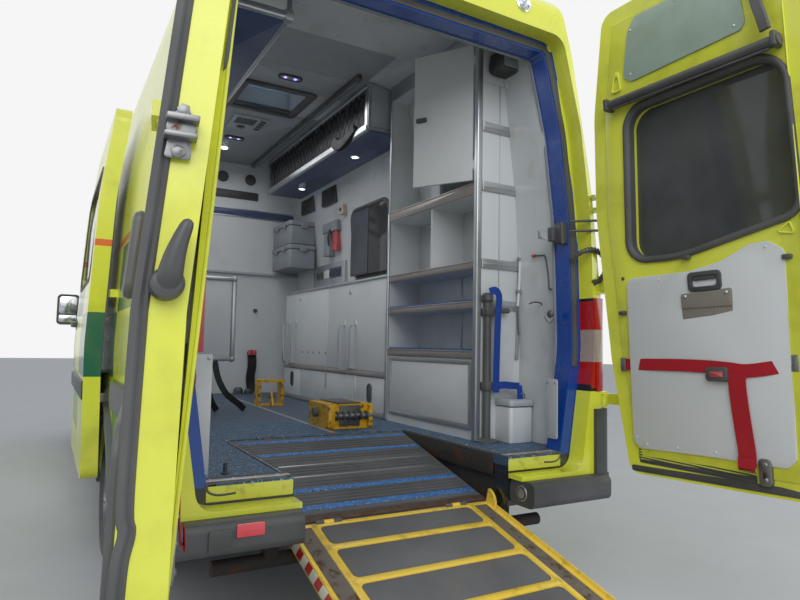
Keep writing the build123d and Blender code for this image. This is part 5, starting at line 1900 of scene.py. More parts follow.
@dataclass
class TallUnit:
    """Shelf lips, mats, posts and the end side of the tall unit by the rear doors."""

    rig: Rig
    screws: Screws
    face: float = 635.0
    end: float = 430.0
    rear: int = 452      # the row of shelves runs from here
    fore: int = 1383     # to here

    def build(self) -> None:
        """Builds the dressing of the unit."""
        self.front()
        self.shelf_mats()
        self.end_side()
        self.conduit()
        self.hand_lamp()

    def front(self) -> None:
        """Metal lips, posts and the framed low panel."""
        face = self.face
        form = Form(PINK_SILVER)
        for low, high in ((1116, 1160), (1380, 1420), (1590, 1630), (1985, 2045)):
            form.block(face - 9, face + 2, self.rear, self.fore, low, high, 4)
            form.block(face - 12, face - 7, self.rear, self.fore, high - 8, high, 2)
        self.rig.keep(form, "unit_lips", slot="locker_aluminium")
        form = Form(SILVER)
        form.block(face - 14, face + 6, self.fore, 1406, 702, 2040, 6)
        form.block(face - 9, face + 2, self.fore, 1406, 2040, 2915, 4)
        form.plate("z", oblong(616, 652, 418, 452, 9), 702, 2916, 2)
        self.rig.keep(form, "unit_posts", slot="locker_aluminium")
        form = Form(WHITE)
        form.plate("x", oblong(500, 1326, 778, 1090, 8), face - 5, face)
        form.use(SILVER)
        outer = oblong(470, 1356, 750, 1112, 10)
        form.plate("x", outer, face - 9, face, 3, [inset(outer, 26)])
        self.rig.keep(form, "unit_low_panel", slot="white_panel")
        form = Form(WHITE)
        form.block(858, 861, self.rear, 878, 1632, 1980, 1)
        form.block(858, 861, 890, self.fore, 1632, 1980, 1)
        form.block(858, 861, self.rear, self.fore, 2052, 2800, 1)
        form.use(SILVER)
        form.block(856, 861, 878, 890, 1162, 1590, 1)
        form.block(face - 4, face + 2, self.rear, self.fore, 2800, 2915, 2)
        self.rig.keep(form, "unit_back_panels", slot="white_panel")
        form = Form(BLACK)
        rows = oblong(734, 802, 2412, 2440, 12)
        form.plate("x", rows, 602, 614.5, 4)
        form.block(596, 604, 742, 776, 2418, 2434, 3)
        self.rig.keep(form, "unit_door_latch", self.rig.child("unit_door_hinge"), "dark_plastic",
                      "unit_door_hinge")

    def shelf_mats(self) -> None:
        """Blue mats with a turned-up front edge."""
        for name, z in (("low", 1160), ("mid", 1420)):
            form = Form(MAT_BLUE)
            form.block(self.face + 6, 858, 454, 1381, z + 0.5, z + 4, 1.5)
            form.block(self.face + 3, self.face + 9, 454, 1381, z + 0.5, z + 9, 2)
            self.rig.keep(form, f"shelf_mat_{name}", slot="floor_covering")

    def end_side(self) -> None:
        """Rails, seam and slanted edging on the side that faces the rear doors."""
        y = self.end
        form = Form(WHITE)
        form.plate("y", [(654, 706, 6), (800, 706, 6), (884, 1150, 20), (900, 1500, 40), (893, 1900, 100),
                         (842, 2590, 40), (654, 2590, 6)], y - 4, y, 1.5)
        self.rig.keep(form, "unit_end_panel", slot="white_panel")
        form = Form(SILVER)
        for z, reach in ((2345, 850), (2025, 880), (1615, 898), (1400, 898)):
            form.plate("y", oblong(652, reach, z - 26, z + 26, 5), y - 14, y - 3, 4)
            form.block(654, reach - 2, y - 16, y - 13, z - 4, z + 4, 1)
            self.screws.add([(668, y - 14, z), (reach - 16, y - 14, z)], (0, -1, 0), 5)
        form.block(764, 770, y - 7, y - 3, 1000, 2590, 2)
        self.rig.keep(form, "unit_end_rails", slot="locker_aluminium")
        form = Form(GREY)
        edge = [(890, y - 8, 1120), (904, y - 8, 1500), (898, y - 8, 1900), (866, y - 8, 2350),
                (848, y - 8, 2590)]
        form.ribbon(curve(edge), 20, 12, (0, -1, 0))
        self.rig.keep(form, "unit_end_edging", slot="grey_plastic")

    def conduit(self) -> None:
        """White pipe down the wall with clips, a sleeve and the wires at its ends."""
        y = self.end - 22
        spots = [(797, y, 2601), (829, y, 2540), (847, y, 2472), (880, y, 2320), (893, y, 2180),
                 (897, y, 1985),
                 (898, y, 1800), (898, y, 1656), (892, y, 1500), (884, y, 1400)]
        form = Form(WHITE)
        form.tube(curve(spots), 7.5)
        form.use(GREY)
        for x, z in ((847, 2472), (897, 1985), (898, 1656), (890, 1480)):
            form.block(x - 13, x + 13, y - 11, y + 10, z - 9, z + 9, 3)
        form.use(RAMP_YELLOW)
        form.rod((896, y, 2110), (897, y, 2060), 10)
        form.use(BLACK)
        form.tube(curve([(884, y, 1402), (880, y - 6, 1340), (884, y - 4, 1290), (892, y, 1250)]), 3.5)
        self.rig.keep(form, "wall_conduit", slot="grey_plastic")

    def hand_lamp(self) -> None:
        """Ribbed lamp hung below the roof at the end of the unit."""
        form = Form(BLACK)
        rows = [(680, 2629, 26), (846, 2629, 26), (834, 2739, 26), (690, 2739, 26)]
        form.plate("y", rows, 304, 418, 8)
        for k in range(7):
            rib = inset(rows, -4)
            form.plate("y", rib, 318 + 14 * k, 324 + 14 * k, 1, [inset(rows, 3)])
        form.use(GREY)
        form.plate("y", inset(rows, 12), 297, 305, 4)
        form.use(BLACK)
        form.tube(curve([(720, 340, 2739), (722, 345, 2775), (764, 350, 2790), (806, 345, 2775),
                         (808, 340, 2739)]), 8)
        form.block(735, 795, 330, 380, 2780, 2850, 6)
        self.rig.keep(form, "hand_lamp", slot="dark_plastic")


@dataclass
class Lockers:
    """Undersides, rails, net and lamps of the lockers under the roof."""

    rig: Rig

    def build(self) -> None:
        """Builds both sides."""
        self.right_underside()
        self.right_rails()
        self.net()
        self.left()

    def right_underside(self) -> None:
        """Navy board under the right locker, with its lamps."""
        form = Form(DEEP_BLUE)
        form.block(486, 838, 1446, 3544, 2592, 2600.5, 2)
        form.use(CHROME)
        for x, y in ((657, 2011), (664, 3147)):
            form.turned((x, y, 2592), (0, 0, -1), [(0, 40), (5, 38), (7, 30), (3, 26), (3, 0)])
        self.rig.keep(form, "locker_underside_right", slot="locker_aluminium")
        form = Form(LED)
        for x, y in ((657, 2011), (664, 3147)):
            form.turned((x, y, 2589), (0, 0, -1), [(0, 25), (2, 24), (4, 0)])
        self.rig.keep(form, "locker_lamps", slot="lamp_glass")

    def right_rails(self) -> None:
        """Rails, rear end and its panel on the right."""
        form = Form(SILVER)
        form.plate("y", [(462, 2588, 12), (492, 2588, 12), (492, 2632, 8), (462, 2632, 12)], 1438, 3552, 3)
        form.plate("y", oblong(464, 474, 2884, 2916, 4), 1438, 3552, 1)
        outer = [(474, 2604, 10), (838, 2604, 10), (792, 2912, 10), (474, 2912, 10)]
        form.plate("y", outer, 1432, 1440, 2, [inset(outer, 22)])
        form.use(PALE_GREY)
        form.plate("y", inset(outer, 18), 1435, 1440, 1)
        self.rig.keep(form, "locker_rails_right", slot="locker_aluminium")

    def net(self) -> None:
        """Net over a dark navy board that stands for the locker's navy inside, painted darker as shade, and the bag
        that hangs there.
        """
        # the dark navy board behind the net is painted shade
        form = Form(Finish("navy locker inside", "0A1526", 0.7))
        form.block(518, 521, 1478, 3518, 2642, 2878, 1)
        form.use(BLACK_WEB)
        count = 26
        for k in range(count):
            y0 = 1480 + 2030 * k / count
            for a, b in ((y0, y0 + 150), (y0 + 150, y0)):
                form.tube([Vector((478, a, 2645)), Vector((486, (a + b) / 2, 2760)), Vector((478, b, 2876))],
                          2.2, around=6)
        self.rig.keep(form, "locker_net", slot="seat_fabric")
        form = Form(BLACK_WEB)
        bag = [(470, 1620, 2660), (452, 1700, 2610), (450, 1800, 2590), (456, 1900, 2615), (472, 1980, 2665)]
        form.sweep(curve(bag), [(-40, -12), (-20, -30), (20, -30), (40, -12), (36, 12), (0, 20), (-36, 12)],
                   normal=(-1, 0, 0.2))
        self.rig.keep(form, "hanging_bag", slot="seat_fabric")

    def left(self) -> None:
        """Underside, rails, corner and end post on the left."""
        form = Form(DEEP_BLUE)
        form.block(-842, -456, 386, 1464, 2592, 2600.5, 2)
        self.rig.keep(form, "locker_underside_left", slot="locker_aluminium")
        form = Form(SILVER)
        form.plate("x", [(362, 2588, 10), (390, 2588, 8), (390, 2624, 8), (362, 2624, 10)], -846, -440, 3)
        form.plate("y", [(-458, 2590, 8), (-434, 2590, 8), (-434, 2624, 6), (-458, 2624, 6)], 372, 1472, 2)
        form.plate("y", oblong(-452, -434, 2624, 2916, 4), 366, 378, 2)
        form.use(SCUFFED)
        form.block(-466, -426, 358, 400, 2582, 2632, 8)
        form.use(WHITE)
        form.plate("y", [(-838, 2626, 6), (-456, 2626, 6), (-456, 2910, 6), (-796, 2910, 6)], 369, 375, 1)
        self.rig.keep(form, "locker_rails_left", slot="locker_aluminium")
        form = Form(BLACK)
        form.plate("z", oblong(-474, -436, 1466, 1488, 6), 2560, 2914, 2)
        self.rig.keep(form, "locker_end_post_left", slot="dark_plastic")


@dataclass
class Ceiling:
    """Lamps, hatch frame, vent panel and grab rail under the roof."""

    rig: Rig
    height: float = 2920.0

    def oval(self, x: float, y: float, wide: float, long: float) -> list[Row]:
        """An oval outline on the ceiling."""
        r = min(wide, long) - 1
        return oblong(x - wide, x + wide, y - long, y + long, r)

    def build(self) -> None:
        """Builds what hangs from the ceiling."""
        top = self.height
        # white ceiling panels, painted grey as shade
        form = Form(SHADED_CEILING_WHITE)
        form.block(-434, 460, 1490, 1826, top - 5, top, 1)
        form.block(-434, 460, 2294, 3786, top - 5, top, 1)
        form.block(-434, 460, 380, 1484, top - 5, top, 1)
        self.rig.keep(form, "ceiling_panels", slot="white_panel")
        form = Form(DARK_PLASTIC)
        for y in (1630, 3020):
            form.plate("z", self.oval(0, y, 82, 38), top - 20, top - 4, 6, [self.oval(0, y, 68, 25)])
        # lamp covers in the same white, painted grey as shade
        form.use(SHADED_CEILING_WHITE)
        for y in (1630, 3020):
            form.plate("z", self.oval(0, y, 70, 27), top - 15, top - 4, 2)
        self.rig.keep(form, "ceiling_lamps", slot="dark_plastic")
        form = Form(Glow("violet night lamp", "9A8CFF", 0.4, strength=2.5))
        for y in (1630, 3020):
            for x in (-34, 34):
                form.turned((x, y, top - 15), (0, 0, -1), [(0, 11), (3, 10), (5, 0)])
        form.use(LED)
        form.turned((0, 3360, top - 5), (0, 0, -1), [(0, 30), (5, 28), (8, 0)])
        self.rig.keep(form, "ceiling_lights", slot="lamp_glass")
        self.hatch()
        form = Form(PALE_GREY)
        panel = oblong(-140, 130, 2450, 2750, 22)
        form.plate("z", panel, top - 24, top - 4, 6)
        form.use(BLACK)
        for k in range(7):
            form.block(-116, 40, 2480 + 20 * k, 2489 + 20 * k, top - 27, top - 23, 2)
        for k in range(4):
            form.block(66, 108, 2476 + 62 * k, 2516 + 62 * k, top - 29, top - 23, 3)
        form.turned((-40, 2680, top - 24), (0, 0, -1), [(0, 34), (4, 34), (8, 26), (12, 0)])
        self.rig.keep(form, "vent_panel", slot="grey_plastic")
        form = Form(BLACK)
        form.plate("z", oblong(352, 388, 1350, 3730, 14), top - 42, top - 4, 7)
        form.use(GREY)
        form.block(364, 376, 1400, 3680, top - 45, top - 40, 2)
        self.rig.keep(form, "ceiling_rail", slot="dark_plastic")

    def hatch(self) -> None:
        """Black frame, blind and handle of the roof hatch."""
        top = self.height
        form = Form(BLACK)
        outer = oblong(-268, 268, 1802, 2318, 40)
        form.plate("z", outer, top - 22, top + 0.5, 8, [inset(outer, 58)])
        form.plate("z", oblong(-190, 190, 2236, 2262, 10), top - 34, top - 20, 5)
        form.rod((-205, 2225, top - 8), (205, 2225, top - 8), 16)
        form.block(-50, 50, 2214, 2232, top - 46, top - 20, 6)
        for x in (-214, 214):
            form.block(x - 5, x + 5, 1862, 2258, top - 16, top + 4, 2)
        self.rig.keep(form, "hatch_frame", slot="dark_plastic")


@dataclass
class FrontWall:
    """Vents, slots and fittings of the bulkhead."""

    rig: Rig
    y: float = 3790.0

    def build(self) -> None:
        """Builds the wall's fittings."""
        self.vents()
        self.bands()
        self.hook()
        self.belts()
        self.sockets()

    def vents(self) -> None:
        """Round and long vents."""
        y = self.y
        form = Form(BLACK)
        for x in (-96, 98, 365):
            form.turned((x, y, 2772), (0, -1, 0), [(-2, 54), (8, 54), (12, 46), (6, 40), (6, 0)], 28)
            for k in range(-2, 3):
                reach = math.sqrt(40 ** 2 - (14 * k) ** 2)
                form.block(x - reach, x + reach, y - 11, y - 5, 2772 + 14 * k - 2, 2772 + 14 * k + 2, 1)
        for x0, x1 in ((16, 450), (-450, -28)):
            outer = oblong(x0, x1, 2570, 2650, 12)
            form.plate("y", outer, y - 8, y, 3, [inset(outer, 10)])
            form.plate("y", inset(outer, 8), y - 2, y, 0.5)
            for k in range(3):
                form.block(x0 + 12, x1 - 12, y - 7, y - 2, 2588 + 19 * k, 2593 + 19 * k, 1)
        self.rig.keep(form, "wall_vents", slot="dark_plastic")

    def bands(self) -> None:
        """Navy band between two rails, and the grey one."""
        y = self.y
        form = Form(DEEP_BLUE)
        form.block(-850, 850, y - 4, y + 0.2, 2405, 2465, 1)
        form.use(SILVER)
        form.block(-850, 850, y - 7, y + 0.2, 2465, 2478, 2)
        form.block(-850, 850, y - 7, y + 0.2, 2392, 2405, 2)
        form.use(PALE_GREY)
        form.block(-880, 880, y - 34, y + 0.2, 1838, 1862, 5)
        self.rig.keep(form, "wall_bands", slot="white_panel")

    def hook(self) -> None:
        """Hook on the wall."""
        y = self.y
        form = Form(BLACK)
        form.turned((459, y, 1493), (0, -1, 0),
                    [(0, 20), (6, 20), (8, 9), (30, 8), (32, 15), (38, 14), (40, 0)])
        self.rig.keep(form, "wall_hook", slot="dark_plastic")

    def belts(self) -> None:
        """Two hanging belts with red buckles."""
        y = self.y
        form = Form(BLACK_WEB)
        for x in (410, 452):
            path = [(x, y - 26, 1096), (x + 6, y - 48, 980), (x - 4, y - 40, 860), (x + 2, y - 30, 790),
                    (x + 10, y - 44, 716)]
            form.ribbon(curve(path), 42, 3, (0, -1, 0))
        form.use(RED_PLASTIC)
        for x in (410, 452):
            form.block(x - 20, x + 20, y - 62, y - 40, 1060, 1112, 6)
        self.rig.keep(form, "wall_belts", slot="seat_fabric")

    def sockets(self) -> None:
        """Black sockets on the floor."""
        y = self.y
        form = Form(BLACK)
        for x, r, h in ((300, 46, 60), (395, 38, 44), (-330, 50, 52)):
            form.turned((x, y - 90, FLOOR), (0, 0, 1), [(0.5, r), (h * 0.6, r), (h, r * 0.6), (h, 0)])
        self.rig.keep(form, "floor_sockets", slot="dark_plastic")


@dataclass
class RightWall:
    """Window, switches, panel, vents and boxes on the right wall."""

    rig: Rig

    def at(self, z: float) -> float:
        """The lining's place across at a height."""
        return min(916.5, skin_x(z) - 80) - 2

    def panel(self, form: Form, finish: Finish, y0: float, y1: float, z0: float, z1: float, proud: float,
              edge: float = 3.0) -> None:
        """A box on the wall that follows its lean.

        Args:
            form: what it joins.
            finish: its finish.
            y0: rear end; y1 is the front one.
            z0: foot; z1 is the top.
            proud: how far it stands off the lining.
            edge: radius of the edges.
        """
        form.use(finish)
        back = self.at(z1)
        rows = [(back - proud, z0, edge), (self.at(z0) + 2, z0, 0), (back + 2, z1, 0),
                (back - proud, z1, edge)]
        form.plate("y", rows, y0, y1, edge)

    def build(self) -> None:
        """Builds the wall's fittings."""
        self.window()
        self.panels()
        self.sockets()
        self.holder()
        self.boxes()
        self.pipes()

    def panels(self) -> None:
        """Switch box and panels."""
        form = Form(PALE_GREY)
        self.panel(form, Finish("beige switch box", "B9AE98", 0.5), 2524, 2600, 2270, 2352, 34, 6)
        self.panel(form, SILVER, 2600, 3290, 1680, 1895, 22, 3)
        self.panel(form, DEEP_BLUE, 2660, 2900, 1760, 1850, 30, 4)
        self.panel(form, WHITE, 2925, 3040, 1770, 1840, 26, 2)
        self.rig.keep(form, "wall_panels", slot="grey_plastic")

    def sockets(self) -> None:
        """Switches, round sockets and the two vents."""
        form = Form(BLACK)
        x = self.at(1890) - 22
        for k in range(5):
            form.block(x - 18, x - 8, 2672 + 46 * k, 2702 + 46 * k, 1776, 1834, 3)
        for y in (3090, 3180):
            form.turned((x, y, 1800), (-1, 0, 0), [(0, 34), (6, 34), (9, 26), (5, 22), (5, 0)])
        form.turned((self.at(2352) - 34, 2562, 2310), (-1, 0, 0), [(0, 15), (10, 14), (12, 0)])
        for y0, y1, z0, z1 in ((2690, 2990, 2405, 2555), (3200, 3500, 2420, 2560)):
            self.panel(form, BLACK, y0, y1, z0, z1, 8, 4)
            for k in range(11):
                z = z0 + 14 + (z1 - z0 - 28) * k / 10
                form.block(self.at(z1) - 18, self.at(z1) - 6, y0 + 12, y1 - 12, z - 3, z + 3, 1.5)
        self.rig.keep(form, "wall_sockets_and_vents", slot="dark_plastic")

    def holder(self) -> None:
        """Red and grey holder with its wire."""
        form = Form(RED_PLASTIC)
        self.panel(form, RED_PLASTIC, 2700, 2800, 1990, 2200, 24, 5)
        self.panel(form, GREY, 2670, 2990, 2160, 2250, 34, 8)
        self.panel(form, GREY, 2840, 2960, 1955, 2160, 40, 10)
        form.use(BLACK)
        form.tube(curve([(855, 2860, 2020), (822, 2850, 2040), (800, 2830, 2110), (804, 2800, 2180)]), 9)
        self.rig.keep(form, "wall_holder", slot="grey_plastic")

    def boxes(self) -> None:
        """Two stacked boxes."""
        form = Form(GREY)
        for low, high in ((1880, 2096), (2102, 2318)):
            form.plate("z", oblong(602, 858, 3250, 3750, 22), low, high - 46, 6)
            form.plate("z", oblong(594, 860, 3242, 3756, 24), high - 44, high, 7)
            for y in (3380, 3600):
                form.block(582, 596, y - 26, y + 26, high - 66, high - 22, 4)
            form.block(700, 770, 3230, 3244, high - 66, high - 22, 4)
        self.rig.keep(form, "stacked_boxes", slot="grey_plastic")

    def pipes(self) -> None:
        """Cable pipes under the ceiling."""
        form = Form(GREY)
        form.tube(curve([(838, 1450, 2570), (836, 2200, 2566), (838, 2560, 2540), (846, 2562, 2400),
                         (852, 2562, 2352)]), 6)
        form.tube([Vector((838, 2560, 2556)), Vector((836, 3780, 2556))], 6)
        self.rig.keep(form, "wall_cable_pipes", slot="grey_plastic")
    def window(self) -> None:
        """Dark window with its gasket and part-drawn navy blind."""
        form = Form(RUBBER)
        z0, z1 = 1720, 2270
        out0, out1 = self.at(z0), self.at(z1)
        ring = rounded(oblong(1800, 2440, z0, z1, 90))
        path = [Vector((out0 + (out1 - out0) * (p.y - z0) / (z1 - z0), p.x, p.y)) for p in ring]
        form.sweep(path, [(-16, -2), (16, -2), (12, 10), (0, 14), (-12, 10)], True, (-1, 0, 0))
        form.use(GLASS)
        self.panel(form, GLASS, 1812, 2428, z0 + 12, z1 - 12, 3, 1)
        self.panel(form, Finish("navy blind", "0B1A33", 0.7), 2120, 2424, z0 + 20, z1 - 16, 9, 2)
        self.rig.keep(form, "wall_window", slot="dark_glass")


@dataclass
class LeftBox:
    """Cupboard on the left wall with its round metal corners and the belts below."""

    rig: Rig
    inner: float = -157.0
    rear: float = 2200.0
    front: float = 2450.0
    low: float = 1065.0
    high: float = 1620.0

    def build(self) -> None:
        """Builds posts, corners, panels and belts."""
        x, y0, y1 = self.inner, self.rear, self.front
        form = Form(SILVER)
        for y in (y0, y1):
            form.plate("z", oblong(x - 22, x + 12, y - 14, y + 14, 12),
                       self.low + 16, self.high - 16, 2)
        for z in (self.low, self.high):
            form.plate("x", oblong(y0 - 12, y0 + 14, z - 14, z + 14, 11),
                       -905, x - 10, 2)
            form.plate("y", oblong(x - 22, x + 12, z - 14, z + 14, 11),
                       y0, y1, 2)
        self.rig.keep(form, "box_posts", slot="locker_aluminium")
        form = Form(SCUFFED)
        for y in (y0, y1):
            for z in (self.low, self.high):
                form.turned((x - 5, y, z), (0, 0, 1),
                            [(-24, 0), (-21, 10), (-10, 19), (0, 21), (10, 19), (21, 10), (24, 0)], 16)
        self.rig.keep(form, "box_corners", slot="cast_parts")
        form = Form(WHITE)
        form.plate("y", oblong(-850, x - 30, self.low + 24, self.high - 24, 8), y0 - 5, y0, 1.5)
        form.use(BLACK)
        form.block(-540, -460, y0 - 16, y0 - 4, 1320, 1372, 5)
        self.rig.keep(form, "box_panel", slot="white_panel")
        form = Form(BLACK_WEB)
        for spots in (
                [(-342, 2190, 1050), (-338, 2150, 960), (-330, 2140, 870), (-300, 2160, 780),
                 (-250, 2200, 712)],
                [(-281, 2190, 1050), (-262, 2140, 930), (-210, 2120, 830), (-120, 2150, 760),
                 (-60, 2200, 712)]):
            form.ribbon(curve(spots), 42, 3, (0, -1, 0.1))
        form.use(RED_PLASTIC)
        form.block(-358, -322, 2122, 2146, 850, 906, 6)
        self.rig.keep(form, "box_belts", slot="seat_fabric")


@dataclass
class FloorFittings:
    """Lines, pins, sill and threshold plates of the load floor."""

    rig: Rig
    screws: Screws

    def build(self) -> None:
        """Builds what lies on the floor."""
        form = Form(PALE_GREY)
        for shift in (-8, 8):
            path = [Vector((152 + shift, 3593, FLOOR + 1.2)), Vector((89 + shift, 1018, FLOOR + 1.2))]
            form.ribbon(path, 7, 2, (0, 0, 1))
        form.use(ORANGE)
        form.block(76, 102, 985, 1022, FLOOR, FLOOR + 3, 1)
        self.rig.keep(form, "floor_line", slot="floor_covering")
        form = Form(BLACK)
        form.turned((-700, 160, FLOOR), (0, 0, 1), [(0, 16), (5, 16), (8, 8), (40, 7), (43, 0)])
        for x, y in ((-350, 2300), (-50, 2300), (-350, 2900), (-50, 2900)):
            form.turned((x, y, FLOOR), (0, 0, 1), [(0, 26), (3, 25), (4, 14), (1, 10), (1, 6)])
        self.rig.keep(form, "floor_pins", slot="dark_plastic")
        for side in Side:
            self.threshold(side)
        self.winch()

    def threshold(self, side: Side) -> None:
        """Edge strips beside the ramp recess and the seal's foot, from the sill forward.

        Args:
            side: the side of the recess.
        """
        s = side.value
        x0, x1 = stretch(s, 494, 800)
        form = Form(CHANNEL)
        form.block(x0, x1, 13, 34, FLOOR - 6, FLOOR + 3, 2)
        form.use(SCUFFED)
        form.block(x0, x1, 34, 62, FLOOR, FLOOR + 5, 2)
        form.use(RUBBER)
        form.block(x0, x1, 62, 84, FLOOR, FLOOR + 7, 3)
        # the darker yellow of this plate is painted shade, with real grime in patches
        form.use(SHADE_YELLOW)
        form.plate("y", oblong(x0, x1, 640, FLOOR - 8, 4), 5.4, 8, 1)
        form.use(RUBBER)
        a, b = stretch(s, 493, 508)
        form.block(a, b, 8, 925, FLOOR - 2, FLOOR + 4, 2)
        form.use(STEEL)
        a, b = stretch(s, 508, 516)
        form.block(a, b, 90, 925, FLOOR, FLOOR + 5, 1.5)
        self.rig.keep(form, f"threshold_{side.word}", slot="frame_steel")
        self.screws.add([(s * x, 48, FLOOR + 5) for x in (540, 620, 700, 780)], (0, 0, 1), 6, SILVER)
        self.screws.add([(s * 512, y, FLOOR + 5) for y in (140, 340, 540, 740, 900)], (0, 0, 1), 4, SILVER)

    def winch(self) -> None:
        """Drum, ends and cover of the winch, and the bracket's gusset."""
        form = Form(BLACK)
        form.block(168, 312, 1108, 1382, 842, 848, 2)
        form.rod((98, 1245, 786), (70, 1245, 786), 26)
        form.block(176, 304, 1100, 1110, 716, 832, 4)
        for k in range(6):
            form.turned((150 + 36 * k, 1098, 775), (1, 0, 0), [(0, 20), (3, 26), (12, 26), (15, 20)])
        form.use(STEEL)
        form.rod((140, 1098, 775), (378, 1098, 775), 17)
        form.use(WINCH)
        form.block(100, 142, 1084, 1112, 712, 838, 5)
        form.block(352, 380, 1084, 1112, 712, 838, 5)
        self.rig.keep(form, "winch_drum", slot="winch_yellow")
        form = Form(WINCH)
        form.plate("x", [(2500, 702, 3), (2440, 702, 3), (2500, 820, 3)][::-1], 222, 238, 2)
        form.use(BLACK)
        form.plate("y", [(200, 760, 6), (262, 760, 6), (231, 812, 6)], 2494, 2499, 1)
        self.rig.keep(form, "bracket_gusset", slot="winch_yellow")
        self.screws.add([(x, 2499, z) for x in (142, 318) for z in (730, 850)], (0, -1, 0), 8, STEEL)


@dataclass
class PoleSet:
    """Pole, straps, lever and cover at the foot of the tall unit."""

    rig: Rig
    screws: Screws

    def build(self) -> None:
        """Builds the group by the right pillar."""
        self.pole()
        self.straps()
        self.lever()
        self.cover()
        self.grab_strap()

    def pole(self) -> None:
        """Pole with its foot, cap and two arms."""
        form = Form(BLACK)
        form.turned((675, 400, FLOOR), (0, 0, 1),
                    [(0, 64), (8, 64), (16, 40), (22, 21), (700, 20), (711, 20)])
        form.turned((675, 400, 1411), (0, 0, 1), [(0, 24), (10, 31), (34, 31), (46, 22), (50, 0)])
        form.rod((700, 392, 1368), (806, 392, 1372), 15)
        form.rod((700, 386, 985), (866, 386, 985), 11)
        for z in (980, 1360):
            form.block(652, 704, 372, 430, z - 22, z + 22, 6)
        self.rig.keep(form, "pole", slot="dark_plastic")

    def straps(self) -> None:
        """Blue straps and their wire ring."""
        form = Form(BLUE_WEB)
        loop = [(668, 372, 1462), (700, 366, 1470), (724, 366, 1440), (720, 368, 1347), (712, 366, 1150),
                (708, 366, 950)]
        form.ribbon(curve(loop), 40, 3, (0, -1, 0))
        form.ribbon(curve([(690, 370, 975), (740, 362, 988), (800, 362, 985), (864, 370, 980)]), 36, 3,
                    (0, -1, 0))
        form.ribbon(curve([(860, 366, 984), (864, 362, 930), (868, 364, 820), (869, 368, 715)]), 36, 3,
                    (0, -1, 0))
        form.use(STEEL)
        form.tube(curve([(852, 366, 940), (890, 362, 940), (890, 362, 905), (852, 364, 905), (852, 366, 940)],
                        4), 4)
        self.rig.keep(form, "pole_straps", slot="seat_fabric")

    def lever(self) -> None:
        """Wire lever with its red grip."""
        form = Form(BLACK)
        lever = [(880, 285, 1656), (881, 230, 1652), (880, 195, 1641), (880, 175, 1560), (880, 166, 1481),
                 (896, 166, 1474)]
        form.tube(curve(lever), 4.5)
        form.tube(curve([(824, 250, 1402), (850, 246, 1412), (900, 246, 1409), (914, 250, 1380)]), 4)
        form.use(RED_PLASTIC)
        form.turned((880, 292, 1656), (0, -1, 0), [(0, 0), (1, 8), (22, 9), (24, 0)])
        self.rig.keep(form, "wire_lever", slot="dark_plastic")

    def cover(self) -> None:
        """White box with its lid, and the plate on the reveal."""
        form = Form(WHITE)
        form.plate("z", [(752, 428, 3), (752, 302, 20), (902, 302, 20), (902, 428, 3)], FLOOR, 878, 4)
        form.use(PALE_GREY)
        form.plate("z", [(746, 430, 3), (746, 294, 22), (906, 294, 22), (906, 430, 3)], 882, 914, 7)
        self.rig.keep(form, "wheel_box_cover", slot="white_panel")
        form = Form(PALE_GREY)
        form.plate("x", oblong(22, 98, 757, 1035, 10), 796, 802, 2)
        self.rig.keep(form, "reveal_plate", slot="grey_plastic")
        self.screws.add([(796, y, z) for y in (36, 84) for z in (775, 1018)], (-1, 0, 0), 5, SILVER)

    def grab_strap(self) -> None:
        """Red grip on a white loop, on the left."""
        form = Form(RED_PLASTIC)
        form.rod((-842, 92, 2036), (-828, 92, 1892), 13)
        form.use(WHITE)
        form.tube(curve([(-842, 92, 2040), (-850, 84, 2066), (-866, 80, 2060), (-866, 84, 2036)]), 5)
        self.rig.keep(form, "grab_strap", slot="lamp_red")


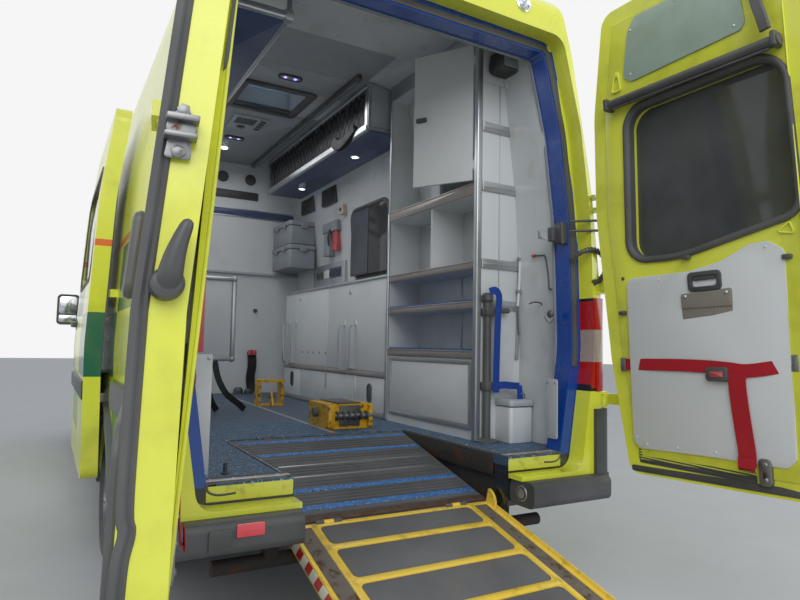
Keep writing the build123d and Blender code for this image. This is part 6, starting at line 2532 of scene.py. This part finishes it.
@dataclass
class Pillars:
    """Door stay, gaiter, edge plate, red strip and bumper fittings round the rear opening."""

    rig: Rig
    screws: Screws

    def build(self) -> None:
        """Builds the fittings of both sides."""
        form = Form(BLACK)
        for z in (1742, 1790):
            form.rod((880, 20, z + 4), (1006, -128, z), 6)
        form.plate("y", oblong(968, 1030, 1722, 1812, 10), -152, -132, 5)
        for z in (1738, 1796):
            form.turned((1012, -150, z), (0, -1, 0), [(0, 11), (7, 10), (9, 6), (9, 0)], 6)
        self.rig.keep(form, "door_stay", "rear_door_right", "dark_plastic")
        form = Form(BLACK)
        loop = [(880, 10, 1612), (900, -40, 1640), (950, -66, 1650), (1000, -76, 1620), (1014, -80, 1570),
                (986, -74, 1516), (940, -70, 1492)]
        path = curve(loop, 8)
        form.tube(path, 10)
        for p in path[::2]:
            i = path.index(p)
            along = path[min(i + 1, len(path) - 1)] - path[max(i - 1, 0)]
            form.turned(tuple(p), tuple(along), [(-3, 10), (-2, 14), (2, 14), (3, 10)], 14)
        self.rig.keep(form, "door_wire_gaiter", "rear_door_right", "dark_plastic")
        form = Form(SCUFFED)
        form.plate("y", oblong(-905, -774, 702, 1134, 3), 101, 107, 1)
        self.rig.keep(form, "frame_plate_left", slot="locker_aluminium")
        self.screws.add([(x, 101, z) for x in (-892, -787) for z in (716, 1120)], (0, -1, 0), 5, SILVER)
        form = Form(RED_PLASTIC)
        form.plate("y", oblong(-861, -808, 1141, 1487, 6), 101, 107, 1.5)
        self.rig.keep(form, "frame_red_strip", slot="lamp_red")
        self.bumper()

    def bumper(self) -> None:
        """Towing-eye cover and reflector of the left bumper half, and the inner end of both halves."""
        form = Form(BLACK)
        form.plate("y", oblong(-823, -750, 522, 590, 8), -157, -148, 3)
        self.rig.keep(form, "bumper_cover_left", slot="dark_plastic")
        form = Form(REFLECTOR)
        form.plate("y", oblong(-736, -644, 560, 602, 6), -156, -149, 3)
        self.rig.keep(form, "bumper_reflector_left", slot="lamp_red")
        for side in Side:
            s = side.value
            form = Form(SILVER)
            form.rod((s * 502, -70, 560), (s * 508, -70, 560), 34)
            form.use(DARK_PLASTIC)
            form.turned((s * 508, -70, 560), (-s, 0, 0), [(0, 28), (8, 28), (9, 22), (2, 20), (2, 0)])
            self.rig.keep(form, f"bumper_end_{side.word}", slot="dark_plastic")
            form = Form(UNDER)
            a, b = stretch(s, 487, 491.5)
            form.block(a, b, 108, 925, 604, FLOOR - 3, 1)
            self.rig.keep(form, f"recess_cheek_{side.word}", slot="frame_steel")


def plan_x(y: float) -> float:
    """Half width of the body seen from above at a place along it.

    Args:
        y: the place along Y.

    Returns:
        The half width, 0 ahead of the nose.
    """
    rows = [(PLAN[0][0], BODY_REAR), *PLAN]
    for (x0, y0), (x1, y1) in zip(rows, rows[1:]):
        if y <= y1:
            return x0 + (x1 - x0) * (y - y0) / (y1 - y0)
    return 0.0


def nose_y(x: float, z: float) -> float:
    """Where the front of the body lies at a point seen from the front.

    Args:
        x: place across.
        z: height.

    Returns:
        The place along Y.
    """
    found = NOSE[-1][0]
    for (y0, z0), (y1, z1) in zip(NOSE, NOSE[1:]):
        if z0 <= z <= z1:
            found = y0 + (y1 - y0) * (z - z0) / (z1 - z0)
            break
    for (x0, y0), (x1, y1) in zip(PLAN, PLAN[1:]):
        if x1 <= abs(x) <= x0:
            found = min(found, y0 + (y1 - y0) * (x0 - abs(x)) / (x0 - x1))
    return found


def skin(y: float, z: float) -> float:
    """Half width of the outer skin at a point seen from the side."""
    return min(skin_x(z), plan_x(y))


@dataclass
class Outside:
    """Window seals, handles, mouldings, grille, lamps, mirrors and wipers."""

    rig: Rig
    slide: tuple[float, float] = (-128.0, -1120.0)

    cab_window: tuple[Row, ...] = ((4190, 1370, 60), (5130, 1370, 50), (5090, 1640, 120), (4870, 2110, 110),
                                   (4190, 2170, 70))
    slide_window: tuple[Row, ...] = ((2640, 1500, 80), (3635, 1500, 80), (3635, 2120, 80), (2640, 2120, 80))
    right_pane: tuple[Row, ...] = ((1800, 1700, 80), (2470, 1700, 80), (2470, 2200, 80), (1800, 2200, 80))

    def build(self) -> None:
        """Builds everything on the outer skin."""
        for side in Side:
            joint = f"cab_door_{side.word}_hinge"
            self.seal(f"cab_window_seal_{side.word}", self.cab_window, side.value, self.rig.child(joint))
            self.handle(f"cab_door_handle_{side.word}", 4180, side.value, 1275, self.rig.child(joint))
            self.strip(f"cab_door_strip_{side.word}", 4130, 5170, side.value, self.rig.child(joint))
            self.mirror(side)
            self.lamp(side)
        self.seal("load_window_seal", self.right_pane, 1, "van")
        self.seal("slide_window_seal", self.slide_window, -1, "van", self.slide)
        self.handle("slide_door_handle", 3600, -1, 1275, "van", self.slide)
        self.strip("slide_door_strip", 2530, 3745, -1, "van", self.slide)
        self.strip("side_strip_right", 2500, 4040, 1, "van")
        self.strip("side_strip_left", 3800, 4040, -1, "van")
        self.slide_rail()
        self.screen()
        self.grille()
        self.light_bar()

    def seal(self, name: str, rows: Sequence[Row], s: int, body: str,
             shift: tuple[float, float] = (0.0, 0.0)) -> None:
        """Rubber round a side window.

        Args:
            name: the piece's name.
            rows: the window's outline, seen from the side.
            s: 1 on the right, -1 on the left.
            body: the moving body that it rides on.
            shift: what is added along X and Y for a panel that stands away from the skin.
        """
        form = Form(RUBBER)
        path = [Vector((s * (skin(p.x, p.y) + 0.5) + shift[0], p.x + shift[1], p.y))
                for p in rounded(rows, 8)]
        form.sweep(path, [(-15, -4), (15, -4), (12, 3), (-12, 3)], True, (s, 0, 0))
        self.rig.keep(form, name, body, "dark_plastic")

    def handle(self, name: str, y: float, s: int, z: float, body: str,
               shift: tuple[float, float] = (0.0, 0.0)) -> None:
        """Pull handle in a shallow dish.

        Args:
            name: the piece's name.
            y: its rear end.
            s: 1 on the right, -1 on the left.
            z: its height.
            body: the moving body that it rides on.
            shift: what is added along X and Y for a panel that stands away from the skin.
        """
        x = s * skin(y, z) + shift[0]
        y += shift[1]
        form = Form(BLACK)
        path = [(x - s * 2, y, z), (x + s * 22, y + 18, z + 1), (x + s * 30, y + 70, z + 2),
                (x + s * 22, y + 122, z + 1),
                (x - s * 2, y + 140, z)]
        form.ribbon(curve(path), 30, 13, (s, 0, 0.02))
        ring = oblong(y - 14, y + 154, z - 30, z + 30, 24)
        low, high = sorted((x - s * 2, x + s * 3))
        form.plate("x", ring, low, high, 2, [inset(ring, 8)])
        form.turned((x, y + 185, z), (s, 0, 0), [(-2, 14), (3, 14), (5, 9), (4, 3), (4, 0)])
        self.rig.keep(form, name, body, "dark_plastic")

    def strip(self, name: str, y0: float, y1: float, s: int, body: str,
              shift: tuple[float, float] = (0.0, 0.0)) -> None:
        """Rubbing strip along the side.

        Args:
            name: the piece's name.
            y0: rear end.
            y1: front end.
            s: 1 on the right, -1 on the left.
            body: the moving body that it rides on.
            shift: what is added along X and Y for a panel that stands away from the skin.
        """
        form = Form(MOULDING)
        rows = [(skin(y0, 868) - 2, 868, 2), (skin(y0, 880) + 11, 880, 8), (skin(y0, 960) + 11, 960, 8),
                (skin(y0, 972) - 2, 972, 2)]
        if s < 0:
            rows = [(-a, b, r) for a, b, r in reversed(rows)]
        rows = [(a + shift[0], b, r) for a, b, r in rows]
        form.plate("y", rows, y0 + shift[1], y1 + shift[1], 5)
        self.rig.keep(form, name, body, "grey_plastic")

    def mirror(self, side: Side) -> None:
        """Glasses and edge of one door mirror.

        Args:
            side: which side.
        """
        s = side.value
        form = Form(CHROME)
        a, b = stretch(s, 1030, 1196)
        form.plate("y", [(a, 1440, 26), (b, 1440, 26), (b, 1618, 34), (a, 1618, 34)], 5049, 5056, 2)
        form.plate("y", [(a, 1352, 22), (b, 1352, 22), (b, 1426, 16), (a, 1426, 16)], 5049, 5056, 2)
        self.rig.keep(form, f"mirror_glass_{side.word}", self.rig.child(f"cab_door_{side.word}_hinge"),
                      "dark_plastic")

    def lamp(self, side: Side) -> None:
        """Edge, reflector rings and corner indicator of one head lamp.

        Args:
            side: the lamp's side.
        """
        s = side.value
        form = Form(BLACK)
        rows = [(520, 740, 40), (860, 800, 60), (905, 1150, 60), (600, 1010, 60)]
        path = [Vector((s * p.x, nose_y(p.x, p.y) + 1, p.y)) for p in rounded(rows)]
        form.tube(path, 6, True)
        form.use(CHROME)
        for x, z, r in ((640, 862, 58), (775, 930, 62)):
            for shrink in (1.0, 0.6):
                points = [(x + r * shrink * math.cos(a), z + r * shrink * math.sin(a))
                          for a in (2 * math.pi * k / 28 for k in range(28))]
                form.tube([Vector((s * px, nose_y(px, pz) + 1, pz)) for px, pz in points], 4, True, 8)
        form.use(ORANGE)
        points = rounded([(800, 1010, 14), (862, 1035, 14), (880, 1110, 14), (815, 1080, 14)])
        form.tube([Vector((s * p.x, nose_y(p.x, p.y) + 1, p.y)) for p in points], 5, True, 8)
        self.rig.keep(form, f"head_lamp_rings_{side.word}", slot="lamp_glass")

    def slide_rail(self) -> None:
        """Dark edge seal round the slid door and its closing strip."""
        form = Form(RUBBER)
        rows = [(2508, 478, 55), (3767, 478, 55), (3767, 2422, 84), (2508, 2422, 84)]
        dx, dy = self.slide
        path = [Vector((-min(skin(p.x, p.y), 996) + 40 + dx, p.x + dy, p.y)) for p in rounded(rows, 8)]
        form.sweep(path, [(-5, -12), (5, -12), (6, 12), (-6, 12)], True, (1, 0, 0))
        self.rig.keep(form, "slide_door_seal", slot="dark_plastic")

    def on_screen(self, x: float, z: float, off: float) -> Spot:
        """A point that stands off the windscreen."""
        return x, nose_y(x, z) + 0.73 * off, z + 0.68 * off

    def wiper(self, form: Form, x: float) -> None:
        """Adds one wiper's spindle, arm and blade.

        Args:
            form: what it joins.
            x: where its spindle is across.
        """
        at = self.on_screen
        form.rod(at(x, 1382, -4), at(x, 1382, 14), 12)
        arm = [at(x, 1382, 12), at(x + 120, 1410, 26), at(x + 290, 1434, 18)]
        form.ribbon(curve(arm), 14, 7, SCREEN_OUT)
        blade = [at(x + 10, 1424, 6), at(x + 290, 1434, 9), at(x + 570, 1420, 6)]
        form.ribbon(curve(blade), 12, 12, SCREEN_OUT)

    def screen(self) -> None:
        """Windscreen edge and wipers."""
        form = Form(RUBBER)
        rows = [(-800, 1395, 120), (800, 1395, 120), (700, 2330, 160), (-700, 2330, 160)]
        path = [Vector((p.x, nose_y(p.x, p.y), p.y)) for p in rounded(rows, 8)]
        form.sweep(path, [(-16, -4), (16, -4), (12, 3), (-12, 3)], True, SCREEN_OUT)
        self.rig.keep(form, "windscreen_seal", slot="dark_plastic")
        form = Form(BLACK)
        for x in (-600, 60):
            self.wiper(form, x)
        self.rig.keep(form, "wipers", slot="dark_plastic")

    def grille(self) -> None:
        """Slats of the grille and of the opening below it."""
        form = Form(BLACK)
        for k in range(7):
            z = 745 + 36 * k
            reach = 392 + 55 * k / 6
            path = [Vector((-reach + 2 * reach * i / 16, 0, z)) for i in range(17)]
            path = [Vector((p.x, nose_y(p.x, z) + 3, z)) for p in path]
            form.ribbon(path, 15, 9, (0, 1, 0.02))
        for k in range(4):
            z = 350 + 34 * k
            path = [Vector((-420 + 52.5 * i, nose_y(-420 + 52.5 * i, z) + 2, z)) for i in range(17)]
            form.ribbon(path, 12, 8, (0, 1, 0.02))
        self.rig.keep(form, "grille_slats", slot="dark_plastic")

    def light_bar(self) -> None:
        """Base, dividers and clear middle of the roof lights."""
        form = Form(DARK_PLASTIC)
        form.block(-652, 652, 4146, 4404, 2962, 3006, 8)
        for x in (-430, -160, 160, 430):
            form.block(x - 6, x + 6, 4147, 4403, 3000, 3104, 3)
        self.rig.keep(form, "light_bar_base", slot="dark_plastic")
        form = Form(PALE_GREY)
        form.block(-154, 154, 4148, 4402, 3010, 3098, 6)
        self.rig.keep(form, "light_bar_middle", slot="lamp_glass")


@dataclass
class Wheels:
    """Tyres with their tread blocks, hub caps and nuts."""

    rig: Rig
    centre_x: float = 868.0
    radius: float = 350.0
    nuts: int = 6
    rows: int = 5
    around: int = 58
    sides: int = 80
    mid_radius: float = 250.0
    section: tuple[Row, ...] = (
        (-96, 206.3, 4), (96, 206.3, 4), (117.5, 275, 60), (95, 343, 22), (-95, 343, 22), (-117.5, 275, 60),
    )

    def build(self) -> None:
        """Builds what turns with each wheel."""
        form = Form(TYRE)
        form.block(-0.46, 0.46, -0.36, 0.36, -0.25, 0.04, 0.04)
        bmesh.ops.recalc_face_normals(form.mesh, faces=form.mesh.faces)
        mesh = bpy.data.meshes.new("tread_block")
        form.mesh.to_mesh(mesh)
        form.mesh.free()
        block = bpy.data.objects.new("tread_block", mesh)
        bpy.context.scene.collection.objects.link(block)
        for y, row in ((5875.0, "front"), (1550.0, "rear")):
            for side in Side:
                self.tyre(y, row, side)
                self.tread(block, y, row, side)
                self.hub(y, row, side)
        bpy.data.objects.remove(block)

    def tyre(self, y: float, row: str, side: Side) -> None:
        """The carcass under the tread, in place of the plain tyre.

        Args:
            y: where the axle is along Y.
            row: front or rear.
            side: which side.
        """
        form = Form(TYRE)
        x, r = side.value * self.centre_x, self.mid_radius
        angles = [2 * math.pi * i / self.sides for i in range(self.sides)]
        path = [Vector((x, y + r * math.cos(a), self.radius + r * math.sin(a))) for a in angles]
        form.sweep(path, [(p.y - r, p.x) for p in rounded(self.section, 15)], True, (1, 0, 0))
        body = self.rig.child(f"wheel_{row}_{side.word}_spin")
        piece = self.rig.keep(form, f"tyre_carcass_{row}_{side.word}", body, "tyre_rubber")
        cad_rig.replaces(piece, f"tyre_{row}_{side.word}")

    def tread(self, block: bpy.types.Object, y: float, row: str, side: Side) -> None:
        """Blocks in rows round one tyre.

        Args:
            block: the block that is copied.
            y: where the axle is along Y.
            row: front or rear.
            side: which side.
        """
        place = self.rig.row()
        spots = []
        for k in range(self.rows):
            x = side.value * self.centre_x + (k - (self.rows - 1) / 2) * 37
            for i in range(self.around):
                angle = 2 * math.pi * (i + 0.5 * (k % 2)) / self.around
                way = Vector((0, math.cos(angle), math.sin(angle)))
                spots.append((place @ (Vector((x, y, self.radius)) + way * (self.radius - 1.8)), way,
                              34 * MM))
        body = self.rig.child(f"wheel_{row}_{side.word}_spin")
        Repeats(self.rig, f"tread_{row}_{side.word}", body, TYRE, 0.0).build(block, spots)

    def hub(self, y: float, row: str, side: Side) -> None:
        """Cap and nuts on the wheel's outer face.

        Args:
            y: where the axle is along Y.
            row: front or rear.
            side: which side.
        """
        s = side.value
        form = Form(RIM)
        form.turned((s * 931, y, self.radius), (s, 0, 0), [(0, 33), (5, 33), (9, 26), (10, 0)])
        form.use(STEEL)
        for k in range(self.nuts):
            angle = 2 * math.pi * k / self.nuts
            spot = (s * (self.centre_x + 54), y + 66 * math.cos(angle), self.radius + 66 * math.sin(angle))
            form.turned(spot, (s, 0, 0), [(0, 17), (3, 17), (4, 12), (18, 12), (20, 8), (20, 0)], 6)
        self.rig.keep(form, f"wheel_nuts_{row}_{side.word}", self.rig.child(f"wheel_{row}_{side.word}_spin"),
                      "rim_steel")


@dataclass
class Cab:
    """Seats and dashboard details."""

    rig: Rig

    def pillow(self, form: Form, rows: Sequence[Row], levels: Sequence[tuple[float, float]],
               upright: bool) -> None:
        """A crowned cushion from rings of an outline scaled about its middle.

        Args:
            form: where it is added.
            rows: the outline, (x, y) if it lies or (x, z) if it stands.
            levels: (distance along the other axis, scale) of each ring.
            upright: whether the cushion stands.
        """
        points = rounded(rows, 10)
        middle = sum(points, Vector((0, 0))) / len(points)
        rings = []
        for t, scale in levels:
            ring = [middle + (p - middle) * scale for p in points]
            rings.append([form.mesh.verts.new((p.x, t, p.y) if upright else (p.x, p.y, t)) for p in ring])
        form.skin(rings)
        form.face(rings[0])
        form.face(rings[-1])

    def build(self) -> None:
        """Builds both seats and the dashboard's details."""
        for side in Side:
            self.seat(side)
        form = Form(BLACK)
        form.plate("y", [(300, 1318, 20), (590, 1318, 20), (570, 1384, 40), (320, 1384, 40)], 5330, 5470, 10)
        for x in (-640, -240, -40, 700):
            outer = oblong(x - 55, x + 55, 1215, 1280, 14)
            form.plate("y", outer, 5288, 5302, 4, [inset(outer, 9)])
            for k in range(4):
                form.block(x - 46, x + 46, 5291, 5298, 1224 + 14 * k, 1228 + 14 * k, 1)
        form.block(-170, 60, 5284, 5302, 1080, 1190, 8)
        self.rig.keep(form, "dash_details", slot="cab_trim")

    def seat(self, side: Side) -> None:
        """One seat: its box, cushion, back and head rest.

        Args:
            side: the seat's side.
        """
        s = side.value
        a, b = stretch(s, 262, 758)
        form = Form(CAB_TRIM)
        form.block(a + 20, b - 20, 4360, 4830, 656, 920, 20)
        form.block(a + 60, b - 60, 4150, 4360, 900, 1060, 20)
        form.rod((s * 450, 4232, 1540), (s * 450, 4232, 1640), 7)
        form.rod((s * 570, 4232, 1540), (s * 570, 4232, 1640), 7)
        base = self.rig.keep(form, f"seat_box_{side.word}", slot="cab_trim")
        if side is Side.RIGHT:
            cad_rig.replaces(base, "cab_seats")
        form = Form(SEAT_CLOTH)
        rows = [(a, 4330, 70), (b, 4330, 70), (b, 4848, 90), (a, 4848, 90)]
        levels = [(925, 0.90), (935, 0.95), (965, 0.985), (1010, 1.0), (1050, 0.985), (1080, 0.93),
                  (1098, 0.8),
                  (1106, 0.62), (1100, 0.4), (1092, 0.2)]
        self.pillow(form, rows, levels, False)
        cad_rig.padded(self.rig.keep(form, f"seat_cushion_{side.word}", slot="seat_fabric"), 0.85)
        form = Form(SEAT_CLOTH)
        rows = [(a + 6, 1060, 70), (b - 6, 1060, 70), (b - 40, 1570, 120), (a + 40, 1570, 120)]
        levels = [(4140, 0.86), (4150, 0.93), (4185, 0.985), (4235, 1.0), (4280, 0.98), (4308, 0.9),
                  (4322, 0.74),
                  (4326, 0.56), (4318, 0.36), (4312, 0.18)]
        self.pillow(form, rows, levels, True)
        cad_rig.padded(self.rig.keep(form, f"seat_back_{side.word}", slot="seat_fabric"), 0.85)
        form = Form(SEAT_CLOTH)
        rows = [(s * 510 - 130, 1600, 50), (s * 510 + 130, 1600, 50), (s * 510 + 110, 1778, 60),
                (s * 510 - 110, 1778, 60)]
        levels = [(4180, 0.8), (4192, 0.92), (4220, 1.0), (4250, 1.0), (4280, 0.94), (4294, 0.8), (4300, 0.5),
                  (4298, 0.2)]
        self.pillow(form, rows, levels, True)
        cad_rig.padded(self.rig.keep(form, f"head_rest_{side.word}", slot="seat_fabric"), 0.9)


@dataclass
class Studio:
    """Camera, floor, backdrop and light."""

    place: Spot = (-1.292, -2.149, 1.176)
    yaw: float = 29.60
    pitch: float = 4.26
    roll: float = 1.12
    lens: float = 27.87

    def build(self) -> None:
        """Builds everything that isn't the vehicle."""
        self.camera()
        self.floor()
        self.world()
        self.lamp("sky", (-3.2, -6.5, 6.5), (0.0, -1.0, 1.2), 7.0, 420)
        self.lamp("side", (6.5, -5.5, 4.0), (0.6, -1.5, 1.2), 5.0, 150)
        self.lamp("load_space_light", (-0.15, 1.9, 2.80), (-0.15, 1.9, 0.0), 1.1, 10)
        self.lamp("load_space_front", (-0.1, 3.0, 2.80), (-0.1, 3.1, 0.0), 0.9, 4)

    def camera(self) -> None:
        """The view of the reference picture."""
        yaw, pitch, roll = (math.radians(a) for a in (self.yaw, self.pitch, self.roll))
        ahead = Vector((math.sin(yaw) * math.cos(pitch), math.cos(yaw) * math.cos(pitch), math.sin(pitch)))
        right = Vector((math.cos(yaw), -math.sin(yaw), 0))
        up = right.cross(ahead)
        turned = math.cos(roll) * right + math.sin(roll) * up
        upright = math.cos(roll) * up - math.sin(roll) * right
        data = bpy.data.cameras.new("camera")
        data.sensor_width = 36.0
        data.lens = self.lens
        camera = bpy.data.objects.new("camera", data)
        x, y, z = self.place
        matrix = Matrix((turned, upright, -ahead)).transposed().to_4x4()
        camera.matrix_world = Matrix.Translation((x, y + STUDIO_SILL[0], z)) @ matrix
        bpy.context.scene.collection.objects.link(camera)
        bpy.context.scene.camera = camera

    def floor(self) -> None:
        """A wide pale floor."""
        mesh = bpy.data.meshes.new("floor")
        mesh.from_pydata(oblong(-40, 40, -40, 40, 0), [], [(0, 1, 2, 3)])
        floor = bpy.data.objects.new("floor", mesh)
        mesh.materials.append(Finish("pale floor", "B9BBBD", 0.8, dirt_share=0.0).material())
        bpy.context.scene.collection.objects.link(floor)
        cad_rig.stage(floor)

    def world(self) -> None:
        """White behind the vehicle for the camera, mirrors and glass; softer light for the rest."""
        world = bpy.data.worlds.new("studio")
        world.use_nodes = True
        tree = world.node_tree
        tree.nodes.clear()
        path = add(tree, "ShaderNodeLightPath").outputs
        seen = maths(tree, "MAXIMUM", path["Is Camera Ray"], path["Is Glossy Ray"])
        seen = maths(tree, "MAXIMUM", seen, path["Is Transmission Ray"])
        soft = add(tree, "ShaderNodeBackground", {"Color": (0.88, 0.93, 1.0, 1), "Strength": 0.58})
        white = add(tree, "ShaderNodeBackground", {"Color": (1, 1, 1, 1), "Strength": 0.92})
        both = add(tree, "ShaderNodeMixShader", {0: seen, 1: soft.outputs[0], 2: white.outputs[0]})
        add(tree, "ShaderNodeOutputWorld", {0: both.outputs[0]})
        bpy.context.scene.world = world
        bpy.context.scene.view_settings.view_transform = "Standard"

    def lamp(self, name: str, place: Spot, target: Spot, size: float, power: float) -> None:
        """A square soft light, placed from the rear sill in metres.

        Args:
            name: the light's name.
            place: where it stands.
            target: where it points.
            size: its edge, in metres.
            power: its power, in watts.
        """
        data = bpy.data.lights.new(name, "AREA")
        data.size = size
        data.energy = power
        lamp = bpy.data.objects.new(name, data)
        sill = Vector((0, STUDIO_SILL[0], 0))
        start, end = Vector(place) + sill, Vector(target) + sill
        turn = (end - start).to_track_quat("-Z", "Y").to_matrix().to_4x4()
        lamp.matrix_world = Matrix.Translation(start) @ turn
        bpy.context.scene.collection.objects.link(lamp)
        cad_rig.stage(lamp)


def write_sizes(before: Box, after: Box) -> None:
    """Notes the box of the frame and of the finished object.

    Args:
        before: the frame's box, low and high corner.
        after: the finished object's box.
    """
    rows = [[[float(c) for c in corner] for corner in box] for box in (before, after)]
    with open("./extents.json", "w", encoding="utf-8") as out:
        json.dump(rows, out)


def main() -> None:
    """Builds every sub-assembly in order."""
    logging.basicConfig(level=logging.INFO, format="%(message)s")
    bpy.ops.wm.read_factory_settings(use_empty=True)
    rig = Rig()
    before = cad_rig.bounds()
    screws = Screws(rig)
    CadFinishes(rig).build()
    Doorway(rig).build()
    for side in Side:
        RearDoor(rig, screws, side).build()
    Ramp(rig, screws).build()
    LowCabinets(rig).build()
    TallUnit(rig, screws).build()
    Lockers(rig).build()
    Ceiling(rig).build()
    FrontWall(rig).build()
    RightWall(rig).build()
    LeftBox(rig).build()
    FloorFittings(rig, screws).build()
    PoleSet(rig, screws).build()
    Pillars(rig, screws).build()
    Outside(rig).build()
    Wheels(rig).build()
    Cab(rig).build()
    screws.finish()
    Studio().build()
    write_sizes(before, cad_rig.bounds())
    log.info("%d pieces", rig.count)


if __name__ == "__main__":
    main()
